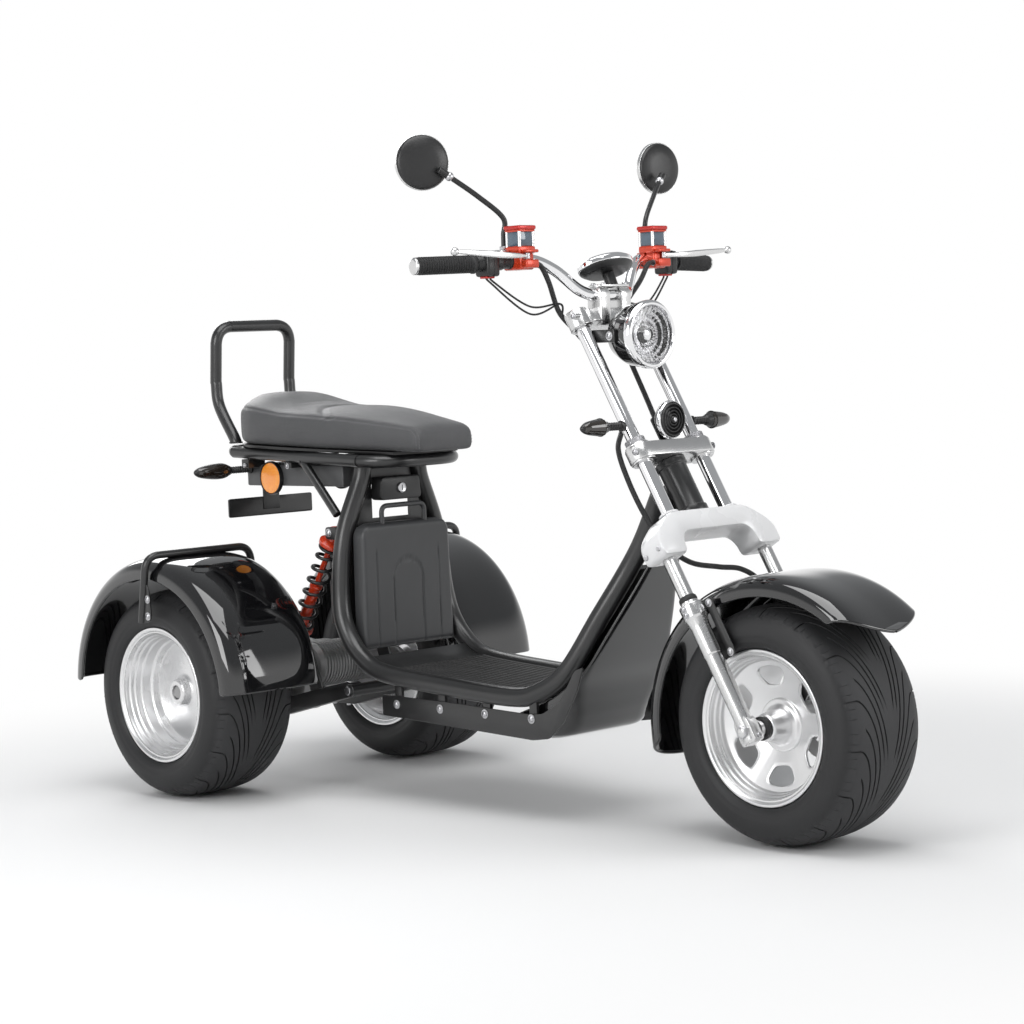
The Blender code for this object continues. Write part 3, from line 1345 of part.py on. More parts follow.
def mirrors():
    """Round mirrors on bent stems that stand on the perches."""
    for side, word in ((-1, "right"), (1, "left")):
        centre = place(0.805, side * 0.317, 1.252)
        disc = turned("mirror_" + word, [(0, 0.012), (0.030, 0.010), (0.047, 0.004), (0.052, -0.003),
                                         (0.052, -0.009), (0, -0.009)], 24, finish(*BLACK_PLASTIC))
        facing = Matrix.Rotation(math.radians(side * MIRROR_TURN[word]), 4, 'Z')
        disc.matrix_world = (Matrix.Translation(centre) @ facing
                             @ Matrix.Rotation(math.radians(90), 4, 'Y'))
        stem_points = [(0.879, side * 0.190, 1.0850), (0.880, side * 0.190, 1.115),
                       (0.882, side * 0.192, 1.146), (0.860, side * 0.236, 1.188),
                       (0.836, side * 0.289, 1.229), (0.809, side * 0.311, 1.246)]
        stem = as_mesh(tube("mirror_stem", [place(*p) for p in stem_points], 0.0055, None, 1))
        join(disc, stem)


# Brake hoses

HOSE_RADIUS = 0.0055
HOSE_STEP = 0.027
PERCH_END = [(0.9260, 0.1608, 1.0580), (0.9260, 0.1540, 1.0580), (0.9280, 0.1420, 1.0520),
             (0.9260, 0.1220, 1.0220)]
CALIPER_ROUTE = [  # up the fork, sideways, ahead
    (0.890, -0.0850, -0.0300), (0.850, -0.0620, -0.0340), (0.800, -0.0480, -0.0310),
    (0.700, -0.0470, -0.0300), (0.640, -0.0540, -0.0340),
    (0.595, -0.0840, -0.0400), (0.530, -0.0920, -0.0430), (0.460, -0.0880, -0.0450),
    (0.400, -0.0740, -0.0450), (0.355, -0.0280, -0.0460), (0.338, 0.0400, -0.0460),
    (0.325, 0.0900, -0.0400), (0.292, 0.1180, -0.0340), (0.235, 0.1240, -0.0340),
    (0.160, 0.1240, -0.0310), (0.120, 0.1110, -0.0350), (0.0980, 0.1050, -0.0360),
    (0.0906, 0.1050, -0.0360)]
STEM_ROUTE = [(0.890, 0.0850, -0.0300), (0.850, 0.0620, -0.0340), (0.800, 0.0460, -0.0310),
              (0.700, 0.0400, -0.0300), (0.640, 0.0290, -0.0230), (0.605, 0.0230, -0.0160),
              (0.5756, 0.0230, -0.0160)]


def hose(name, side, route):
    """Hose from a perch's inner end down behind the top clamp and along the route on the fork."""
    points = [place(x, side * y, z) for x, y, z in PERCH_END]
    points += [on_fork(*point) for point in route]
    length = sum((b - a).length for a, b in zip(points, points[1:]))
    between = spline_points(points[1:-1], round(length / HOSE_STEP))
    return tube(name, points[:1] + between + points[-1:], HOSE_RADIUS, finish(*RUBBER), 2)


def hoses():
    """The right brake's hose, down to the caliper, and the left one, down into the stem."""
    hose("hose_right", -1, CALIPER_ROUTE)
    hose("hose_left", 1, STEM_ROUTE)


# Lamps, horn and dash

def front_lamps():
    """Headlight, horn, turn signals and the dash."""
    shell = turned("headlight", [(0, 0.019), (0.030, 0.0175), (0.0530, 0.0120), (0.0540, 0.0195),
                                 (0.0590, 0.0220), (0.0635, 0.0180), (0.0645, 0.006),
                                 (0.062, -0.004), (0.058, -0.030),
                                 (0.042, -0.060), (0.020, -0.070), (0, -0.070)], 20,
                   finish(*BLACK_GLOSS))
    shell.matrix_world = (Matrix.Translation(place(1.052, 0, 0.919))
                          @ Matrix.Rotation(math.radians(90), 4, 'Y'))
    ear_y = UPPER_TUBE_HALF - FORK_TUBE_RADIUS - GAP
    for side in (-1, 1):
        ear = box("lamp_ear", (0.970, min(side * 0.054, side * ear_y), 0.906),
                  (1.036, max(side * 0.054, side * ear_y), 0.932))
        join(shell, ear)
    horn = turned("horn", [(0, 0.012), (0.007, 0.012), (0.010, 0.007), (0.016, 0.009),
                           (0.020, 0.005), (0.026, 0.009), (0.032, 0.009), (0.0355, 0.004),
                           (0.0355, -0.006), (0.024, -0.018), (0.010, -0.030), (0, -0.030)], 20,
                  finish(*BLACK_GLOSS))
    horn.matrix_world = (Matrix.Translation(place(1.108, 0, 0.760))
                         @ Matrix.Rotation(math.radians(90), 4, 'Y'))
    dash = turned("dash", [(0, 0.012), (0.040, 0.012), (0.046, 0.007), (0.046, -0.004),
                           (0.036, -DASH_DEPTH), (0, -DASH_DEPTH)], 24, finish(*BLACK_PLASTIC))
    stretch = Matrix.Diagonal((1.0, 1.35, 1.0, 1.0))
    dash.matrix_world = (Matrix.Translation(place(*DASH_CENTRE))
                         @ Matrix.Rotation(-DASH_TILT, 4, 'Y') @ stretch)
    for side, word in ((-1, "right"), (1, "left")):
        turn = WHEEL_RIGHT if side == -1 else WHEEL_LEFT
        signal("front_signal_" + word,
               on_fork(0.622, side * (UPPER_TUBE_HALF + FORK_TUBE_RADIUS + GAP)), turn, 0.108)


STEERED = ("top_clamp", "middle_clamp", "lower_brace", "fork_tube_right", "fork_tube_left",
           "fork_leg_right", "fork_leg_left", "front_axle", "front_fender", "handlebar",
           "grip_right", "grip_left", "control_right", "control_left", "lever_right", "lever_left",
           "mirror_right", "mirror_left", "dash", "headlight", "horn", "front_signal_right",
           "front_signal_left", "hose_right", "hose_left")


def steering_pivot():
    """Parent every steered piece to an empty whose Z is the steering axis."""
    pivot = bpy.data.objects.new("steering_axis", None)
    PARTS.objects.link(pivot)
    pivot.hide_render = True
    pivot.matrix_world = Matrix.Translation(on_fork(0, 0, -STEER_BACK)) @ FORK_TURN
    for item in PARTS.objects:
        if item.name in STEERED:
            item.parent = pivot
            item.matrix_parent_inverse = pivot.matrix_world.inverted()


def main():
    start_scene()
    wheels()
    frame()
    footwell()
    floor_mat()
    skirts()
    front_shell()
    tower_panel()
    battery_pack()
    battery_lock()
    seat_frame()
    seat()
    grab_rail()
    tail()
    suspension()
    fenders()
    fork_legs()
    front_axle()
    lower_brace()
    clamps()
    handlebar()
    controls()
    mirrors()
    hoses()
    front_lamps()
    steering_pivot()


main()
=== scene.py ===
"""Dressed model of a three-wheeled electric scooter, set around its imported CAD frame.

Metres, +X forward, +Y to the rider's left, +Z up, ground at Z = 0.
"""

import math

import bmesh
import bpy
import numpy as np
from mathutils import Matrix, Vector


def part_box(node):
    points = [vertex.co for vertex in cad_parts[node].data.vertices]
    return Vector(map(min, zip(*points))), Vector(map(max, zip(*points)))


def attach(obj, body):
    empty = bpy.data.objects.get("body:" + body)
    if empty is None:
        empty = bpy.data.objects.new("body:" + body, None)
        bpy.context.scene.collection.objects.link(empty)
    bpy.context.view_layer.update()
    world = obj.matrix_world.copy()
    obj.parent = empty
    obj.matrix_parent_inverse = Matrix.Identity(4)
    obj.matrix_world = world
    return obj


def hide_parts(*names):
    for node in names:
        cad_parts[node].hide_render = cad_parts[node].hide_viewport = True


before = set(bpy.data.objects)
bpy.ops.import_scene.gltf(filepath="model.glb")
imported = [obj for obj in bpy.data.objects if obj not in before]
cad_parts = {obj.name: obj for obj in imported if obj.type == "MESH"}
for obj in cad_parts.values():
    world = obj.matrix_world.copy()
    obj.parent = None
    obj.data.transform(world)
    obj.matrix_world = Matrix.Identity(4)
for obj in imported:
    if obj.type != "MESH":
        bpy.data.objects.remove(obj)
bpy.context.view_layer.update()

# Camera, floor and lights. The viewing angle is the photograph's: a long lens at saddle height,
# off the vehicle's right front. The floor is a wide pale sheet that fades to white, and four soft
# lamps light the vehicle from above and from its sides.
AZIMUTH = math.radians(46.75)
ELEVATION = math.radians(3.59)
ROLL = -0.041
LENS = 91.48
CAMERA_PLACE = (3.746, -3.523, 0.903)

scene = bpy.context.scene
scene.view_settings.view_transform = "Standard"
away = Vector((math.sin(AZIMUTH) * math.cos(ELEVATION), -math.cos(AZIMUTH) * math.cos(ELEVATION),
               math.sin(ELEVATION)))
right = (-away).cross(Vector((0, 0, 1))).normalized()
up = right.cross(-away)
rolled_right = math.cos(ROLL) * right + math.sin(ROLL) * up
rolled_up = -math.sin(ROLL) * right + math.cos(ROLL) * up
camera_data = bpy.data.cameras.new("photo_camera")
camera_data.lens = LENS
camera_data.sensor_width = 36
camera = bpy.data.objects.new("photo_camera", camera_data)
scene.collection.objects.link(camera)
camera.matrix_world = Matrix.Translation(CAMERA_PLACE) @ Matrix(
    (rolled_right, rolled_up, away)).transposed().to_4x4()
scene.camera = camera


class Signal:
    """A socket of a material's nodes. Arithmetic on signals adds the Math nodes that do it."""

    def __init__(self, socket):
        self.socket = socket
        self.tree = socket.id_data

    def node(self, kind, settings=None, inputs=None, output=0):
        """Add any other node: its type, its settings, and the values or links of its sockets."""
        made = self.tree.nodes.new(kind)
        for name, value in (settings or {}).items():
            setattr(made, name, value)
        for name, value in (inputs or {}).items():
            if isinstance(value, Signal):
                self.tree.links.new(value.socket, made.inputs[name])
            else:
                made.inputs[name].default_value = value
        return Signal(made.outputs[output])

    def maths(self, operation, first, second=0.0):
        return self.node("ShaderNodeMath", {"operation": operation}, {0: first, 1: second})

    def __add__(self, other):
        return self.maths("ADD", self, other)

    def __sub__(self, other):
        return self.maths("SUBTRACT", self, other)

    def __mul__(self, other):
        return self.maths("MULTIPLY", self, other)

    def __pow__(self, other):
        return self.maths("POWER", self, other)

    def __gt__(self, other):
        return self.maths("GREATER_THAN", self, other)

    def sine(self):
        return self.maths("SINE", self)

    def root(self):
        return self.maths("SQRT", self)

    def minimum(self, other):
        return self.maths("MINIMUM", self, other)

    def size(self):
        return self.maths("ABSOLUTE", self)

    def clamped(self):
        return self.node("ShaderNodeClamp", {}, {0: self})

    def noise(self, scale, detail=4.0, roughness=0.55, stretch=None):
        """Soft random variation, from 0 to 1, of the position that this signal carries."""
        place = self
        if stretch:
            place = self.node("ShaderNodeMapping", {}, {"Vector": self, "Scale": stretch})
        return self.node("ShaderNodeTexNoise", {}, {"Vector": place, "Scale": scale, "Detail": detail,
                                                    "Roughness": roughness})

    def blend(self, low, high):
        """A colour between two, by this signal."""
        made = self.tree.nodes.new("ShaderNodeMix")
        made.data_type = "RGBA"
        self.tree.links.new(self.socket, made.inputs[0])
        for index, value in ((6, low), (7, high)):
            if isinstance(value, Signal):
                self.tree.links.new(value.socket, made.inputs[index])
            else:
                made.inputs[index].default_value = (*value, 1)
        return Signal(made.outputs[2])

    def bump(self, height_m, below=None):
        """A normal that this signal's height, times height_m, tips."""
        inputs = {"Height": self, "Distance": height_m, "Strength": 1.0}
        if below:
            inputs["Normal"] = below
        return self.node("ShaderNodeBump", {}, inputs)


def new_finish(name):
    """An empty material, its main shader, and the place on the object as a signal."""
    material = bpy.data.materials.new(name)
    material.use_nodes = True
    tree = material.node_tree
    shader = tree.nodes["Principled BSDF"]
    place = Signal(tree.nodes.new("ShaderNodeTexCoord").outputs["Object"])
    return material, shader, place


def feed(shader, **values):
    """Set or link sockets of the main shader, named with underscores for spaces."""
    for name, value in values.items():
        socket = shader.inputs[name.replace("_", " ")]
        if isinstance(value, Signal):
            shader.id_data.links.new(value.socket, socket)
        elif hasattr(value, "__len__"):
            socket.default_value = (*value, 1)[:len(socket.default_value)]
        else:
            socket.default_value = value


def into_scene(name, data):
    """A new object that shows a mesh or a lamp."""
    made = bpy.data.objects.new(name, data)
    scene.collection.objects.link(made)
    return made


def faces_between(index):
    """Four-sided faces between neighbours in rows and columns of point numbers."""
    corners = [index[:-1, :-1], index[:-1, 1:], index[1:, 1:], index[1:, :-1]]
    return np.stack(corners, -1).reshape(-1, 4)


def surface(name, grid, finish=None, around=False, along=False, caps="", extras=None, angle=40):
    """A mesh over a grid of points [rows, columns, 3].

    around joins the last column to the first, along joins the last row to the first, and flat caps
    close the first and last row with one face each. extras are named values, one for each point,
    that a finish may read.
    """
    grid = np.asarray(grid, float)
    rows, columns = grid.shape[:2]
    index = np.arange(rows * columns).reshape(rows, columns)
    if around:
        index = np.concatenate([index, index[:, :1]], 1)
    if along:
        index = np.concatenate([index, index[:1]], 0)
    faces = faces_between(index).tolist()
    if caps == "flat":
        faces.append(index[0, :columns][::-1].tolist())
        faces.append(index[-1, :columns].tolist())
    mesh = bpy.data.meshes.new(name)
    mesh.from_pydata(grid.reshape(-1, 3).tolist(), [], faces)
    for title, values in (extras or {}).items():
        layer = mesh.attributes.new(title, "FLOAT", "POINT")
        layer.data.foreach_set("value", np.broadcast_to(values, (rows, columns)).ravel())
    tidy(mesh, angle)
    piece = into_scene(name, mesh)
    if finish:
        mesh.materials.append(finish)
    return piece


def tidy(mesh, angle=40.0):
    """Merge doubles, turn faces outwards and shade smooth except across sharp edges."""
    shell = bmesh.new()
    shell.from_mesh(mesh)
    bmesh.ops.remove_doubles(shell, verts=shell.verts, dist=1e-6)
    bmesh.ops.dissolve_degenerate(shell, edges=shell.edges, dist=1e-7)
    bmesh.ops.recalc_face_normals(shell, faces=shell.faces)
    shell.to_mesh(mesh)
    shell.free()
    mesh.shade_smooth()
    mesh.set_sharp_from_angle(angle=math.radians(angle))


def background_rays(tree):
    """1 for rays that show the background: from the camera, off gloss, or through glass."""
    ray = tree.nodes.new("ShaderNodeLightPath")
    return (Signal(ray.outputs["Is Camera Ray"]) + Signal(ray.outputs["Is Glossy Ray"])
            + Signal(ray.outputs["Is Transmission Ray"])).clamped()


floor_finish, floor_shader, floor_place = new_finish("studio_floor")
feed(floor_shader, Base_Color=(0.80, 0.80, 0.80), Roughness=0.8)
tree = floor_finish.node_tree
distance = floor_place.node("ShaderNodeVectorMath", {"operation": "LENGTH"}, {0: floor_place}, "Value")
fade = distance.node("ShaderNodeMapRange", {"interpolation_type": "SMOOTHSTEP"},
                     {"Value": distance, "From Min": 0.9, "From Max": 2.3})
glow = tree.nodes.new("ShaderNodeEmission")
glow.inputs["Color"].default_value = (1, 1, 1, 1)
join = tree.nodes.new("ShaderNodeMixShader")
tree.links.new((fade * background_rays(tree)).socket, join.inputs["Fac"])
tree.links.new(floor_shader.outputs[0], join.inputs[1])
tree.links.new(glow.outputs[0], join.inputs[2])
tree.links.new(join.outputs[0], tree.nodes["Material Output"].inputs["Surface"])
reach = np.linspace(-14, 14, 3)
ground = surface("studio_floor", np.stack([reach[:, None] + 0 * reach, reach + 0 * reach[:, None],
                                           np.zeros((3, 3))], -1), floor_finish)

world = bpy.data.worlds.new("studio_air")
world.use_nodes = True
tree = world.node_tree
soft = tree.nodes["Background"]
soft.inputs["Color"].default_value = (0.86, 0.88, 0.9, 1)
soft.inputs["Strength"].default_value = 0.42
white = tree.nodes.new("ShaderNodeBackground")
white.inputs["Color"].default_value = (1, 1, 1, 1)
way = Signal(tree.nodes.new("ShaderNodeTexCoord").outputs["Generated"])
height = way.node("ShaderNodeSeparateXYZ", {}, {0: way}, 2)
low_sky = height.node("ShaderNodeMapRange", {"interpolation_type": "SMOOTHSTEP"},
                      {"Value": height, "From Min": 0.42, "From Max": 0.18})
join = tree.nodes.new("ShaderNodeMixShader")
tree.links.new((low_sky * background_rays(tree)).socket, join.inputs["Fac"])
tree.links.new(soft.outputs[0], join.inputs[1])
tree.links.new(white.outputs[0], join.inputs[2])
tree.links.new(join.outputs[0], tree.nodes["World Output"].inputs["Surface"])
scene.world = world
for title, place, size, watts in (("lamp_top", (0.6, -0.6, 3.2), 2.4, 62.0),
                                  ("lamp_right", (0.4, -3.2, 1.7), 1.6, 42.0),
                                  ("lamp_front", (3.4, 1.6, 1.8), 1.6, 34.0),
                                  ("lamp_back", (-3.0, 0.9, 2.2), 1.6, 34.0)):
    light = bpy.data.lights.new(title, "AREA")
    light.shape = "SQUARE"
    light.size = size
    light.energy = watts
    lamp = into_scene(title, light)
    lamp.location = place
    lamp.rotation_euler = (Vector(place) - Vector((0, 0, 0.5))).to_track_quat("Z", "Y").to_euler()


# Tyres. Wide low rubber tyres with a rounded square shoulder. Each tread groove starts square at
# the shoulder and sweeps round towards the middle of the tread, with short cuts between them on
# the shoulder. The rows of the mesh follow the grooves, so that their edges stay clean.
TREAD_PITCHES = 15
GROOVE_SWEEP = 1.13
GROOVE_HALF = 0.0017
GROOVE_DEPTH = 0.0038
SIPE_DEPTH = 0.0016
SHOULDER_START = 0.078


def middle_of(node):
    """Middle of a node's box at rest."""
    low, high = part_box(node)
    return (np.array(low) + np.array(high)) / 2


def unit(vector):
    return np.asarray(vector, float) / np.linalg.norm(vector)


def unit_rows(vectors):
    """Each row of vectors at unit length."""
    return vectors / np.linalg.norm(vectors, axis=1, keepdims=True)


def soft_corners(points, radius, steps=6):
    """The open outline with each inner corner replaced by a curve of about the given radius."""
    points = np.asarray(points, float)
    middle = points[1:-1]
    before = points[:-2] - middle
    after = points[2:] - middle
    back = np.linalg.norm(before, axis=1, keepdims=True)
    on = np.linalg.norm(after, axis=1, keepdims=True)
    wanted = np.broadcast_to(radius, len(middle))[:, None]
    start = middle + before / back * np.minimum(wanted, 0.48 * back)
    end = middle + after / on * np.minimum(wanted, 0.48 * on)
    t = np.linspace(0, 1, steps)[None, :, None]
    arcs = (1 - t) ** 2 * start[:, None] + 2 * t * (1 - t) * middle[:, None] + t ** 2 * end[:, None]
    return np.concatenate([points[:1], arcs.reshape(-1, points.shape[1]), points[-1:]])


def run_along(points):
    """Distance along a line of points, from its first."""
    steps = np.linalg.norm(np.diff(points, axis=0), axis=1)
    return np.concatenate([[0.0], np.cumsum(steps)])


def read_off(points, distances):
    """Points of a line at the given distances along it."""
    run = run_along(points)
    return np.stack([np.interp(distances, run, column) for column in np.asarray(points).T], -1)


def step_between(low, high, value):
    """0 below low, 1 above high, and smooth between."""
    t = np.clip((value - low) / (high - low), 0, 1)
    return t * t * (3 - 2 * t)


def settle(piece, body, slot, *nodes):
    """Let a finished piece ride on a body, in place of the CAD nodes named. slot is not used."""
    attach(piece, body)
    if nodes:
        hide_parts(*nodes)
    return piece


def tyre_rubber():
    """Matt black rubber, paler where the tread has been scuffed, with a faint moulded grain."""
    material, shader, place = new_finish("tyre_rubber")
    scuffed = place.node("ShaderNodeAttribute", {"attribute_name": "scuffed"}, {}, "Fac")
    cloud = place.noise(14.0, 5.0)
    dust = (scuffed * (cloud * 0.7 + 0.3)).clamped()
    feed(shader, Base_Color=dust.blend((0.011, 0.011, 0.012), (0.042, 0.042, 0.044)),
         Roughness=cloud * 0.16 + 0.46 + scuffed * 0.1,
         Normal=place.noise(900.0, 2.0).bump(0.00025))
    return material


def tyre_surface(name, node, finish):
    """The tyre as rows across the section, from bead to bead, carried round the wheel.

    A row is turned forward by the sine of its distance from the middle, so that rows and grooves
    run square at the shoulder and nearly round the wheel at the middle.
    """
    low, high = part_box(node)
    centre = middle_of(node)
    radius = (high[2] - low[2]) / 2
    wide = (high[1] - low[1]) / 2
    half = soft_corners([(0, radius), (0.045, radius - 0.0012), (0.079, radius - 0.0070),
                         (wide - 0.0065, radius - 0.021), (wide, radius - 0.043),
                         (wide - 0.0015, radius - 0.060), (wide - 0.0070, radius - 0.0725),
                         (0.0925, radius - 0.0750), (0.0915, radius - 0.0890)], 0.014, 9)
    reach = run_along(half)[-1]
    out = np.concatenate([np.arange(0, 0.122, 0.0027), np.linspace(0.1225, reach, 17)])
    across = np.concatenate([-out[:0:-1], out])
    point = read_off(half, np.abs(across))
    point[:, 0] *= np.sign(across)
    slope = unit_rows(np.gradient(point, axis=0))
    inward = np.stack([slope[:, 1], -slope[:, 0]], -1)

    distance = np.abs(across)
    turn = GROOVE_SWEEP * np.sin(np.clip(distance / SHOULDER_START, 0, 1) * math.pi / 2)
    lean = GROOVE_SWEEP * radius * math.pi / 2 / SHOULDER_START
    lean = lean * np.cos(np.clip(distance / SHOULDER_START, 0, 1) * math.pi / 2)
    groove = GROOVE_HALF * np.sqrt(1 + lean ** 2) / radius
    half_pitch = math.pi / TREAD_PITCHES
    in_groove = np.array([-1.0, -0.72, 0.0, 0.72])
    in_land = np.array([0.0, 0.26, 0.28, 0.30, 0.70, 0.72, 0.74])
    first = in_groove[:, None] * groove
    rest = groove + in_land[:, None] * (half_pitch - 2 * groove)
    rows = np.concatenate([first, rest])
    count = 2 * TREAD_PITCHES
    angle = (np.arange(count)[:, None, None] * half_pitch + rows[None] + turn).reshape(-1, len(across))

    long_mask = step_between(0.008, 0.016, distance) * (1 - step_between(0.098, 0.106, distance))
    short_mask = step_between(0.016, 0.026, distance) * (1 - step_between(0.060, 0.068, distance))
    sipe_mask = step_between(0.080, 0.083, distance) * (1 - step_between(0.100, 0.104, distance))
    floor = np.array([0, 1, 1, 1] + [0] * 7)[:, None]
    cuts = np.array([0] * 4 + [0, 0, 1, 0, 0, 1, 0])[:, None]
    even = GROOVE_DEPTH * floor * long_mask + SIPE_DEPTH * cuts * sipe_mask
    odd = GROOVE_DEPTH * floor * short_mask + SIPE_DEPTH * cuts * sipe_mask
    depth = np.tile(np.concatenate([even, odd]), (TREAD_PITCHES, 1))
    line = np.exp(-((distance - 0.139) / 0.0011) ** 2) + np.exp(-((distance - 0.164) / 0.0013) ** 2)
    lift = 0.0009 * line
    y = point[:, 0] + inward[:, 0] * np.sign(across + 1e-9) * (depth - lift)
    r = point[:, 1] - np.abs(inward[:, 1]) * (depth - lift)
    grid = np.stack([centre[0] + r * np.cos(angle), centre[1] + y, centre[2] + r * np.sin(angle)], -1)
    worn = (1 - step_between(0.088, 0.104, distance)) * (1 - step_between(0.0, 0.001, depth))
    return surface(name, grid, finish, along=True, around=True, extras={"scuffed": worn}, angle=32)


rubber = tyre_rubber()
for node, body in (("front_tyre", "front_wheel"), ("rear_tyre_right", "rear_wheel_right"),
                   ("rear_tyre_left", "rear_wheel_left")):
    settle(tyre_surface(node + "_tread", node, rubber), body, "tyre_rubber", node)


# Rims. Spun and polished alloy with fine lathe lines: a rounded outer lip, two steps down into
# the barrel, and a disc. The front disc is dished and has six rounded windows round a conical hub;
# the rear ones are plain and deep, with a bearing seat at the middle. In every profile a pair is
# the distance from the wheel's middle towards the dished face, and the radius.
WINDOWS = 6
WINDOW_TURN = math.radians(35)
BARREL_BACK = [(0.0970, 0.1385), (0.0955, 0.1410), (0.0928, 0.1410), (0.0918, 0.1272),
               (-0.0918, 0.1272), (-0.0928, 0.1410), (-0.0955, 0.1410), (-0.0970, 0.1385),
               (-0.0950, 0.1340), (-0.0830, 0.1190)]
BARREL_FACE = [(0.0700, 0.1185), (0.0715, 0.1212), (0.0800, 0.1222), (0.0815, 0.1252),
               (0.0895, 0.1265), (0.0918, 0.1315), (0.0955, 0.1335)]


def soft_ring(points, radius, steps=3):
    """A closed outline with every corner rounded."""
    points = np.asarray(points, float)
    looped = np.concatenate([points[-1:], points, points[:1]])
    return soft_corners(looped, radius, steps)[1:-1]


def turned(name, profile, centre, axis, finish, steps=96, closed=False):
    """A profile of (distance along the axis, radius) pairs carried round the axis."""
    profile = np.asarray(profile, float)
    axis = unit(axis)
    side = unit(np.cross(axis, (0.31, 0.17, 0.93)))
    up = np.cross(axis, side)
    angle = np.linspace(0, math.tau, steps, endpoint=False)
    ring = np.cos(angle)[:, None] * side + np.sin(angle)[:, None] * up
    grid = np.asarray(centre) + profile[:, None, :1] * axis + profile[:, None, 1:] * ring[None]
    return surface(name, grid, finish, around=True, along=closed)


def together(name, *pieces):
    """One object made of several pieces, each keeping its own finish."""
    shell = bmesh.new()
    finishes = []
    for piece in pieces:
        mesh = piece.data
        if mesh.materials[0] not in finishes:
            finishes.append(mesh.materials[0])
        index = finishes.index(mesh.materials[0])
        mesh.polygons.foreach_set("material_index", np.full(len(mesh.polygons), index, np.int32))
        shell.from_mesh(mesh)
        bpy.data.objects.remove(piece)
    mesh = bpy.data.meshes.new(name)
    shell.to_mesh(mesh)
    shell.free()
    for finish in finishes:
        mesh.materials.append(finish)
    whole = into_scene(name, mesh)
    return whole


def lathe_alloy(name, centre, shade, rough):
    """Polished alloy with rings from the lathe round a wheel's own axis, and soft cloudy haze."""
    material, shader, place = new_finish(name)
    parts = place.node("ShaderNodeSeparateXYZ", {}, {0: place})
    x = parts - centre[0]
    z = Signal(parts.socket.node.outputs["Z"]) - centre[2]
    radius = (x * x + z * z).root()
    lines = place.node("ShaderNodeCombineXYZ", {}, {"X": radius}).noise(1400.0, 3.0, 0.7)
    haze = place.noise(9.0, 4.0, 0.6)
    feed(shader, Base_Color=haze.blend((shade * 0.92,) * 3, (shade, shade, shade * 1.01)),
         Metallic=1.0, Roughness=haze * 0.16 + lines * 0.12 + (rough - 0.12),
         Normal=lines.bump(0.00006))
    return material


def windowed_disc(name, centre, side, finish):
    """The front disc: six equal patches, each running from its window's edge out to its bounds.

    Round a patch, a ray's turn gives the window's edge by interpolation and the bound by where
    the ray leaves a square; both are then bent round the hub. The disc leans in to the hub.
    """
    inner, outer, thick = 0.0480, 0.1180, 0.0065
    mid, half = (inner + outer) / 2, (outer - inner) / 2
    slot = soft_ring([(-0.45, -0.30), (0.45, -0.30), (0.62, 0.48), (0.44, 0.70), (-0.44, 0.70),
                      (-0.62, 0.48)], 0.30, 8)
    ray = np.arctan2(slot[:, 1] - 0.18, slot[:, 0])
    order = np.argsort(ray)
    turn = np.linspace(-math.pi, math.pi, 64, endpoint=False)
    ways = np.stack([np.cos(turn), np.sin(turn)], -1)
    length = np.hypot(slot[:, 0], slot[:, 1] - 0.18)
    hole = np.interp(turn, ray[order], length[order], period=math.tau)[:, None] * ways
    hole[:, 1] += 0.18
    bound = ways / np.abs(ways).max(1, keepdims=True)
    share = np.array([1.0, 0.6, 0.25, 0.06, 0.0, 0.0, 0.06, 0.25, 0.6, 1.0])[:, None, None]
    plan = hole + (bound - hole) * share
    back = np.array([1, 1, 1, 1, 0.86, 0.14, 0, 0, 0, 0])[:, None]
    patches = []
    for k in range(WINDOWS):
        angle = WINDOW_TURN + (plan[..., 0] * 0.5 + k) * math.tau / WINDOWS
        radius = mid + half * plan[..., 1]
        face = 0.0400 + 0.0220 * (radius - inner) / (outer - inner)
        depth = side * (face - thick * back)
        patches.append(surface(name, np.stack([
            centre[0] + radius * np.cos(angle), centre[1] + depth, centre[2] + radius * np.sin(angle)],
            -1), finish, around=True, along=True))
    return patches


front_centre = middle_of("front_tyre")
front_alloy = lathe_alloy("front_rim_alloy", front_centre, 0.80, 0.29)
front_barrel = soft_ring(BARREL_BACK + [(0.0540, 0.1180), (0.0560, 0.1160), (0.0610, 0.1160),
                                        (0.0625, 0.1180)] + BARREL_FACE, 0.0022)
front_hub = soft_ring([(-0.0880, 0.0100), (-0.0880, 0.0310), (-0.0840, 0.0340), (0.0280, 0.0340),
                       (0.0335, 0.0480), (0.0400, 0.0490), (0.0440, 0.0465), (0.0440, 0.0380),
                       (0.0500, 0.0320), (0.0835, 0.0255), (0.0880, 0.0225), (0.0880, 0.0100)], 0.002)
front_rim = together(
    "front_rim_spun",
    turned("barrel", front_barrel, front_centre, (0, -1, 0), front_alloy, 120, True),
    turned("hub", front_hub, front_centre, (0, -1, 0), front_alloy, 72, True),
    *windowed_disc("disc", front_centre, -1, front_alloy))
settle(front_rim, "front_wheel", "polished_alloy", "front_rim")

for word, side in (("right", -1), ("left", 1)):
    centre = middle_of("rear_tyre_" + word)
    alloy = lathe_alloy("rear_rim_alloy_" + word, centre, 0.82, 0.26)
    dish = soft_ring(BARREL_BACK + [
        (0.0105, 0.1180), (0.0240, 0.0340), (-0.0200, 0.0340), (-0.0200, 0.0145), (0.0520, 0.0145),
        (0.0520, 0.0225), (0.0500, 0.0262), (0.0330, 0.0290), (0.0290, 0.0370), (0.0180, 0.1020),
        (0.0185, 0.1065), (0.0330, 0.1085), (0.0350, 0.1130), (0.0560, 0.1145), (0.0580, 0.1175)]
        + BARREL_FACE, 0.0024)
    settle(turned("rear_rim_spun_" + word, dish, centre, (0, side, 0), alloy, 120, True),
           "rear_wheel_" + word, "polished_alloy", "rear_rim_" + word)


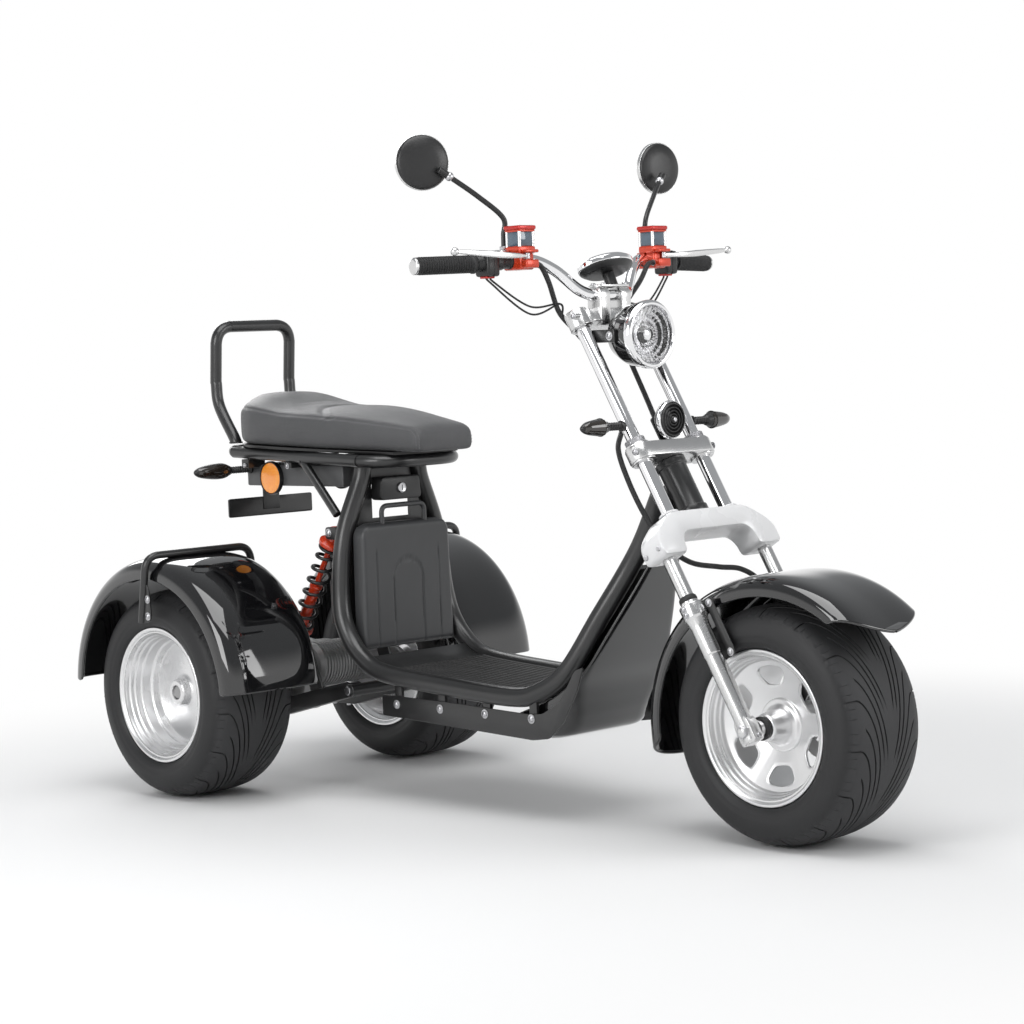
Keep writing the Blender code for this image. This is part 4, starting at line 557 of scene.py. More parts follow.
# Rear fenders. Deep pressed sheet under thick black lacquer, domed across, with a rolled edge all
# round and a shallow step beside each side's edge.
rear_axle_x = middle_of("rear_tyre_right")[0]
SHEET = 0.0035
EDGE_ROLL = 0.0034


def at(x, y, z):
    """A point whose x is measured forward from the rear axle."""
    return np.array([rear_axle_x + x, y, z])


def black_lacquer():
    """Deep black gloss with the faint orange peel of sprayed lacquer and a trace of dust."""
    material, shader, place = new_finish("black_lacquer")
    cloud = place.noise(7.0, 5.0, 0.6)
    specks = (place.noise(420.0, 2.0) > 0.74) * 0.25
    feed(shader, Base_Color=(cloud * 0.5 + specks * 0.3).blend((0.003, 0.003, 0.0035),
                                                              (0.009, 0.009, 0.010)),
         Roughness=cloud * 0.05 + specks * 0.15 + 0.035, Coat_Weight=1.0, Coat_Roughness=0.03,
         Normal=place.noise(210.0, 2.0).bump(0.00002))
    return material


def thicken(grid, thickness):
    """The outer sheet of points and an inner one, one thickness under it along its normals."""
    across = np.gradient(grid, axis=1)
    along = np.gradient(grid, axis=0)
    normal = np.cross(across, along)
    normal /= np.linalg.norm(normal, axis=2, keepdims=True) + 1e-12
    return np.concatenate([grid, (grid + normal * thickness)[:, ::-1]], 1)


def tube(name, line, radius, finish, sides=20, closed=False, wrap=None):
    """A round bar along a line of points. radius may change along it.

    wrap is a pair of names: values for a finish to read, of the distance along the bar and the
    turn round it.
    """
    line = np.asarray(line, float)
    if closed:
        ahead = np.roll(line, -1, 0) - np.roll(line, 1, 0)
    else:
        ahead = np.gradient(line, axis=0)
    ahead = unit_rows(ahead)
    reference = np.linalg.svd(ahead)[2][-1]
    side = unit_rows(np.cross(ahead, reference))
    up = np.cross(side, ahead)
    angle = np.linspace(0, math.tau, sides, endpoint=False)
    radius = np.broadcast_to(radius, len(line))[:, None, None]
    ring = np.cos(angle)[None, :, None] * side[:, None] + np.sin(angle)[None, :, None] * up[:, None]
    extras = {}
    if wrap:
        extras = {wrap[0]: run_along(line)[:, None] + 0 * angle, wrap[1]: angle[None] + 0 * line[:, :1]}
    return surface(name, line[:, None] + radius * ring, finish, around=True, along=closed,
                   caps="" if closed else "flat", extras=extras)


def smooth_line(points, count, closed=False):
    """Evenly spread points on a curve that runs smoothly through the given ones."""
    points = np.asarray(points, float)
    if closed:
        padded = np.concatenate([points[-1:], points, points[:2]])
    else:
        padded = np.concatenate([2 * points[:1] - points[1:2], points, 2 * points[-1:] - points[-2:-1]])
    t = np.linspace(0, 1, 25)[None, :-1, None]
    a, b, c, d = (padded[k:len(padded) - 3 + k, None] for k in range(4))
    fine = 0.5 * (2 * b + (c - a) * t + (2 * a - 5 * b + 4 * c - d) * t ** 2
                  + (3 * b - a - 3 * c + d) * t ** 3)
    fine = np.concatenate([fine.reshape(-1, points.shape[1]), padded[-2:-1]])
    reach = run_along(fine)[-1]
    return read_off(fine, np.linspace(0, reach, count + closed))[:count]


def fender_grid(centre, half, radius, angle, edge_drop):
    """Rows of points over a wheel. radius and angle are arrays over rows and columns."""
    t = np.linspace(-1, 1, radius.shape[1])
    y = half * np.sin(t * math.pi / 2)
    r = radius - edge_drop * np.abs(t) ** 4 + 0.0010 * step_between(0.86, 0.89, np.abs(t))
    return np.stack([centre[0] + r * np.cos(angle), centre[1] + y + 0 * r,
                     centre[2] + r * np.sin(angle)], -1)


def rolled_sheet(name, grid, finish):
    """A sheet of pressed metal with a rolled bead along its whole edge."""
    border = np.concatenate([grid[:, 0], grid[-1, 1:], grid[-2::-1, -1], grid[0, -2:0:-1]])
    border = smooth_line(border[::2], 300, closed=True)
    sheet = surface("sheet", thicken(grid, SHEET), finish, around=True, caps="flat")
    return together(name, sheet, tube("edge", border, EDGE_ROLL, finish, 10, closed=True))


lacquer = black_lacquer()
for word in ("right", "left"):
    centre = middle_of("rear_tyre_" + word)
    low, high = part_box("rear_fender_" + word)
    columns, rows = 37, 84
    turn = np.radians(np.linspace(4.6, 175.4, rows))[:, None] + np.zeros((1, columns))
    crown = np.full((rows, columns), high[2] - centre[2] - 0.0005)
    grid = fender_grid(centre, (high[1] - low[1]) / 2 - 0.0030, crown, turn, 0.040)
    settle(rolled_sheet("rear_fender_pressed_" + word, grid, lacquer), "chassis",
           "black_gloss_paint", "rear_fender_" + word)


# Long frame tubes and head pipe. Thick-walled steel tube under black satin powder coat, swept from
# the neck down beside the floor and up to the seat ring. Each tube carries a shock's upper lug and
# the small tabs that the skirts are bolted to; short weld beads run round the neck.
TUBE_RADIUS = 0.019
SIDE_TUBE = [(1.097, 0.0245, 0.618), (1.062, 0.034, 0.540), (1.030, 0.048, 0.480),
             (0.985, 0.080, 0.395), (0.928, 0.116, 0.292), (0.868, 0.134, 0.250),
             (0.800, 0.142, 0.238), (0.620, 0.144, 0.246), (0.440, 0.146, 0.260),
             (0.372, 0.147, 0.284), (0.322, 0.146, 0.335), (0.300, 0.142, 0.403),
             (0.298, 0.126, 0.530), (0.304, 0.082, 0.640), (0.306, 0.075, 0.672)]
SKIRT_BOLTS = (0.470, 0.600, 0.730, 0.860)
SHOCK_TOP = (0.262, 0.118, 0.540)
FORK_RAKE = math.radians(30.5)


def powder_coat():
    """Black satin powder coat: a fine pebble in the film, cloudy gloss, and a little grey dust."""
    shade, rough = 0.014, 0.30
    material, shader, place = new_finish("powder_coat")
    cloud = place.noise(11.0, 5.0, 0.6)
    dust = (place.noise(60.0, 4.0) > 0.66) * 0.2 * cloud
    feed(shader, Base_Color=(cloud * 0.6 + dust).blend((shade * 0.6,) * 3,
                                                       (shade * 1.9, shade * 1.9, shade * 2.0)),
         Roughness=cloud * 0.16 + (rough - 0.06), Coat_Weight=0.35, Coat_Roughness=0.22,
         Normal=place.noise(620.0, 3.0).bump(0.00009))
    return material


def block(name, low, high, finish, edge=0.0012):
    """A box between two corners, its edges rounded, as rings of points from foot to top."""
    low, high = np.minimum(low, high), np.maximum(low, high)
    return prism(name, [(low[0], low[1]), (high[0], low[1]), (high[0], high[1]), (low[0], high[1])],
                 low[2], high[2], finish, edge)


def prism(name, outline, foot, top, finish, edge=0.0012, corner=None, frame_of=None):
    """A flat outline carried from foot to top, with rounded edges.

    frame_of is three axes and an origin: where the outline's X, its Y and the height point.
    """
    outline = np.asarray(outline, float)
    if corner is None:
        corner = edge
    if corner:
        outline = soft_ring(outline, corner, 4)
    ahead = np.roll(outline, -1, 0) - np.roll(outline, 1, 0)
    ahead /= np.linalg.norm(ahead, axis=1, keepdims=True) + 1e-12
    area = np.sum(outline[:, 0] * np.roll(outline[:, 1], -1) - outline[:, 1] * np.roll(outline[:, 0], -1))
    inward = np.stack([-ahead[:, 1], ahead[:, 0]], -1) * math.copysign(1, area)
    edge = min(edge, 0.45 * abs(top - foot))
    inset = edge * np.array([1.0, 0.29, 0.0, 0.0, 0.29, 1.0])
    height = np.array([foot, foot + 0.29 * edge, foot + edge, top - edge, top - 0.29 * edge, top])
    plan = outline[None] + inset[:, None, None] * inward[None]
    grid = np.concatenate([plan, np.broadcast_to(height[:, None, None], (6, len(outline), 1))], 2)
    if frame_of is not None:
        x_way, y_way, z_way, origin = (np.asarray(v, float) for v in frame_of)
        grid = origin + grid[..., :1] * x_way + grid[..., 1:2] * y_way + grid[..., 2:] * z_way
    return surface(name, grid, finish, around=True, caps="flat")


def flank(side, place):
    """Axes and origin of a plate that stands along the vehicle and faces out to a side."""
    return (1, 0, 0), (0, 0, 1), (0, side, 0), place


def round_bar(name, start, end, radius, finish, sides=24, edge=0.001):
    """A straight round bar between two points, with rounded ends."""
    start, end = np.asarray(start, float), np.asarray(end, float)
    length = np.linalg.norm(end - start)
    line = [(0, 0), (0, radius - edge), (edge, radius), (length - edge, radius),
            (length, radius - edge), (length, 0)]
    return turned(name, line, start, end - start, finish, sides)


def dome_bolt(name, place, axis, finish, head=0.0065):
    """A dome-headed bolt on its washer, with a hexagon socket sunk in the dome."""
    profile = [(0.0, 0.0), (0.0, head * 1.45), (0.0012, head * 1.45), (0.0014, head), (0.0034, head * 0.93),
               (0.0046, head * 0.70), (0.0050, head * 0.46), (0.0030, head * 0.42), (0.0030, 0.0)]
    return turned(name, profile, place, axis, finish, 24)


def bright_steel():
    """Zinc-bright steel of the fasteners, slightly dulled."""
    material, shader, place = new_finish("bright_steel")
    cloud = place.noise(160.0, 3.0)
    feed(shader, Base_Color=cloud.blend((0.42, 0.42, 0.43), (0.66, 0.66, 0.68)), Metallic=1.0,
         Roughness=cloud * 0.2 + 0.2, Normal=cloud.bump(0.00005))
    return material


def fork_point(up, y, out=0.0):
    """A point up the fork from the front axle, y sideways and out ahead of the legs' plane."""
    along = np.array([-math.sin(FORK_RAKE), 0, math.cos(FORK_RAKE)])
    ahead = np.array([math.cos(FORK_RAKE), 0, math.sin(FORK_RAKE)])
    return front_centre * (1, 0, 1) + (0, y, 0) + along * up + ahead * out


FORK_UP = fork_point(1, 0) - fork_point(0, 0)
FORK_OUT = fork_point(0, 0, 1) - fork_point(0, 0)
powder = powder_coat()
steel = bright_steel()
SIDES = ((-1, "right"), (1, "left"))
for side, word in SIDES:
    run = smooth_line([at(x, side * y, z) for x, y, z in SIDE_TUBE], 150)
    pieces = [tube("tube", run, TUBE_RADIUS, powder, 32)]
    x, y, z = SHOCK_TOP
    pieces.append(prism("lug", [(x - 0.012, z - 0.014), (x + 0.026, z - 0.014), (x + 0.026, z + 0.012),
                                (x - 0.012, z + 0.012)], 0, 0.007, powder, 0.0015, 0.008,
                        flank(side, at(0, side * (y + 0.0113), 0))))
    pieces.append(dome_bolt("lug_bolt", at(x, side * (y + 0.0183), z), (0, side, 0), steel, 0.006))
    for bolt in SKIRT_BOLTS:
        over = run[np.argmin(np.abs(run[:, 0] - at(bolt, 0, 0)[0]) + (run[:, 2] > 0.3))][2]
        pieces.append(block("tab", at(bolt - 0.010, side * 0.138, 0.190),
                            at(bolt + 0.010, side * 0.1457, over - 0.010), powder, 0.0008))
    neck = smooth_line([at(1.097, side * 0.0245, 0.618), at(1.080, side * 0.0060, 0.590),
                        at(1.062, side * 0.0060, 0.548)], 30)
    pieces.append(tube("weld", neck, 0.0030 + 0.0007 * np.sin(np.arange(30) * 1.9), powder, 10))
    settle(together("frame_tube_swept_" + word, *pieces), "chassis", "black_satin_paint",
           "frame_tube_" + word)

pipe_low, pipe_high = 0.4308, 0.5442
head_profile = soft_ring([(pipe_low, 0.0180), (pipe_low, 0.0300), (pipe_low + 0.012, 0.0300),
                          (pipe_low + 0.014, 0.0270), (pipe_high - 0.014, 0.0270),
                          (pipe_high - 0.012, 0.0300), (pipe_high, 0.0300), (pipe_high, 0.0180)], 0.001)
neck_corners = [fork_point(0.5242, 0, -0.035), fork_point(0.4458, 0, -0.035), at(1.052, 0, 0.500),
                at(1.040, 0, 0.520), at(1.078, 0, 0.622), at(1.092, 0, 0.640)]
head_pipe = together(
    "head_pipe",
    turned("pipe", head_profile, fork_point(0, 0, -0.012), FORK_UP, powder, 48, True),
    prism("neck", [(p[0], p[2]) for p in neck_corners], -0.0052, 0.0052, powder, 0.001, 0.004,
          ((1, 0, 0), (0, 0, 1), (0, 1, 0), (0, 0, 0))))
settle(head_pipe, "chassis", "black_satin_paint", "head_tube")


# Footwell, mat and skirts. A bent steel tray between the tubes carries a ribbed rubber mat on its
# flat part. The side plates below the tubes are held by bright dome bolts.
FLOOR_THICK = 0.012
MAT_RIBS = 17
SKIRT = [(0.425, 0.218), (0.425, 0.176), (0.860, 0.160), (0.905, 0.166), (0.945, 0.200),
         (0.985, 0.262), (1.003, 0.308), (0.980, 0.300), (0.938, 0.238), (0.890, 0.213),
         (0.860, 0.209), (0.620, 0.216)]


def mat_rubber():
    """Black ribbed rubber with scuffs where feet rest."""
    material, shader, place = new_finish("mat_rubber")
    cloud = place.noise(18.0, 5.0, 0.65)
    feed(shader, Base_Color=(cloud ** 3.0).blend((0.012, 0.012, 0.0125), (0.06, 0.058, 0.056)),
         Roughness=cloud * 0.2 + 0.55, Normal=place.noise(500.0, 3.0).bump(0.0002))
    return material


line = smooth_line([at(x, -y, z) for x, y, z in SIDE_TUBE], 240)
low_end = np.argmin(np.abs(line[:, 2] - 0.484) + (line[:, 0] < at(0.9, 0, 0)[0]))
high_end = np.argmax(line[:, 0] < at(0.368, 0, 0)[0])
tray = line[low_end:high_end]
half = np.abs(tray[:, 1]) - TUBE_RADIUS - 0.0009
ahead = unit_rows(np.gradient(tray[:, [0, 2]], axis=0))
normal = np.stack([ahead[:, 1], -ahead[:, 0]], -1)
across = np.array([-1.0, -0.985, -0.5, 0.0, 0.5, 0.985, 1.0])
lift = FLOOR_THICK / 2 * np.array([0.8, 1, 1, 1, 1, 1, 0.8])
spread = np.concatenate([across, across[::-1]])
height = np.concatenate([lift, -lift[::-1]])
grid = np.stack([tray[:, :1] + normal[:, :1] * height, half[:, None] * spread + 0 * height,
                 tray[:, 2:] + normal[:, 1:] * height], -1)
settle(surface("footwell_tray", grid, powder, around=True, caps="flat"), "chassis",
       "black_satin_paint", "footwell")

low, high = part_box("floor_mat")
along = np.linspace(low[0], high[0], 24)
width = np.linspace(-1, 1, MAT_RIBS * 12 + 1)
rib = 0.0011 * np.clip(np.cos(width * MAT_RIBS * math.pi) * 3, -1, 1)
rib[np.abs(width) > 0.965] = 0.0011
flat = line[line[:, 2] < 0.27][::-1]
floor_line = np.interp(along, flat[:, 0], flat[:, 2])
half = np.interp(along, flat[:, 0], np.abs(flat[:, 1])) - TUBE_RADIUS - 0.006
top = floor_line + FLOOR_THICK / 2 + 0.0006 + 0.0028
grid = np.stack([along[:, None] + 0 * width, half[:, None] * width, top[:, None] + rib], -1)
under = grid.copy()
under[..., 2] = (floor_line + FLOOR_THICK / 2 + 0.0006)[:, None]
settle(surface("ribbed_mat", np.concatenate([grid, under[:, ::-1]], 1), mat_rubber(), around=True,
               caps="flat"), "chassis", "rubber", "floor_mat")

for side, word in SIDES:
    outline = [(at(x, 0, 0)[0], z) for x, z in SKIRT]
    pieces = [prism("plate", outline, -0.002, 0.002, powder, 0.0008, 0.006,
                    flank(side, (0, side * 0.148, 0)))]
    for bolt in SKIRT_BOLTS:
        pieces.append(dome_bolt("bolt", at(bolt, side * 0.150, 0.201), (0, side, 0), steel, 0.0062))
    settle(together("skirt_plate_" + word, *pieces), "chassis", "black_satin_paint", "skirt_" + word)


# Front fender and its stays. One long blade of pressed sheet, domed across, with a lip drawn up at
# the front and a rolled edge. Blocks beside the crown and two flat stays bolt it to the legs.
low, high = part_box("front_fender")
columns, rows = 37, 104
t = np.linspace(-1, 1, columns)
share = np.linspace(0, 1, rows)[:, None]
first = 37.3 + 13 * np.abs(t) ** 1.4
last = 195.4 - 6 * t ** 2
turn = np.radians(first + (last - first) * share)
lift = 0.026 * np.maximum(0, 1 - share * 2.2) ** 1.5 + 0.016 * share ** 2
grid = fender_grid(front_centre, 0.1015, 0.2625 + lift + 0 * t, turn, 0.034)
pieces = [rolled_sheet("blade", grid, lacquer)]
for side in (-1, 1):
    fork_frame = (FORK_OUT, FORK_UP, (0, side, 0), fork_point(0, 0, 0))
    pieces.append(prism("pad", [(-0.012, 0.228), (0.012, 0.228), (0.012, 0.249), (-0.012, 0.249)],
                        0.0972, 0.1061, powder, 0.0012, 0.003, fork_frame))
    pieces.append(prism("link", [(0.0245, 0.2325), (0.0365, 0.2325), (0.0365, 0.2445), (0.0245, 0.2445)],
                        0.0975, 0.1140, powder, 0.0012, 0.003, fork_frame))
    pieces.append(prism("stay", [(0.0215, 0.1450), (0.0165, 0.1440), (0.0165, 0.1330), (0.0370, 0.1330),
                                 (0.0395, 0.1450), (0.0395, 0.2470), (0.0215, 0.2470)],
                        0.1136, 0.1164, powder, 0.0008, 0.004, fork_frame))
    for up, out in ((0.2385, 0.0305), (0.1410, 0.0290)):
        pieces.append(dome_bolt("stay_bolt", fork_point(up, side * 0.1163, out), (0, side, 0), steel,
                                0.0052))
settle(together("front_fender_pressed", *pieces), "steering", "black_gloss_paint", "front_fender")


# Guards. Round steel bar bent into a hoop over each rear fender, from the axle tube up over the
# crown and down beside a flat plate with two dome bolts, all in the frame's powder coat.
GUARD_BAR = 0.008
axle_height = middle_of("rear_tyre_right")[2]
for side, word in SIDES:
    def beside(x, y, height):
        """A point from the rear axle: ahead of it, out to this side, and above it."""
        return at(x, side * y, axle_height + height)
    hoop = soft_corners([beside(0, 0.1614, 0.0309), beside(0.0286, 0.1614, 0.1600),
                         beside(0.0286, 0.1614, 0.2929), beside(0.0286, 0.4314, 0.2929),
                         beside(0.0050, 0.4314, 0.1550)], 0.034, 12)
    plate = prism("plate", [(0.003, 0.152), (0.034, 0.158), (0.040, 0.172), (0.036, 0.222), (0.026, 0.236)],
                  -0.0015, 0.0015, powder, 0.0006, 0.006, flank(side, beside(0, 0.4314, 0)))
    bolts = [dome_bolt("bolt", beside(x, 0.4329, height), (0, side, 0), steel, 0.0058)
             for x, height in ((0.0300, 0.1690), (0.0310, 0.2040))]
    settle(together("guard_hoop_" + word, tube("bar", hoop, GUARD_BAR, powder, 24), plate, *bolts),
           "chassis", "black_satin_paint", "fender_guard_" + word)


# Front shell. A moulded shell in gloss black: a shallow pan under the floor's front end that
# sweeps up between the tubes as a wedge to the neck, bolted on at both flanks.
WEDGE = [(0.232, 0.942), (0.262, 0.955), (0.300, 0.971), (0.350, 0.993), (0.400, 1.015),
         (0.450, 1.041), (0.500, 1.066), (0.540, 1.084)]
front_half = np.array([p for p in SIDE_TUBE if p[0] > 0.86])
stations = [(0.158, 0.812, 0.880, 0.100, 0.030), (0.170, 0.790, 0.912, 0.122, 0.040),
            (0.200, 0.790, 0.930, 0.128, 0.045)]
for z, front in WEDGE:
    tube_x = np.interp(z, front_half[::-1, 2], front_half[::-1, 0])
    tube_y = np.interp(z, front_half[::-1, 2], front_half[::-1, 1])
    back = tube_x + 0.034 if z > 0.25 else 0.875
    depth = max(front - back, 0.012)
    stations.append((z, back, back + depth, tube_y - 0.004, min(0.04, 0.4 * (tube_y - 0.004), 0.9 * depth)))
stations = smooth_line(stations, 70)
corner = np.array([(0, -1), (1, -1), (1, 1), (0, 1)], float)
rings = []
for z, back, front, half, round_off in stations:
    corner_points = np.stack([back + corner[:, 0] * (front - back), corner[:, 1] * half], -1)
    soft = round_off * 1.25
    rings.append(soft_ring(corner_points, [min(soft, 0.010), soft, soft, min(soft, 0.010)], 9))
rings = np.array(rings)
height = np.broadcast_to(stations[:, None, :1], rings.shape[:2] + (1,))
grid = np.concatenate([rings, height], -1) + (rear_axle_x, 0, 0)
pieces = [surface("wedge", grid, lacquer, around=True, caps="flat", angle=50)]
settle(together("front_shell_moulded", *pieces), "chassis", "black_gloss_paint", "front_shell")


# Tower, battery cover and lock. A flat steel panel stands between the rising tubes, cut out for
# the battery. Its cover is a moulded dark shell with a carry handle, an arched groove and two side
# grooves; above it sits a key lock in a small housing.
TOWER_FACE = 0.300
tower_z = np.linspace(0.336, 0.667, 60)
rear_half = np.array([p for p in SIDE_TUBE if p[0] < 0.33])
tower_y = np.interp(tower_z, rear_half[:, 2], rear_half[:, 1])
slope = np.gradient(tower_y, tower_z)
half = tower_y - TUBE_RADIUS * np.sqrt(1 + slope ** 2) - 0.0020


def window_strip(z_low, z_high, hole_half):
    """The two strips of the panel beside a hole, or one full strip where the hole's half is none."""
    z = np.linspace(z_low, z_high, 24)
    edge = np.interp(z, tower_z, half)
    strips = [(-edge, edge)] if not hole_half else [(-edge, 0 * z - hole_half), (0 * z + hole_half, edge)]
    made = []
    for inner, outer in strips:
        ring = np.stack([np.stack([0 * z + x, y, z], -1) for x, y in
                         ((-0.004, inner), (0.004, inner), (0.004, outer), (-0.004, outer))], 1)
        made.append(surface("strip", ring + at(TOWER_FACE, 0, 0), powder, around=True, caps="flat"))
    return made


panel = window_strip(0.336, 0.3417, 0) + window_strip(0.3417, 0.545, 0.088)
panel += window_strip(0.545, 0.565, 0) + window_strip(0.565, 0.645, 0.052) + window_strip(0.645, 0.667, 0)
settle(together("tower_panel_cut", *panel), "chassis", "black_satin_paint", "tower_panel")


def moulded(name, shade, rough, grain=0.00009):
    """Moulded plastic with a fine spark grain and a slight unevenness of shade."""
    material, shader, place = new_finish(name)
    cloud = place.noise(10.0, 5.0, 0.6)
    feed(shader, Base_Color=cloud.blend(tuple(0.8 * v for v in shade), tuple(1.25 * v for v in shade)),
         Roughness=cloud * 0.14 + (rough - 0.07), Normal=place.noise(760.0, 3.0, 0.6).bump(grain))
    return material


cover_grey = moulded("cover_grey", (0.042, 0.043, 0.045), 0.40)
COVER = np.linspace(0, 1, 44)
cover_z = 0.300 + 0.257 * COVER
cover_half = 0.123 - 0.005 * COVER
roundness = np.clip((cover_z - 0.529) / 0.028, 0, 1)
cover_half = cover_half - 0.028 * (1 - np.sqrt(1 - roundness ** 2))
across = np.concatenate([np.linspace(-1, -0.78, 12), np.linspace(-0.765, 0.765, 92),
                         np.linspace(0.78, 1, 12)])
y = cover_half[:, None] * across
z = np.broadcast_to(cover_z[:, None], y.shape)
soft_edge = np.minimum(cover_half[:, None] - np.abs(y), np.minimum(z - 0.300, 0.557 - z))
drop = 0.009 * (1 - np.sqrt(1 - (1 - np.clip(soft_edge / 0.009, 0, 1)) ** 2))
arch = np.where(z < 0.440, np.abs(np.abs(y) - 0.040), np.abs(np.hypot(y, z - 0.440) - 0.040))
arch = np.where(z < 0.305, 1.0, arch)
sides = np.where((z > 0.305) & (z < 0.500), np.abs(np.abs(y) - 0.085), 1.0)
groove = 0.0018 * np.exp(-(arch / 0.0019) ** 2) + 0.0018 * np.exp(-(sides / 0.0019) ** 2)
inside = np.where((np.abs(y) < 0.040) & (z < 0.440) | (np.hypot(y, z - 0.440) < 0.040), 0.0012, 0)
face = 0.350 - drop - groove - inside
front = np.stack([face, y, z], -1)
back = front.copy()
back[..., 0] = 0.3188
cover = surface("cover", np.concatenate([front, back[:, ::-1]], 1) + at(0, 0, 0), cover_grey,
                around=True, caps="flat", angle=55)
case = block("case", at(0.195, -0.085, 0.342), at(0.3215, 0.085, 0.540), cover_grey, 0.004)
handle = soft_corners([at(0.340, -0.058, 0.548), at(0.340, -0.058, 0.591), at(0.340, 0.058, 0.591),
                       at(0.340, 0.058, 0.548)], 0.016, 10)
settle(together("battery_cover_moulded", cover, case, tube("handle", handle, 0.0052, cover_grey, 18)),
       "chassis", "grey_plastic", "battery_pack")

black_moulding = moulded("black_moulding", (0.012, 0.012, 0.0125), 0.36)
housing = prism("housing", [(-0.056, 0.602), (0.056, 0.602), (0.052, 0.650), (-0.052, 0.650)], 0.3047,
                0.3378, black_moulding, 0.003, 0.010, ((0, 1, 0), (0, 0, 1), (1, 0, 0), at(0, 0, 0)))
barrel = turned("barrel", [(0.0, 0.0), (0.0, 0.0110), (0.0042, 0.0110), (0.0052, 0.0098), (0.0044, 0.0080),
                           (0.0044, 0.0)], at(0.3376, 0, 0.626), (1, 0, 0), steel, 40)
slot = block("slot", at(0.3416, -0.0010, 0.6205), at(0.3424, 0.0010, 0.6315), black_moulding, 0.0003)
settle(together("key_lock", housing, barrel, slot), "chassis", "black_plastic", "battery_lock")


# Seat. Foam under dark grey synthetic leather on a thin moulded pan: a raised pillow behind and a
# long front. The top runs down over the front as one piece and is sewn to the side bands with a
# double row of stitches; the foam swells between the seams, and a crease crosses before the pillow.
SEAT_PLAN = np.array([
    (-0.122, 0.045, 0.806, 0.794), (-0.106, 0.068, 0.822, 0.804), (-0.082, 0.082, 0.830, 0.806),
    (-0.062, 0.086, 0.833, 0.807), (-0.045, 0.118, 0.834, 0.808), (-0.018, 0.136, 0.834, 0.808),
    (0.020, 0.145, 0.828, 0.806), (0.090, 0.144, 0.808, 0.796), (0.160, 0.140, 0.802, 0.790),
    (0.250, 0.130, 0.800, 0.784), (0.340, 0.112, 0.790, 0.774), (0.420, 0.095, 0.774, 0.764),
    (0.470, 0.085, 0.760, 0.756), (0.485, 0.078, 0.746, 0.744)])
SEAT_SWELL = 0.007
SEAT_VOXEL = 0.005
STITCH_LENGTH = 0.0036
STITCH_PITCH = 0.0062
STITCH_OFFSET = 0.0034


def ring_line(x):
    """Height of the seat ring's centre, which falls a little towards the front."""
    return 0.703 - 0.045 * x


def seat_leather():
    """Dark grey synthetic leather: pebbled grain, soft creases with painted shade in their hollows, and a
    duller shine where it is sat on.
    """
    material, shader, place = new_finish("seat_leather")
    cloud = place.noise(7.0, 5.0, 0.6)
    pebble = place.node("ShaderNodeTexVoronoi", {"feature": "DISTANCE_TO_EDGE"},
                        {"Vector": place, "Scale": 620.0})
    crease = place.noise(34.0, 5.0, 0.7, (0.5, 1.6, 1.2))
    grain = pebble.minimum(0.16) * 5.0
    # The cloud is random tone; the crease term is painted shade, darker in the creases' hollows and lighter
    # on their ridges.
    feed(shader, Base_Color=(cloud * 0.7 + crease * 0.25).blend((0.036, 0.037, 0.039),
                                                               (0.086, 0.086, 0.090)),
         Roughness=cloud * 0.16 + grain * 0.05 + 0.36, Sheen_Weight=0.15, Sheen_Roughness=0.5,
         Normal=grain.bump(0.00016, crease.bump(0.0011)))
    return material


def nearest_on(points, spots, normals):
    """Move each point onto the flat through the nearest mesh point; gives its normal too."""
    gap = ((points[:, None] - spots[None]) ** 2).sum(-1)
    near = gap.argmin(1)
    normal = normals[near]
    drop = ((points - spots[near]) * normal).sum(-1, keepdims=True)
    return points - drop * normal, normal


def copies(name, shape, origins, x_ways, y_ways, z_ways, finish):
    """One closed grid of points repeated at many places, each with its own axes, as one mesh."""
    rows, columns = shape.shape[:2]
    flat = shape.reshape(-1, 3)
    ways = np.stack([x_ways, y_ways, z_ways], 1)
    points = np.asarray(origins)[:, None] + np.einsum("pk,nkc->npc", flat, ways)
    index = np.arange(rows * columns).reshape(rows, columns)
    index = np.concatenate([index, index[:, :1]], 1)
    every = faces_between(index)[None] + (np.arange(len(origins)) * rows * columns)[:, None, None]
    mesh = bpy.data.meshes.new(name)
    mesh.from_pydata(points.reshape(-1, 3).tolist(), [], every.reshape(-1, 4).tolist())
    tidy(mesh, 50)
    mesh.materials.append(finish)
    piece = into_scene(name, mesh)
    return piece


def bead(length, radius):
    """A small closed capsule along X, pinched to a point at both ends, as a grid of points."""
    along = np.array([-0.5, -0.46, -0.3, 0.0, 0.3, 0.46, 0.5]) * length
    thick = np.array([0.0, 0.55, 0.95, 1.0, 0.95, 0.55, 0.0]) * radius
    angle = np.linspace(0, math.tau, 6, endpoint=False)
    return np.stack([along[:, None] + 0 * angle, thick[:, None] * np.cos(angle),
                     thick[:, None] * np.sin(angle)], -1)


def stitch_rows(name, path, normal, offsets, finish):
    """Rows of stitches beside a seam, along its points and lying on the cloth's normal."""
    ahead = unit_rows(np.gradient(path, axis=0))
    side = unit_rows(np.cross(normal, ahead))
    centres = np.concatenate([path + side * offset + normal * 0.0004 for offset in offsets])
    count = len(offsets)
    return copies(name, bead(STITCH_LENGTH, 0.00055), centres, np.tile(ahead, (count, 1)),
                  np.tile(side, (count, 1)), np.tile(normal, (count, 1)), finish)


def vectors_of(mesh, kind="co"):
    """The places of a mesh's corners, or their normals, as rows."""
    values = np.empty(len(mesh.vertices) * 3)
    mesh.vertices.foreach_get(kind, values)
    return values.reshape(-1, 3)


def distance_to(line, spots):
    """How far each spot is from the nearest point of a line."""
    return np.sqrt(((spots[:, None] - line[None]) ** 2).sum(-1).min(1))


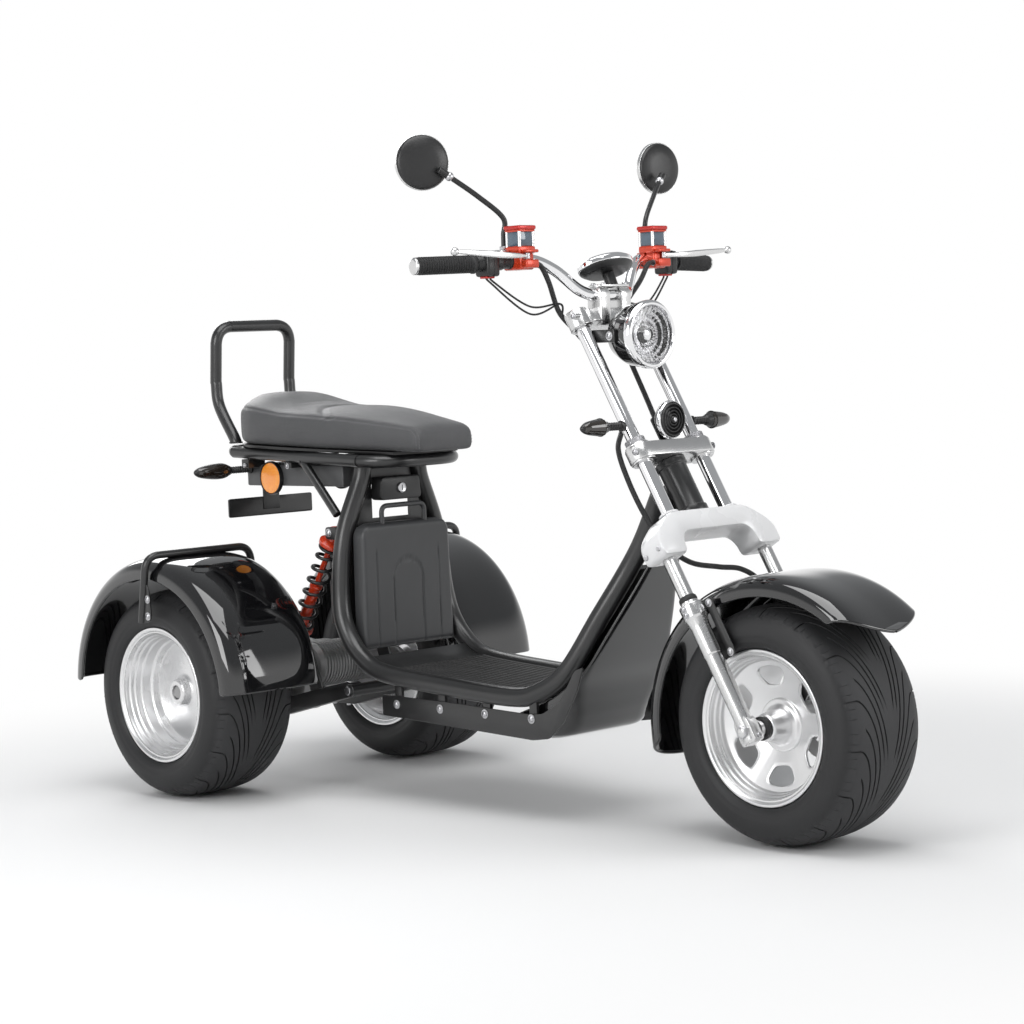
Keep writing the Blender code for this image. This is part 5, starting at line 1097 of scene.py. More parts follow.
plan = smooth_line(SEAT_PLAN, 46)
plan = plan[np.argsort(plan[:, 0])]
rings = []
for x, half, top, edge in plan:
    base = ring_line(x) + 0.0196 + 0.0008
    half, top, edge = half - 0.0045, top - 0.004, edge - 0.003
    ring = soft_ring([(-0.94 * half, base), (0.94 * half, base), (half, base + 0.012), (half, edge - 0.012),
                      (0.93 * half, edge), (0.5 * half, top - 0.002), (0, top), (-0.5 * half, top - 0.002),
                      (-0.93 * half, edge), (-half, edge - 0.012), (-half, base + 0.012)], 0.011)
    rings.append(np.concatenate([np.full((len(ring), 1), x), ring], 1))
leather = seat_leather()
foam = surface("seat_foam", np.array(rings) + at(0, 0, 0), leather, around=True, caps="flat", angle=180)
remesh = foam.modifiers.new("even", "REMESH")
remesh.mode = "VOXEL"
remesh.voxel_size = SEAT_VOXEL
shaped = bpy.data.meshes.new_from_object(foam.evaluated_get(bpy.context.evaluated_depsgraph_get()))
bpy.data.objects.remove(foam)
cushion = into_scene("seat_cushion", shaped)
spots = vectors_of(shaped)

edge_line = np.array([at(x, -0.955 * (half - 0.0045), edge - 0.0055)
                      for x, half, top, edge in plan if -0.112 < x < 0.474])[::-1]
front_drop = [at(0.4790, -0.0735, 0.7060), at(0.4800, -0.0740, 0.7200), at(0.4790, -0.0745, 0.7360)]
seam = np.concatenate([front_drop, edge_line])
seam = np.concatenate([seam, (seam * (1, -1, 1))[::-1]])
seam = smooth_line(seam, 420)
across = np.linspace(-1, 1, 60)
crease = at(0, 0, 0) + np.stack([0.150 + 0.105 * across ** 2, 0.126 * across,
                                 0.797 - 0.010 * across ** 2], -1)
swept, crossed = distance_to(seam, spots), distance_to(crease, spots)
bottom = spots[:, 2] - (ring_line(spots[:, 0] - rear_axle_x) + 0.0204)
held = (swept < 0.0055) | (crossed < 0.0045) | (bottom < 0.0060)
group = cushion.vertex_groups.new(name="held")
group.add(np.flatnonzero(held).tolist(), 1.0, "REPLACE")
cloth = cushion.modifiers.new("swell", "CLOTH")
cloth.settings.vertex_group_mass = "held"
cloth.settings.use_pressure = True
cloth.settings.uniform_pressure_force = 4.0
cloth.settings.quality = 6
cloth.settings.tension_stiffness = 12.0
cloth.settings.compression_stiffness = 12.0
cloth.settings.bending_stiffness = 2.0
cloth.settings.effector_weights.gravity = 0.0
cloth.collision_settings.use_collision = False
cloth.point_cache.frame_start = 1
cloth.point_cache.frame_end = 20
for step in range(1, 21):
    scene.frame_set(step)
swollen = bpy.data.meshes.new_from_object(
    cushion.evaluated_get(bpy.context.evaluated_depsgraph_get()))
travel = vectors_of(swollen) - spots
length = np.linalg.norm(travel, axis=1, keepdims=True)
spots = spots + travel * np.minimum(1, SEAT_SWELL / np.maximum(length, 1e-9))
cushion.modifiers.remove(cloth)
bpy.data.meshes.remove(swollen)
scene.frame_set(1)
cushion.vertex_groups.clear()

shaped.vertices.foreach_set("co", spots.ravel())
shaped.update()
shell = bmesh.new()
shell.from_mesh(shaped)
for step in range(4):
    bmesh.ops.smooth_vert(shell, verts=shell.verts, factor=0.5, use_axis_x=True, use_axis_y=True,
                          use_axis_z=True)
shell.to_mesh(shaped)
shell.free()
spots, normals = vectors_of(shaped), vectors_of(shaped, "normal")
path = nearest_on(seam, spots, normals)[0]
swept = distance_to(path, spots)
fold = nearest_on(crease, spots, normals)[0]
crossed, pinch = distance_to(fold, spots), distance_to(fold[[0, -1]], spots)
ripple = 0.0010 * np.exp(-(pinch / 0.022) ** 2) * np.sin(pinch * 900)
sink = 0.0026 * np.exp(-(swept / 0.0042) ** 2) + 0.0034 * np.exp(-(crossed / 0.0075) ** 2) + ripple
spots = spots - normals * sink[:, None]
shaped.vertices.foreach_set("co", spots.ravel())
shaped.materials.clear()
shaped.materials.append(leather)
shaped.shade_smooth()
shaped.update()
finer = cushion.modifiers.new("finer", "SUBSURF")
finer.levels = finer.render_levels = 1
settle(cushion, "chassis", "seat_leather", "seat")

thread = moulded("seat_thread", (0.14, 0.14, 0.145), 0.55)
path = read_off(path, np.arange(0.004, run_along(path)[-1] - 0.004, STITCH_PITCH))
path, seam_normal = nearest_on(path, spots, normals)
settle(stitch_rows("seat_stitches", path, seam_normal, (-STITCH_OFFSET, STITCH_OFFSET), thread),
       "chassis", "seat_leather")

inner = smooth_line(SEAT_PLAN[3:-2], 40)
rings = []
for x, half, top, edge in inner:
    high = ring_line(x) + 0.0127 + 0.0066
    low = high - 0.006
    ring = soft_ring([(-half + 0.006, high), (-half + 0.0075, low), (half - 0.0075, low),
                      (half - 0.006, high)], 0.0012, 3)
    rings.append(np.concatenate([np.full((len(ring), 1), x), ring], 1))
settle(surface("seat_pan_moulded", np.array(rings) + at(0, 0, 0), black_moulding, around=True,
               caps="flat"), "chassis", "black_plastic", "seat_pan")


# Seat ring and struts. Round steel tube bent into a closed loop under the pan, with one cross tube
# and two slanted struts welded to it, all in satin powder coat; weld beads show at the joints.
RING_TUBE = 0.0127
RING_HALF = 0.120


def weld_ring(place, axis, radius, finish):
    """A rippled weld bead round a tube's end."""
    angle = np.linspace(0, math.tau, 90, endpoint=False)
    axis = unit(axis)
    side = unit(np.cross(axis, (0.2, 0.9, 0.37)))
    line = np.asarray(place) + radius * (np.cos(angle)[:, None] * side
                                         + np.sin(angle)[:, None] * np.cross(axis, side))
    return tube("weld", line, 0.0017 + 0.0004 * np.sin(angle * 24), finish, 8, closed=True)


corners = np.array([(-0.098, RING_HALF), (-0.098, -RING_HALF), (0.417, -RING_HALF), (0.417, RING_HALF)])
loop = soft_ring(corners, [0.060, 0.060, 0.095, 0.095], 14)
loop = np.array([at(x, y, ring_line(x)) for x, y in loop])
loop = smooth_line(loop, 260, closed=True)
pieces = [tube("ring", loop, RING_TUBE, powder, 28, closed=True)]
x = 0.306
pieces.append(round_bar("cross", at(x, -RING_HALF + 0.004, ring_line(x)),
                        at(x, RING_HALF - 0.004, ring_line(x)), 0.0120, powder))
for side in (-1, 1):
    top = at(0.160, side * RING_HALF, ring_line(0.160))
    foot = at(0.2745, side * 0.1215, 0.5765)
    pieces.append(round_bar("strut", top, foot, 0.009, powder))
    way = unit(foot - top)
    pieces.append(weld_ring(top + way * 0.0140, way, 0.0094, powder))
    pieces.append(weld_ring(at(x, side * (RING_HALF - 0.0125), ring_line(x)), (0, 1, 0), 0.0122, powder))
settle(together("seat_ring_bent", *pieces), "chassis", "black_satin_paint", "seat_frame")


# Grab rail. One bar bent into a tall hoop behind the seat, set back above the tail, its feet welded
# to the seat ring.
foot = ring_line(-0.083) + RING_TUBE + 0.0045
side_points = np.array([(-0.083, 0.101, foot), (-0.088, 0.101, 0.735), (-0.136, 0.101, 0.805),
                        (-0.144, 0.101, 0.860)])
rise = smooth_line(side_points, 40)[:-1]
bend = soft_corners([(-0.144, 0.101, 0.860), (-0.134, 0.101, 0.976), (-0.134, -0.101, 0.976),
                     (-0.144, -0.101, 0.860)], 0.042, 16)
rail = np.concatenate([rise, bend, (rise * (1, -1, 1))[::-1]]) + at(0, 0, 0)
rail = smooth_line(rail, 200)
pieces = [tube("hoop", rail, 0.0125, powder, 28)]
for side in (-1, 1):
    pieces.append(weld_ring(at(-0.083, side * 0.101, foot + 0.0012), (0, 0, 1), 0.0128, powder))
settle(together("grab_rail_bent", *pieces), "chassis", "black_satin_paint", "grab_rail")


# Tail. A grey moulded box for the motor's controller hangs from the seat ring on four powder-coated
# hangers. It carries a ribbed red lamp, a round faceted reflector on each side, slim signals on
# ribbed rubber necks, and a flat strip with a bare plate bracket.
tail_grey = moulded("tail_grey", (0.085, 0.086, 0.088), 0.42)


def ribbed_lens(name, shade, across_axis, pitch, glow):
    """Clear moulded lens in one colour, with fine optic ribs across an axis, painted highlight and painted
    shade striped along the ribs, and a soft inner glow.
    """
    material, shader, place = new_finish(name)
    parts = place.node("ShaderNodeSeparateXYZ", {}, {0: place})
    along = Signal(parts.socket.node.outputs[across_axis])
    ribs = (along * (math.tau / pitch)).sine()
    cloud = place.noise(60.0, 3.0)
    # The stripes that follow the ribs are painted highlight and painted shade; the cloud is random tone.
    feed(shader, Base_Color=(ribs * 0.25 + cloud * 0.5 + 0.2).blend(tuple(0.55 * v for v in shade), shade),
         Roughness=cloud * 0.06 + 0.06, Coat_Weight=1.0, Coat_Roughness=0.02, Emission_Color=shade,
         Emission_Strength=glow, Normal=ribs.bump(0.0005))
    return material


def faceted_amber():
    """Amber reflector glass: small prisms behind a smooth face, each painted a lighter or darker amber as a
    painted glint, with a faint painted glow.
    """
    material, shader, place = new_finish("faceted_amber")
    prism_cells = place.node("ShaderNodeTexVoronoi", {"feature": "F1"}, {"Vector": place, "Scale": 300.0,
                                                                        "Randomness": 0.25})
    cloud = place.noise(90.0, 3.0)
    # Each prism cell's lighter or darker amber is a painted glint, and the emission is a painted glow; the
    # cloud is random tone.
    feed(shader, Base_Color=(prism_cells * 0.8 + cloud * 0.3).blend((0.85, 0.20, 0.01), (1.0, 0.42, 0.04)),
         Roughness=cloud * 0.08 + 0.08, Coat_Weight=1.0, Coat_Roughness=0.02,
         Emission_Color=(1.0, 0.28, 0.01), Emission_Strength=0.22,
         Normal=prism_cells.bump(0.0012))
    return material


def smoked_lens():
    """Dark smoked lens of the signals, with a deep shine."""
    material, shader, place = new_finish("smoked_lens")
    cloud = place.noise(40.0, 3.0)
    feed(shader, Base_Color=cloud.blend((0.006, 0.005, 0.004), (0.020, 0.013, 0.008)),
         Roughness=cloud * 0.05 + 0.05, Coat_Weight=1.0, Coat_Roughness=0.03)
    return material


smoked = smoked_lens()


def turn_signal(name, base, side, length):
    """A slim signal: ribbed rubber neck, a drop-shaped body, and a smoked lens along its front."""
    neck = 0.38 * length
    ribs = np.linspace(0.006, neck - 0.004, 60)
    stalk = np.concatenate([[(0.0, 0.0), (0.0, 0.0100), (0.004, 0.0100), (0.0055, 0.0072)],
                            np.stack([ribs, 0.0066 + 0.0012 * np.sin(ribs * math.tau / 0.0062)], -1),
                            [(neck - 0.002, 0.0085), (neck, 0.0100)]])
    drop = smooth_line([(neck, 0.0100), (neck + 0.018, 0.0163), (length - 0.050, 0.0166),
                        (length - 0.018, 0.0120), (length - 0.004, 0.0058), (length, 0.0)], 44)
    drop[-1, 1] = 0.0
    body = turned("body", np.concatenate([stalk, drop]), base, (0, side, 0), black_moulding, 40)
    lens_line = drop[6:-5] + (0, 0.0009)
    lens_line = np.concatenate([[(lens_line[0, 0], lens_line[0, 1] - 0.003)], lens_line,
                                [(lens_line[-1, 0], lens_line[-1, 1] - 0.003)]])
    angle = np.linspace(-0.9, 0.9, 24)
    ring = np.stack([np.cos(angle), 0 * angle, np.sin(angle)], -1)
    outer = (np.asarray(base) + lens_line[:, None, :1] * np.array((0, side, 0))
             + lens_line[:, None, 1:] * ring[None])
    inner = outer - 0.0022 * ring[None]
    lens = surface("lens", np.concatenate([outer, inner[:, ::-1]], 1), smoked, around=True, caps="flat")
    return together(name, body, lens)


box_low, box_high = at(-0.0600, -0.092, 0.632), at(0.262, 0.092, 0.677)
pieces = [block("box", box_low, box_high, tail_grey, 0.0032),
          block("lid", box_low + (0.006, 0.004, 0.0435), box_high + (-0.006, -0.004, 0.0012),
                tail_grey, 0.0015),
          block("strip", at(-0.100, -0.022, 0.575), at(-0.097, 0.022, 0.634), powder, 0.0008),
          block("shelf", at(-0.100, -0.022, 0.6300), at(-0.020, 0.022, 0.6328), powder, 0.0008),
          prism("board", [(-0.115, 0.562), (0.115, 0.562), (0.115, 0.603), (-0.115, 0.603)], -0.104, -0.099,
                powder, 0.0010, 0.005, ((0, 1, 0), (0, 0, 1), (1, 0, 0), at(0, 0, 0)))]
for y in (-0.095, -0.040, 0.040, 0.095):
    pieces.append(dome_bolt("plate_bolt", at(-0.1042, y, 0.5935), (-1, 0, 0), steel, 0.0036))
for side in (-1, 1):
    for low_x, high_x in ((-0.034, -0.011), (0.112, 0.135)):
        top = ring_line(high_x) - RING_TUBE - 0.0004
        pieces.append(block("hanger", at(low_x, side * 0.080, 0.672), at(high_x, side * 0.126, top),
                            powder, 0.0012))
        pieces.append(dome_bolt("hanger_bolt", at((low_x + high_x) / 2, side * 0.1262, 0.6765),
                                (0, side, 0), steel, 0.0040))
settle(together("tail_box_dressed", *pieces), "chassis", "grey_plastic", "tail_box")

lamp_red = ribbed_lens("lamp_red", (0.62, 0.012, 0.008), "Y", 0.0042, 0.12)
settle(together("tail_lamp_lens",
                block("lens", at(-0.0860, -0.0545, 0.6405), at(-0.0660, 0.0545, 0.6715), lamp_red, 0.0050),
                block("lamp_base", at(-0.0680, -0.0550, 0.6400), at(-0.0604, 0.0550, 0.6720),
                      black_moulding, 0.0010)),
       "chassis", "red_lens", "tail_lamp")

amber = faceted_amber()
for side, word in SIDES:
    spot = at(0.030, side * 0.0926, 0.649)
    rim = turned("rim", [(0.0, 0.0), (0.0, 0.0358), (0.0065, 0.0360), (0.0090, 0.0352), (0.0092, 0.0335),
                         (0.0070, 0.0322), (0.0040, 0.0318), (0.0040, 0.0)], spot, (0, side, 0),
                 black_moulding, 64)
    domed = np.linspace(0.0320, 0.0, 14)
    glass = np.stack([0.0078 + 0.0022 * (1 - (domed / 0.0320) ** 2), domed], -1)
    glass = np.concatenate([[(0.0042, 0.0), (0.0042, 0.0320)], glass])
    face = turned("glass", glass, spot, (0, side, 0), amber, 64)
    settle(together("reflector_amber_" + word, rim, face), "chassis", "amber_lens", "reflector_" + word)
    settle(turn_signal("rear_signal_slim_" + word, at(-0.048, side * 0.0926, 0.668), side, 0.150),
           "chassis", "black_plastic", "rear_signal_" + word)


# Drive unit. A cast axle housing with its round gear case and the motor beside it. The castings are
# bare grey alloy with bolted joints, an end cover and cooling ribs round the motor.
def cast_alloy():
    """Bare sand-cast alloy: a fine pitted skin, darker in its hollows, with faint grime."""
    shade, rough = 0.46, 0.44
    material, shader, place = new_finish("cast_alloy")
    cloud = place.noise(20.0, 5.0, 0.65)
    pits = place.noise(420.0, 4.0, 0.7)
    feed(shader, Base_Color=(cloud * 0.8 + pits * 0.2).blend((shade * 0.5,) * 3, (shade * 1.2,) * 3),
         Metallic=0.85, Roughness=cloud * 0.2 + (rough - 0.08), Normal=pits.bump(0.0003))
    return material


cast = cast_alloy()
axle_spot = at(0, 0, axle_height)
axle_line = [(-0.3474, 0.0), (-0.3474, 0.0125), (-0.3455, 0.0140), (-0.2625, 0.0140), (-0.2622, 0.0300),
             (-0.2560, 0.0330), (-0.2500, 0.0330), (-0.2480, 0.0300), (-0.100, 0.0300), (-0.082, 0.0330),
             (-0.0665, 0.0640), (-0.0620, 0.0700), (-0.0100, 0.0720), (-0.0095, 0.0775), (0.0095, 0.0775),
             (0.0100, 0.0720)]
axle_line = np.array(axle_line)
mirrored = (axle_line * (-1, 1))[::-1]
housing = turned("housing", soft_corners(np.concatenate([axle_line, mirrored]), 0.0012, 3), axle_spot,
                 (0, 1, 0), cast, 72)
fins = []
for y in np.arange(-0.044, 0.058, 0.0078):
    fins += [(y, 0.0455), (y + 0.0004, 0.0485), (y + 0.0030, 0.0485), (y + 0.0034, 0.0455)]
motor = turned("motor", [(-0.060, 0.0), (-0.060, 0.040), (-0.052, 0.0478)] + fins
               + [(0.060, 0.0478), (0.070, 0.040), (0.070, 0.0)], axle_spot + (0.082, 0, 0.030),
               (0, 1, 0), cast, 64)
turns = np.linspace(0, math.tau, 10, endpoint=False) + 0.25
bolts = [round_bar("case_bolt", axle_spot + (0.0715 * math.cos(a), -0.0135, 0.0715 * math.sin(a)),
                   axle_spot + (0.0715 * math.cos(a), 0.0135, 0.0715 * math.sin(a)), 0.0042, steel, 6,
                   0.0006) for a in turns]
cover = turned("end_cover", [(-0.0612, 0.0), (-0.0655, 0.0), (-0.0655, 0.0180), (-0.0640, 0.0200),
                             (-0.0600, 0.0200)], axle_spot + (0.082, 0, 0.030), (0, 1, 0), steel, 40)
settle(together("drive_unit_cast", housing, motor, cover, *bolts), "chassis", "cast_alloy", "drive_unit")


# Rear subframe. Two box-section trailing arms swing from the pivot tube back to saddles on the axle
# housing, each with an upright ear for a shock's foot. Plate steel in the frame's powder coat.
pieces = [round_bar("pivot", at(0.283, -0.118, 0.212), at(0.283, 0.118, 0.212), 0.013, powder)]
ARM = [(0.288, 0.226), (0.288, 0.198), (0.270, 0.196), (0.050, 0.142), (-0.030, 0.142), (-0.030, 0.1865),
       (0.035, 0.1865), (0.060, 0.182), (0.270, 0.230)]
EAR = [(0.150, 0.172), (0.190, 0.184), (0.137, 0.318), (0.128, 0.3235), (0.110, 0.3235), (0.103, 0.314)]
for side in (-1, 1):
    pieces.append(prism("arm", ARM, 0.085, 0.111, powder, 0.0025, 0.007, flank(side, at(0, 0, 0))))
    pieces.append(prism("ear", EAR, 0.0997, 0.1066, powder, 0.0010, 0.008, flank(side, at(0, 0, 0))))
    for x in (-0.022, 0.026):
        pieces.append(round_bar("saddle_bolt", at(x, side * 0.0915, 0.1380), at(x, side * 0.0915, 0.1425),
                                0.0050, steel, 6, 0.0008))
    pieces.append(round_bar("pivot_nut", at(0.283, side * 0.1178, 0.212), at(0.283, side * 0.1245, 0.212),
                            0.0095, steel, 6, 0.0010))
settle(together("rear_subframe_welded", *pieces), "chassis", "black_satin_paint", "rear_subframe")


# Shocks. A red painted damper in a black coil spring on each side, between the frame's lug and the
# ear on the arm. The spring's ends sit on stepped seats, and the eyes hold black rubber bushes.
SPRING_TURNS = 6.5
SPRING_RADIUS = 0.0210
WIRE = 0.0036


def red_paint(name, shade, metal):
    """Bright red-orange coat with a slight orange peel; metal is how much of it is dyed metal."""
    material, shader, place = new_finish(name)
    cloud = place.noise(26.0, 4.0, 0.6)
    feed(shader, Base_Color=cloud.blend(tuple(0.82 * v for v in shade), shade), Metallic=metal,
         Roughness=cloud * 0.14 + 0.22, Coat_Weight=0.5, Coat_Roughness=0.1,
         Normal=place.noise(380.0, 2.0).bump(0.00004))
    return material


spring_red = red_paint("spring_red", (0.62, 0.045, 0.012), 0.0)
for side, word in SIDES:
    foot, top = at(0.118, side * 0.118, 0.312), at(0.262, side * 0.118, 0.540)
    way = unit(top - foot)
    length = np.linalg.norm(top - foot)
    seat = SPRING_RADIUS + WIRE + 0.0018
    lower = soft_corners([(0.012, 0.0), (0.012, 0.0100), (0.019, 0.0105), (0.024, seat), (0.032, seat),
                          (0.0345, 0.0190), (0.0365, 0.0170), (0.0368, 0.0118), (0.130, 0.0118),
                          (0.132, 0.0138), (0.138, 0.0138), (0.140, 0.0)], 0.0010, 3)
    upper = soft_corners([(0.136, 0.0), (0.136, 0.0062), (length - 0.0368, 0.0062),
                          (length - 0.0365, 0.0170), (length - 0.0345, 0.0190), (length - 0.032, seat),
                          (length - 0.024, seat), (length - 0.019, 0.0105), (length - 0.012, 0.0100),
                          (length - 0.012, 0.0)], 0.0010, 3)
    pieces = [turned("damper", lower, foot, way, spring_red, 48),
              turned("cap", upper, foot, way, spring_red, 48)]
    eye = soft_ring([(-0.0100, 0.0062), (-0.0100, 0.0128), (0.0100, 0.0128), (0.0100, 0.0062)], 0.001, 3)
    for spot in (foot, top):
        pieces.append(turned("eye", eye, spot, (0, 1, 0), spring_red, 36, True))
        pieces.append(round_bar("bush", spot - (0, 0.0108, 0), spot + (0, 0.0108, 0), 0.0066,
                                black_moulding))
        pieces.append(round_bar("eye_bolt", spot + (0, side * 0.0105, 0), spot + (0, side * 0.0145, 0),
                                0.0078, steel, 6, 0.0010))
    share = np.linspace(0, 1, 270)
    turn = math.tau * (SPRING_TURNS + 1.0) * share
    spread = np.clip((share - 0.07) / 0.86, 0, 1)
    reach = 0.0370 + 0.002 + (length - 0.0780) * spread
    side_way = unit(np.cross(way, (0, 1, 0)))
    coil = (foot + reach[:, None] * way + SPRING_RADIUS * (np.cos(turn)[:, None] * side_way
                                                         + np.sin(turn)[:, None] * np.cross(way, side_way)))
    pieces.append(tube("coil", coil, WIRE, black_moulding, 12))
    settle(together("shock_sprung_" + word, *pieces), "chassis", "red_paint", "shock_" + word)


# Fork. Two bright chrome tubes above the white brace; below it, satin alloy sliders with a wide
# collar, a stepped top, a flat clamp with a pinch bolt at the axle, and black seals. The left one
# carries the front brake's caliper.
def bright_chrome():
    """Chrome plate: nearly a mirror, with the faintest cloudy haze and polishing marks."""
    material, shader, place = new_finish("bright_chrome")
    haze = place.noise(12.0, 4.0, 0.6)
    marks = place.noise(5.0, 3.0, 0.6, (60.0, 60.0, 2.0))
    feed(shader, Base_Color=haze.blend((0.80, 0.80, 0.81), (0.90, 0.90, 0.91)), Metallic=1.0,
         Roughness=haze * 0.05 + marks * 0.03 + 0.03)
    return material


def satin_alloy(name="satin_alloy", shade=0.74, rough=0.26):
    """Polished and lightly brushed alloy, duller where hands and dirt have been."""
    material, shader, place = new_finish(name)
    cloud = place.noise(16.0, 5.0, 0.6)
    brushed = place.noise(60.0, 4.0, 0.7, (9.0, 9.0, 1.0))
    feed(shader, Base_Color=cloud.blend((shade * 0.85,) * 3, (shade,) * 3), Metallic=1.0,
         Roughness=cloud * 0.12 + brushed * 0.08 + (rough - 0.1), Normal=brushed.bump(0.00005))
    return material


chrome = bright_chrome()
satin = satin_alloy()
seal_rubber = moulded("seal_rubber", (0.014, 0.014, 0.014), 0.55)
TUBE_APART = 0.079
LEG_APART = 0.129
for side, word in SIDES:
    line = soft_corners([(0.4303, 0.0), (0.4303, 0.0135), (0.8695, 0.0135), (0.8700, 0.0)], 0.0016, 4)
    settle(turned("fork_tube_chromed_" + word, line, fork_point(0, side * TUBE_APART), FORK_UP, chrome, 48),
           "steering", "chrome", "fork_tube_" + word)
    leg_line = soft_corners([(-0.0238, 0.0), (-0.0238, 0.0125), (-0.0210, 0.0148), (-0.0180, 0.0162),
                             (0.150, 0.0166), (0.152, 0.0178), (0.2080, 0.0180), (0.2230, 0.0205),
                             (0.2262, 0.0225), (0.2500, 0.0225), (0.2520, 0.0205), (0.2522, 0.0165),
                             (0.2620, 0.0165), (0.2640, 0.0135), (0.3446, 0.0135), (0.3446, 0.0)],
                            0.0010, 3)
    leg_seal = soft_ring([(0.2524, 0.0136), (0.2524, 0.0158), (0.2610, 0.0172), (0.2650, 0.0164),
                          (0.2680, 0.0142), (0.2680, 0.0136)], 0.0006, 3)
    clamp = [(-0.0185, -0.0236), (0.0185, -0.0236), (0.0185, 0.016), (0.012, 0.026),
             (-0.012, 0.026), (-0.0185, 0.016)]
    pieces = [turned("slider", leg_line, fork_point(0, side * LEG_APART), FORK_UP, satin, 56),
              turned("seal", leg_seal, fork_point(0, side * LEG_APART), FORK_UP, seal_rubber, 48, True),
              prism("axle_clamp", clamp, -0.0120, 0.0120, satin, 0.0020, 0.006,
                    (FORK_OUT, FORK_UP, (0, side, 0), fork_point(0, side * LEG_APART))),
              round_bar("pinch_bolt", fork_point(-0.0165, side * LEG_APART, 0.0182),
                        fork_point(-0.0165, side * LEG_APART, 0.0222), 0.0046, steel, 24, 0.0010)]
    for up in (0.2440, 0.2320):
        pieces.append(dome_bolt("collar_bolt", fork_point(up, side * (LEG_APART + 0.0218)), (0, side, 0),
                                steel, 0.0046))
    if word == "left":
        wall = [(-0.0555, 0.0425), (-0.0205, 0.0425), (-0.0205, 0.0895), (-0.0555, 0.0895)]
        arch = [(-0.0550, 0.0752), (-0.0480, 0.0752), (-0.0420, 0.0790), (-0.0240, 0.0880),
                (-0.0250, 0.0890), (-0.0550, 0.0890)]
        bracket = [(-0.0320, 0.0500), (-0.0050, 0.0500), (-0.0050, 0.0820), (-0.0320, 0.0820)]
        across_fork = (FORK_OUT, FORK_UP, (0, 1, 0), fork_point(0, 0))
        for name, line, low_y, high_y, finish, soft, corner in (
                ("caliper_outer", wall, 0.0880, 0.1125, cast, 0.0040, 0.008),
                ("caliper_inner", wall, 0.0665, 0.0722, cast, 0.0025, 0.008),
                ("caliper_back", arch, 0.0700, 0.0900, cast, 0.0015, 0.002),
                ("bracket", bracket, 0.1000, 0.1195, satin, 0.0015, 0.006)):
            pieces.append(prism(name, line, low_y, high_y, finish, soft, corner, across_fork))
        for up in (0.0530, 0.0790):
            pieces.append(round_bar("caliper_bolt", fork_point(up, 0.1120, -0.0400),
                                    fork_point(up, 0.1170, -0.0400), 0.0055, steel, 6, 0.0010))
    settle(together("fork_leg_" + word + "_slider", *pieces), "steering", "polished_alloy",
           "fork_leg_" + word)

spindle = [(-0.1512, 0.0), (-0.1512, 0.0070), (-0.1500, 0.0085), (-0.1410, 0.0085), (-0.1122, 0.0085),
           (-0.1120, 0.0170), (-0.0945, 0.0170), (-0.0940, 0.0085)]
spindle = np.array(spindle)
bar = turned("spindle", np.concatenate([spindle, (spindle * (-1, 1))[::-1]]), front_centre, (0, 1, 0),
             satin, 40)
nuts = [round_bar("axle_nut", front_centre + (0, side * 0.1418, 0), front_centre + (0, side * 0.1500, 0),
                  0.0125, steel, 6, 0.0012) for side in (-1, 1)]
hub_seal = soft_ring([(0.0942, 0.0171), (0.0942, 0.0215), (0.0990, 0.0215), (0.1010, 0.0190),
                      (0.1010, 0.0171)], 0.0006, 3)
seals = [turned("hub_seal", hub_seal, front_centre, (0, side, 0), seal_rubber, 48, True)
         for side in (-1, 1)]
settle(together("front_axle_turned", bar, *nuts, *seals), "steering", "cast_alloy", "front_axle")


# Front brake disc. A thin steel ring with slots, riveted to the hub's left; it turns with the wheel.
disc_steel = satin_alloy("disc_steel", 0.50, 0.34)
angle = np.linspace(0, math.tau, 240, endpoint=False)
outer = 0.0790 + 0.0010 * np.tanh(4 * np.cos(angle * 10))
inner = 0.0500 + 0.0016 * np.tanh(3 * np.cos(angle * 10 + 0.6))
rim_ring = np.stack([inner, inner, outer, outer])[..., None]
depth = np.array([-0.0015, 0.0015, 0.0015, -0.0015])[:, None]
ring = np.stack([front_centre[0] + rim_ring[..., 0] * np.cos(angle),
                 front_centre[1] + 0.0800 + depth + 0 * angle,
                 front_centre[2] + rim_ring[..., 0] * np.sin(angle)], -1)
turns = np.linspace(0, math.tau, 5, endpoint=False)
arm = [(-0.010, 0.030), (0.010, 0.030), (0.007, 0.054), (-0.007, 0.054)]
carrier = [prism("arm", arm, 0.0786, 0.0814, disc_steel, 0.0004, 0.002,
                 ((math.cos(a), 0, math.sin(a)), (-math.sin(a), 0, math.cos(a)), (0, 1, 0),
                  front_centre * (1, 0, 1))) for a in turns]
rivets = [round_bar("rivet", front_centre + (0.0505 * -math.sin(a), 0.0780, 0.0505 * math.cos(a)),
                    front_centre + (0.0505 * -math.sin(a), 0.0822, 0.0505 * math.cos(a)),
                    0.0032, steel, 16, 0.0006) for a in turns]
settle(together("brake_disc_slotted", surface("ring", ring, disc_steel, around=True, along=True),
                *carrier, *rivets), "front_wheel", "polished_alloy")


# White brace and its stem. One thick casting bridges the tyre and clamps both legs; its underside is
# hollowed and its shoulders slope. The polished stem rises from it through the neck.
def white_enamel():
    """White stove enamel over a casting, faintly uneven, with a soft gloss."""
    material, shader, place = new_finish("white_enamel")
    cloud = place.noise(8.0, 4.0, 0.6)
    feed(shader, Base_Color=cloud.blend((0.70, 0.70, 0.71), (0.80, 0.80, 0.80)),
         Roughness=cloud * 0.14 + 0.2, Coat_Weight=0.6, Coat_Roughness=0.12,
         Normal=place.noise(90.0, 3.0).bump(0.00025))
    return material


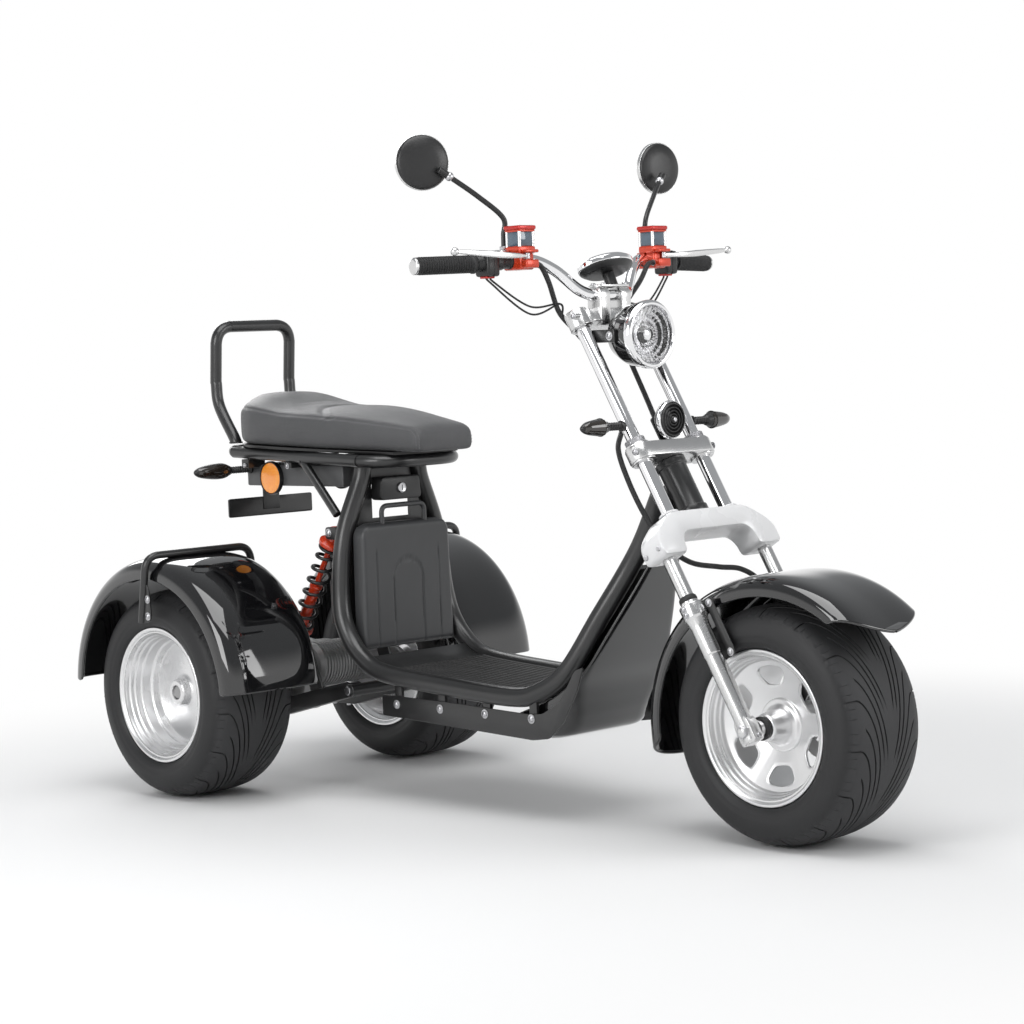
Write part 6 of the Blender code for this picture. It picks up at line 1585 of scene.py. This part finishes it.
enamel = white_enamel()
BRACE_LOW, BRACE_HIGH = 0.345, 0.430
shoulder = [(0.159, BRACE_LOW), (0.159, 0.379), (0.147, 0.397), (0.113, 0.422), (0.095, BRACE_HIGH)]
hollow = [(-0.096, BRACE_LOW), (-0.094, 0.371), (-0.080, 0.387), (0.080, 0.387), (0.094, 0.371),
          (0.096, BRACE_LOW)]
outline = np.array(shoulder + [(-y, z) for y, z in reversed(shoulder)] + hollow)
brace_frame = ((0, 1, 0), FORK_UP, FORK_OUT, fork_point(0, 0, -0.004))
pieces = [prism("brace", outline, -0.029, 0.029, enamel, 0.0075, 0.011, brace_frame)]
stem = soft_corners([(0.400, 0.0), (0.400, 0.0175), (0.5440, 0.0175), (0.5446, 0.0)], 0.001, 3)
pieces.append(turned("stem", stem, fork_point(0, 0, -0.012), FORK_UP, chrome, 40))
tube_ring = soft_ring([(0.4305, 0.0138), (0.4305, 0.0190), (0.4330, 0.0196), (0.4345, 0.0180),
                       (0.4345, 0.0138)], 0.0006, 3)
for side in (-1, 1):
    pieces.append(turned("tube_ring", tube_ring, fork_point(0, side * TUBE_APART), FORK_UP, enamel, 40,
                         True))
    for out in (-0.022, 0.014):
        pieces.append(round_bar("clamp_bolt", fork_point(0.362, side * 0.1585, out),
                                fork_point(0.362, side * 0.1630, out), 0.0052, steel, 6, 0.0010))
settle(together("white_brace_cast", *pieces), "steering", "white_paint", "lower_brace")


# Fork clamps. The middle one is satin alloy with round raised ends and knurled collars above it, and
# holds the horn's strap. The top one has a pinched collar round each tube, and cast risers on it
# hold the bar under a flat bridge.
def knurled():
    """Steel collar with a diamond knurl cut round it, with painted shade in its cuts and a painted
    highlight on its crests.
    """
    material, shader, place = new_finish("knurled_collar")
    cells = place.node("ShaderNodeTexVoronoi", {"feature": "F1", "distance": "CHEBYCHEV"},
                       {"Vector": place, "Scale": 700.0, "Randomness": 0.1})
    # The dark cuts are painted shade and the light crests are a painted highlight.
    feed(shader, Base_Color=cells.blend((0.20, 0.20, 0.21), (0.62, 0.62, 0.64)), Metallic=1.0,
         Roughness=place.noise(40.0, 3.0) * 0.15 + 0.25, Normal=cells.bump(0.0012))
    return material


knurl = knurled()


def clamp_plate(name, low, high, half, thick, finish):
    """A flat clamp between the tubes with round ends."""
    angle = np.linspace(-math.pi / 2, math.pi / 2, 16)
    end = np.stack([half - thick / 2 + thick / 2 * np.cos(angle), thick / 2 * np.sin(angle)], -1)
    outline = np.concatenate([end, end * (-1, -1)])
    return prism(name, outline, low, high, finish, 0.0026, 0,
                 ((0, 1, 0), FORK_OUT, FORK_UP, fork_point(0, 0, 0)))


pieces = [clamp_plate("plate", 0.545, 0.575, 0.105, 0.052, satin),
          prism("strap", [(-0.012, 0.560), (0.012, 0.560), (0.012, 0.634), (-0.012, 0.634)], -0.002,
                0.002, powder, 0.0008, 0.006, ((0, 1, 0), FORK_UP, FORK_OUT, fork_point(0, 0)))]
raised_end = soft_ring([(0.5420, 0.0139), (0.5420, 0.0235), (0.5785, 0.0235), (0.5785, 0.0139)], 0.002, 4)
knurled_collar = soft_ring([(0.5788, 0.0138), (0.5788, 0.0195), (0.5905, 0.0195), (0.5905, 0.0138)],
                           0.0012, 3)
stem_nut = soft_ring([(0.5752, 0.0005), (0.5752, 0.0150), (0.5830, 0.0150), (0.5830, 0.0005)], 0.0012, 3)
for side in (-1, 1):
    spot = fork_point(0, side * TUBE_APART)
    pieces.append(turned("raised_end", raised_end, spot, FORK_UP, satin, 56, True))
    pieces.append(turned("knurled_collar", knurled_collar, spot, FORK_UP, knurl, 56, True))
    pieces.append(dome_bolt("end_bolt", fork_point(0.560, side * 0.1045, 0.012), (0, side, 0), steel,
                            0.0048))
pieces.append(turned("stem_nut", stem_nut, fork_point(0, 0), FORK_UP, chrome, 6, True))
settle(together("middle_clamp_satin", *pieces), "steering", "polished_alloy", "middle_clamp")

bar_x = 0.962
pieces = [clamp_plate("plate", 0.838, 0.866, 0.075, 0.040, satin)]
collar = soft_ring([(0.8322, 0.0139), (0.8322, 0.0225), (0.8678, 0.0225), (0.8678, 0.0139)], 0.0022, 4)
riser = [(bar_x - 0.021, 0.938), (bar_x + 0.019, 0.938), (bar_x + 0.0185, 0.985),
         (bar_x + 0.0195, 1.0005), (bar_x + 0.012, 1.0135), (bar_x - 0.012, 1.0135),
         (bar_x - 0.0195, 1.0005), (bar_x - 0.0185, 0.985)]
for side in (-1, 1):
    pieces.append(turned("collar", collar, fork_point(0, side * TUBE_APART), FORK_UP, satin, 56, True))
    pieces.append(round_bar("ear", fork_point(0.852, side * 0.0880, 0.0140),
                            fork_point(0.852, side * 0.1040, 0.0140), 0.0062, satin, 24, 0.0012))
    pieces.append(dome_bolt("pinch", fork_point(0.852, side * 0.1038, 0.0140), (0, side, 0), steel, 0.0042))
    pieces.append(prism("riser", riser, 0.0152, 0.0408, satin, 0.0030, 0.008, flank(side, at(0, 0, 0))))
    for x in (bar_x - 0.0135, bar_x + 0.0135):
        pieces.append(round_bar("riser_bolt", at(x, side * 0.028, 1.0145), at(x, side * 0.028, 1.0195),
                                0.0045, steel, 24, 0.0008))
pieces.append(prism("bridge", [(-0.041, -0.0175), (0.041, -0.0175), (0.041, 0.0175), (-0.041, 0.0175)],
                    1.0118, 1.0165, satin, 0.0014, 0.008,
                    ((0, 1, 0), (1, 0, 0), (0, 0, 1), at(bar_x, 0, 0))))
DASH_TILT = math.radians(24)
dash_spot = at(0.955, 0, 1.050)
dash_up = np.array((-math.sin(DASH_TILT), 0, math.cos(DASH_TILT)))
post_top = dash_spot - dash_up * 0.0144
pieces.append(round_bar("post", post_top - dash_up * 0.026, post_top, 0.0115, black_moulding))
settle(together("top_clamp_satin", *pieces), "steering", "polished_alloy", "top_clamp")


# Handlebar and grips. One chromed tube rises from the risers, sweeps out and back, and runs inside
# ringed rubber grips that end in turned alloy weights.
BAR_RADIUS = 0.011
BAR_HALF = [(0.962, 0.046, 0.996), (0.945, 0.068, 1.010), (0.924, 0.105, 1.046), (0.906, 0.148, 1.066),
            (0.893, 0.205, 1.063), (0.880, 0.268, 1.061), (0.855, 0.389, 1.059)]
half_bar = smooth_line([at(*p) for p in BAR_HALF], 90)
middle_bar = np.linspace(half_bar[0] * (1, -1, 1), half_bar[0], 8)[1:-1]
bar = np.concatenate([(half_bar * (1, -1, 1))[::-1], middle_bar, half_bar])
settle(tube("handlebar_chromed", bar, BAR_RADIUS, chrome, 28), "steering", "chrome", "handlebar")

grip_rubber = moulded("grip_rubber", (0.013, 0.013, 0.0135), 0.62, 0.00016)
for side, word in SIDES:
    inner, outer = at(0.880, side * 0.268, 1.061), at(0.855, side * 0.389, 1.059)
    way, length = unit(outer - inner), np.linalg.norm(outer - inner)
    rings = np.linspace(0.009, length - 0.004, 150)
    wave = 0.0160 + 0.0007 * np.clip(3 * np.sin(rings * math.tau / 0.0052), -1, 1)
    flange = [(0.0, 0.0117), (0.0, 0.0172), (0.0012, 0.0182), (0.0052, 0.0182), (0.0066, 0.0166)]
    line = np.concatenate([flange, np.stack([rings, wave], -1),
                           [(length, 0.0160), (length + 0.0002, 0.0117)]])
    weight = soft_corners([(length + 0.0004, 0.0), (length + 0.0004, 0.0158), (length + 0.0052, 0.0158),
                           (length + 0.0070, 0.0120), (length + 0.0070, 0.0)], 0.0012, 4)
    settle(together("grip_ringed_" + word, turned("rubber", line, inner, way, grip_rubber, 36, True),
                    turned("weight", weight, inner, way, satin, 48)), "steering", "rubber", "grip_" + word)


# Controls and levers. Each side has a red perch with its brake fluid cup, which shows the fluid
# behind clear walls between bright posts, a switch block with a red button, and a boss for the
# mirror. The levers are flat polished blades that end in a ball.
control_red = red_paint("control_red", (0.66, 0.050, 0.014), 0.35)
lid_red = red_paint("lid_red", (0.58, 0.020, 0.014), 0.35)


def fluid_window():
    """Clear cup wall with bluish fluid standing behind it."""
    material, shader, place = new_finish("fluid_window")
    cloud = place.noise(60.0, 3.0)
    feed(shader, Base_Color=cloud.blend((0.030, 0.060, 0.095), (0.075, 0.125, 0.175)),
         Roughness=cloud * 0.05 + 0.05, Coat_Weight=1.0, Coat_Roughness=0.02)
    return material


def ball_line(radius, steps):
    """A half circle, as (height, radius) pairs for the lathe."""
    angle = np.linspace(0, math.pi, steps)
    return np.stack([-radius * np.cos(angle), radius * np.sin(angle)], -1)


window = fluid_window()
PERCH_BLOCKS = [
    ("perch", (0.8800, 0.1615, 1.0475), (0.9300, 0.1945, 1.0790), control_red, 0.0040),
    ("perch_front", (0.9250, 0.1620, 1.0500), (0.9440, 0.1940, 1.0660), control_red, 0.0030),
    ("perch_lip", (0.9250, 0.1620, 1.0785), (0.9440, 0.1940, 1.0845), control_red, 0.0022),
    ("cup_base", (0.8915, 0.1575, 1.0775), (0.9305, 0.1985, 1.0915), control_red, 0.0030),
    ("cup_window", (0.8935, 0.1595, 1.0905), (0.9285, 0.1965, 1.1205), window, 0.0040),
    ("cup_top", (0.8915, 0.1575, 1.1175), (0.9305, 0.1985, 1.1220), control_red, 0.0016),
    ("cup_lid", (0.8895, 0.1555, 1.1215), (0.9325, 0.2005, 1.1295), lid_red, 0.0030)]
SWITCH_BLOCKS = [
    ("switch", (0.8670, 0.2250, 1.0370), (0.9050, 0.2550, 1.0820), black_moulding, 0.0050),
    ("switch_seam", (0.8664, 0.2392, 1.0364), (0.9056, 0.2408, 1.0826), grip_rubber, 0.0006),
    ("button", (0.8740, 0.2290, 1.0335), (0.8940, 0.2500, 1.0385), lid_red, 0.0020),
    ("toggle", (0.8640, 0.2300, 1.0600), (0.8680, 0.2360, 1.0680), tail_grey, 0.0014),
    ("toggle", (0.8640, 0.2440, 1.0520), (0.8680, 0.2510, 1.0580), lid_red, 0.0014),
    ("perch_cap", (0.8800, 0.2000, 1.0800), (0.9050, 0.2240, 1.0855), satin, 0.0020)]
for side, word in SIDES:
    def near(x, y, z):
        """A point on this side of the bar."""
        return at(x, side * y, z)
    sleeve_in, sleeve_out = near(0.903, 0.160, 1.066), near(0.880, 0.266, 1.0612)
    way, length = unit(sleeve_out - sleeve_in), np.linalg.norm(sleeve_out - sleeve_in)
    sleeve = soft_ring([(0.001, 0.0126), (0.001, 0.0150), (0.036, 0.0150), (0.037, 0.0138), (0.052, 0.0138),
                        (0.053, 0.0154), (length - 0.001, 0.0154), (length - 0.001, 0.0126)], 0.0008, 3)
    pieces = [turned("sleeve", sleeve, sleeve_in, way, black_moulding, 40, True)]
    pieces += [block(name, near(*low), near(*high), finish, edge)
               for name, low, high, finish, edge in PERCH_BLOCKS]
    for x in (0.8945, 0.9275):
        for y in (0.1605, 0.1955):
            screw_x, screw_y = x + (0.911 - x) * 0.12, y + (0.178 - y) * 0.14
            pieces.append(round_bar("post", near(x, y, 1.0900), near(x, y, 1.1190), 0.0030, satin, 16,
                                    0.0004))
            pieces.append(round_bar("lid_screw", near(screw_x, screw_y, 1.1293),
                                    near(screw_x, screw_y, 1.1303), 0.0024, steel, 16, 0.0003))
    pieces += [block(name, near(*low), near(*high), finish, edge)
               for name, low, high, finish, edge in SWITCH_BLOCKS]
    pieces.append(round_bar("boss", near(0.8790, 0.190, 1.0600), near(0.8790, 0.190, 1.0842), 0.0078,
                            satin, 6, 0.0008))
    pieces.append(round_bar("hose_nut", near(0.9260, 0.1618, 1.0580), near(0.9260, 0.1612, 1.0580), 0.0068,
                            steel, 6, 0.0002))
    settle(together("control_set_" + word, *pieces), "steering", "red_paint", "control_" + word)

    blade = smooth_line([near(0.9335, 0.184, 1.0725), near(0.9450, 0.230, 1.0730),
                         near(0.9440, 0.300, 1.0770), near(0.9370, 0.360, 1.0808)], 60)
    tall = np.interp(np.linspace(0, 1, 60), [0, 0.12, 0.45, 0.85, 1],
                     [0.0036, 0.0044, 0.0062, 0.0050, 0.0036])
    thick = np.interp(np.linspace(0, 1, 60), [0, 0.2, 1], [0.0030, 0.0026, 0.0024])
    ahead = unit_rows(np.gradient(blade, axis=0))
    outward = unit_rows(np.cross(ahead, (0, 0, 1)))
    turn = np.linspace(0, math.tau, 20, endpoint=False)
    squared = [np.sign(wave) * np.abs(wave) ** 0.6 for wave in (np.cos(turn), np.sin(turn))]
    grid = (blade[:, None] + thick[:, None, None] * squared[0][None, :, None] * outward[:, None]
            + tall[:, None, None] * squared[1][None, :, None] * np.array((0, 0, 1.0)))
    ball = ball_line(0.0078, 14)
    hook = prism("hook", [(0.0, -0.0050), (0.024, -0.0050), (0.024, 0.0046), (0.0, 0.0046)], -0.0022,
                 0.0022, satin, 0.0010, 0.002,
                 ((0, side, 0), (0, 0, 1), (1, 0, 0), near(0.9340, 0.180, 1.0725)))
    pivot = round_bar("pivot", near(0.9345, 0.183, 1.0668), near(0.9345, 0.183, 1.0782), 0.0046, steel,
                      24, 0.0008)
    settle(together("lever_blade_" + word, surface("blade", grid, satin, around=True, caps="flat"),
                    turned("ball", ball, near(0.9370, 0.366, 1.0810), ahead[-1], satin, 24), hook, pivot),
           "steering", "polished_alloy", "lever_" + word)


# Mirrors. Round domed shells in black with a bright edge, silvered glass behind, on bent black
# stems. Each stem rises from its perch and ends in a ball joint near the shell's inner edge.
def mirror_glass():
    """Silvered glass, slightly tinted."""
    material, shader, place = new_finish("mirror_glass")
    haze = place.noise(20.0, 3.0)
    feed(shader, Base_Color=haze.blend((0.80, 0.84, 0.86), (0.86, 0.90, 0.92)), Metallic=1.0,
         Roughness=haze * 0.02 + 0.01)
    return material


glass = mirror_glass()
for side, word, turned_by in ((-1, "right", -24), (1, "left", -6)):
    centre = at(0.805, side * 0.317, 1.252)
    facing = np.array((math.cos(math.radians(turned_by)), math.sin(math.radians(turned_by)), 0))
    shell = smooth_line([(0.0120, 0.0), (0.0116, 0.016), (0.0100, 0.031), (0.0050, 0.0465),
                         (0.0000, 0.0500)], 30)
    shell = np.concatenate([shell, [(-0.0066, 0.0508), (-0.0066, 0.0490), (-0.0050, 0.0)]])
    rim = soft_ring([(-0.0002, 0.0500), (-0.0002, 0.0515), (-0.0086, 0.0518), (-0.0090, 0.0500),
                     (-0.0080, 0.0488)], 0.0008, 4)
    pane = [(-0.0070, 0.0), (-0.0070, 0.0489), (-0.0078, 0.0489), (-0.0082, 0.0)]
    stem = smooth_line([at(0.879, side * 0.190, 1.0848), at(0.880, side * 0.190, 1.115),
                        at(0.882, side * 0.192, 1.146), at(0.862, side * 0.234, 1.186),
                        at(0.838, side * 0.282, 1.224)], 70)
    joint_at = at(0.838, side * 0.282, 1.224)
    toward = centre + 0.030 * unit(joint_at - centre) + facing * 0.010
    ball = ball_line(0.0085, 16)
    pieces = [turned("shell", shell, centre, facing, black_moulding, 72),
              turned("edge", rim, centre, facing, satin, 72, True),
              turned("pane", pane, centre, facing, glass, 72),
              tube("stem", stem, 0.0050, black_moulding, 18),
              turned("ball", ball, joint_at, (0, 0, 1), steel, 24),
              round_bar("socket", joint_at, toward, 0.0068, black_moulding, 24),
              round_bar("foot_nut", at(0.879, side * 0.190, 1.0846), at(0.879, side * 0.190, 1.0930),
                        0.0080, steel, 6)]
    settle(together("mirror_round_" + word, *pieces), "steering", "black_plastic", "mirror_" + word)


# Dash. A wide oval pod with a chromed brow round its edge and a dark glass face, tilted to the rider.
def dark_glass():
    """Smoked display glass, unlit."""
    material, shader, place = new_finish("dark_glass")
    haze = place.noise(14.0, 4.0)
    feed(shader, Base_Color=haze.blend((0.004, 0.005, 0.007), (0.010, 0.012, 0.016)),
         Roughness=haze * 0.04 + 0.04, Coat_Weight=1.0, Coat_Roughness=0.01)
    return material


dash_on = np.array((math.cos(DASH_TILT), 0, math.sin(DASH_TILT)))
DASH_WIDER = 1.35


def oval(name, line, finish, closed=False):
    """A profile of (height, radius) pairs carried round the dash, wider across than along."""
    angle = np.linspace(0, math.tau, 96, endpoint=False)
    ring = np.cos(angle)[:, None] * dash_on + DASH_WIDER * np.sin(angle)[:, None] * np.array((0, 1.0, 0))
    line = np.asarray(line, float)
    grid = dash_spot + line[:, None, :1] * dash_up + line[:, None, 1:] * ring[None]
    return surface(name, grid, finish, around=True, along=closed)


pod_line = soft_corners([(-0.0138, 0.0), (-0.0138, 0.0345), (-0.0050, 0.0445), (0.0030, 0.0445),
                         (0.0030, 0.0)], 0.003, 5)
brow_line = soft_ring([(-0.0040, 0.0430), (-0.0030, 0.0458), (0.0060, 0.0458), (0.0112, 0.0405),
                       (0.0095, 0.0385), (0.0040, 0.0400)], 0.0016, 5)
pod, brow = oval("pod", pod_line, black_moulding), oval("brow", brow_line, chrome, True)
face = oval("face", [(0.0030, 0.0), (0.0078, 0.0398), (0.0092, 0.0390), (0.0100, 0.0)], dark_glass())
settle(together("dash_pod", pod, brow, face), "steering", "black_plastic", "dash")


# Headlight. A deep bucket in gloss black between two ears, a wide chromed ring, and a clear lens over
# a fluted reflector with its bulb cap.
def clear_glass():
    """Clear lamp glass."""
    material, shader, place = new_finish("clear_glass")
    haze = place.noise(30.0, 3.0)
    feed(shader, Base_Color=(1.0, 1.0, 1.0), Roughness=haze * 0.02 + 0.01, Transmission_Weight=1.0, IOR=1.3)
    return material


lamp_spot = at(1.052, 0, 0.919)
bucket = soft_corners([(-0.0700, 0.0), (-0.0700, 0.0200), (-0.0600, 0.0420), (-0.0300, 0.0575),
                       (-0.0040, 0.0615), (0.0070, 0.0628), (0.0070, 0.0560), (-0.0250, 0.0500),
                       (-0.0250, 0.0)], 0.0080, 8)
ring = soft_ring([(0.0040, 0.0560), (0.0040, 0.0640), (0.0150, 0.0648), (0.0205, 0.0605),
                  (0.0205, 0.0550), (0.0140, 0.0535)], 0.0030, 6)
BOWL_RADIUS = 0.0545
BOWL_DEPTH = 0.0330
FLUTES = 28
FLUTE_DEPTH = 0.0011
angle = np.linspace(0, math.tau, 140, endpoint=False)
r = np.linspace(0.006, BOWL_RADIUS, 22)[:, None]
flute = (FLUTE_DEPTH * np.abs(np.sin(angle * FLUTES / 2))[None] * step_between(0.010, 0.020, r)
         * (1 - step_between(0.049, 0.054, r)))
step = 0.0018 * np.floor(r / 0.0135)
depth = -0.0235 + BOWL_DEPTH * (r / BOWL_RADIUS) ** 2 - flute + step - 0.0054
bowl = np.stack([depth, r * np.cos(angle), r * np.sin(angle)], -1)
shell = bowl - (0.0012, 0, 0)
reflector = surface("reflector", lamp_spot + np.concatenate([bowl, shell[::-1]]), chrome, around=True,
                    along=True, angle=25)
bulb = soft_corners([(-0.0290, 0.0), (-0.0290, 0.0075), (-0.0080, 0.0075), (-0.0040, 0.0120),
                     (-0.0010, 0.0120), (0.0010, 0.0)], 0.0015, 4)
bulb = turned("bulb", bulb, lamp_spot, (1, 0, 0), chrome, 40)
LENS_RADIUS, LENS_THICK = 0.0548, 0.0020
lens_r = np.linspace(LENS_RADIUS, 0.0, 24)
lens_out = np.stack([0.0125 + 0.0065 * (1 - (lens_r / LENS_RADIUS) ** 2), lens_r], -1)
lens = turned("lens", np.concatenate([lens_out, (lens_out - (LENS_THICK, 0))[::-1]]), lamp_spot,
              (1, 0, 0), clear_glass(), 80)
pieces = [turned("bucket", bucket, lamp_spot, (1, 0, 0), lacquer, 80),
          turned("ring", ring, lamp_spot, (1, 0, 0), chrome, 96, True), reflector, bulb, lens]
for side in (-1, 1):
    pieces.append(block("ear", at(0.972, side * 0.0530, 0.907), at(1.034, side * 0.0648, 0.931), powder,
                        0.0020))
    pieces.append(dome_bolt("ear_bolt", at(1.022, side * 0.0646, 0.919), (0, side, 0), steel, 0.0058))
settle(together("headlight_round", *pieces), "steering", "black_gloss_paint", "headlight")


# Horn and front signals. A pressed disc horn with stepped rings and a bright edge, on its strap
# under the headlight; the signals match the rear ones and stand out from the chrome tubes.
horn_spot = at(1.108, 0, 0.760)
cup = soft_corners([(-0.0300, 0.0), (-0.0300, 0.0100), (-0.0180, 0.0240), (-0.0060, 0.0345),
                    (0.0020, 0.0350), (0.0020, 0.0)], 0.0020, 4)
ridges = [(0.0015, 0.0350)]
for radius in (0.0300, 0.0235, 0.0170, 0.0110):
    ridges += [(0.0060, radius + 0.0018), (0.0092, radius), (0.0092, radius - 0.0014),
               (0.0052, radius - 0.0028)]
ridges += [(0.0110, 0.0066), (0.0122, 0.0050), (0.0122, 0.0)]
edge = soft_ring([(-0.0030, 0.0335), (-0.0030, 0.0357), (0.0044, 0.0357), (0.0074, 0.0335),
                  (0.0044, 0.0322)], 0.0010, 4)
settle(together("horn_disc", turned("cup", cup, horn_spot, (1, 0, 0), black_moulding, 72),
                turned("face", [(0.0, 0.0)] + ridges, horn_spot, (1, 0, 0), black_moulding, 72),
                turned("edge", edge, horn_spot, (1, 0, 0), chrome, 72, True),
                round_bar("nut", horn_spot + (0.0118, 0, 0), horn_spot + (0.0136, 0, 0), 0.0042, steel, 6,
                          0.0006)), "steering", "black_gloss_paint", "horn")
for side, word in SIDES:
    settle(turn_signal("front_signal_slim_" + word, fork_point(0.622, side * 0.0928), side, 0.108),
           "steering", "black_plastic", "front_signal_" + word)


# Hoses. Braided brake hoses run from the perches behind the top clamp; the right one crosses behind
# the white brace down to the caliper, the left one goes to the stem. Thin switch wires join them.
def braid():
    """Black braided sleeve: two crossing sets of strands, with a painted highlight on their crowns and
    painted shade between them.
    """
    material, shader, place = new_finish("hose_braid")
    along = place.node("ShaderNodeAttribute", {"attribute_name": "run"}, {}, "Fac")
    round_it = place.node("ShaderNodeAttribute", {"attribute_name": "turn"}, {}, "Fac")
    first = ((along * 1500.0) + (round_it * 6.0)).sine()
    second = ((along * 1500.0) - (round_it * 6.0)).sine()
    weave = (first * second).size()
    # The colour is a painted highlight on the strands' crowns and painted shade between them.
    feed(shader, Base_Color=weave.blend((0.006, 0.006, 0.006), (0.045, 0.045, 0.047)),
         Roughness=weave * 0.2 + 0.35, Normal=weave.bump(0.0006))
    return material


braided = braid()
HOSE_RADIUS = 0.0050
WIRE_RADIUS = 0.0019
PERCH_RUN = [(0.9260, 0.1608, 1.0580), (0.9260, 0.1540, 1.0580), (0.9280, 0.1420, 1.0520),
             (0.9260, 0.1220, 1.0220)]
CALIPER_RUN = [(0.890, -0.0850, -0.0300), (0.850, -0.0620, -0.0340), (0.800, -0.0480, -0.0310),
               (0.700, -0.0470, -0.0300), (0.640, -0.0540, -0.0340), (0.595, -0.0840, -0.0400),
               (0.530, -0.0920, -0.0430), (0.460, -0.0880, -0.0450), (0.400, -0.0740, -0.0450),
               (0.355, -0.0280, -0.0460), (0.338, 0.0400, -0.0460), (0.325, 0.0900, -0.0400),
               (0.292, 0.1180, -0.0340), (0.235, 0.1240, -0.0340), (0.160, 0.1240, -0.0310),
               (0.120, 0.1110, -0.0350), (0.0980, 0.1050, -0.0360), (0.0906, 0.1050, -0.0360)]
STEM_RUN = [(0.890, 0.0850, -0.0300), (0.850, 0.0620, -0.0340), (0.800, 0.0460, -0.0310),
            (0.700, 0.0400, -0.0300), (0.640, 0.0290, -0.0230), (0.605, 0.0230, -0.0160),
            (0.5770, 0.0230, -0.0160)]
for side, word, run in ((-1, "right", CALIPER_RUN), (1, "left", STEM_RUN)):
    line = smooth_line([at(x, side * y, z) for x, y, z in PERCH_RUN] + [fork_point(*p) for p in run],
                       18 * len(run))
    pieces = [tube("hose", line, HOSE_RADIUS, braided, 14, wrap=("run", "turn"))]
    start = at(0.880, side * 0.2330, 1.0385)
    join_at = line[np.argmin(np.abs(line[:, 2] - 0.960))]
    for sag, shift in ((0.020, 0.000), (0.034, 0.010)):
        wire = smooth_line([start + (0.004, side * shift, 0.0),
                            start + (0.008, side * (shift - 0.006), -0.012),
                            (start + join_at) / 2 + (0.012, 0, -sag),
                            join_at + (0.002, side * 0.004, 0.022), join_at + (0.001, 0, -0.006)], 70)
        pieces.append(tube("wire", wire, WIRE_RADIUS, grip_rubber, 10))
    settle(together("hose_braided_" + word, *pieces), "steering", "rubber", "hose_" + word)
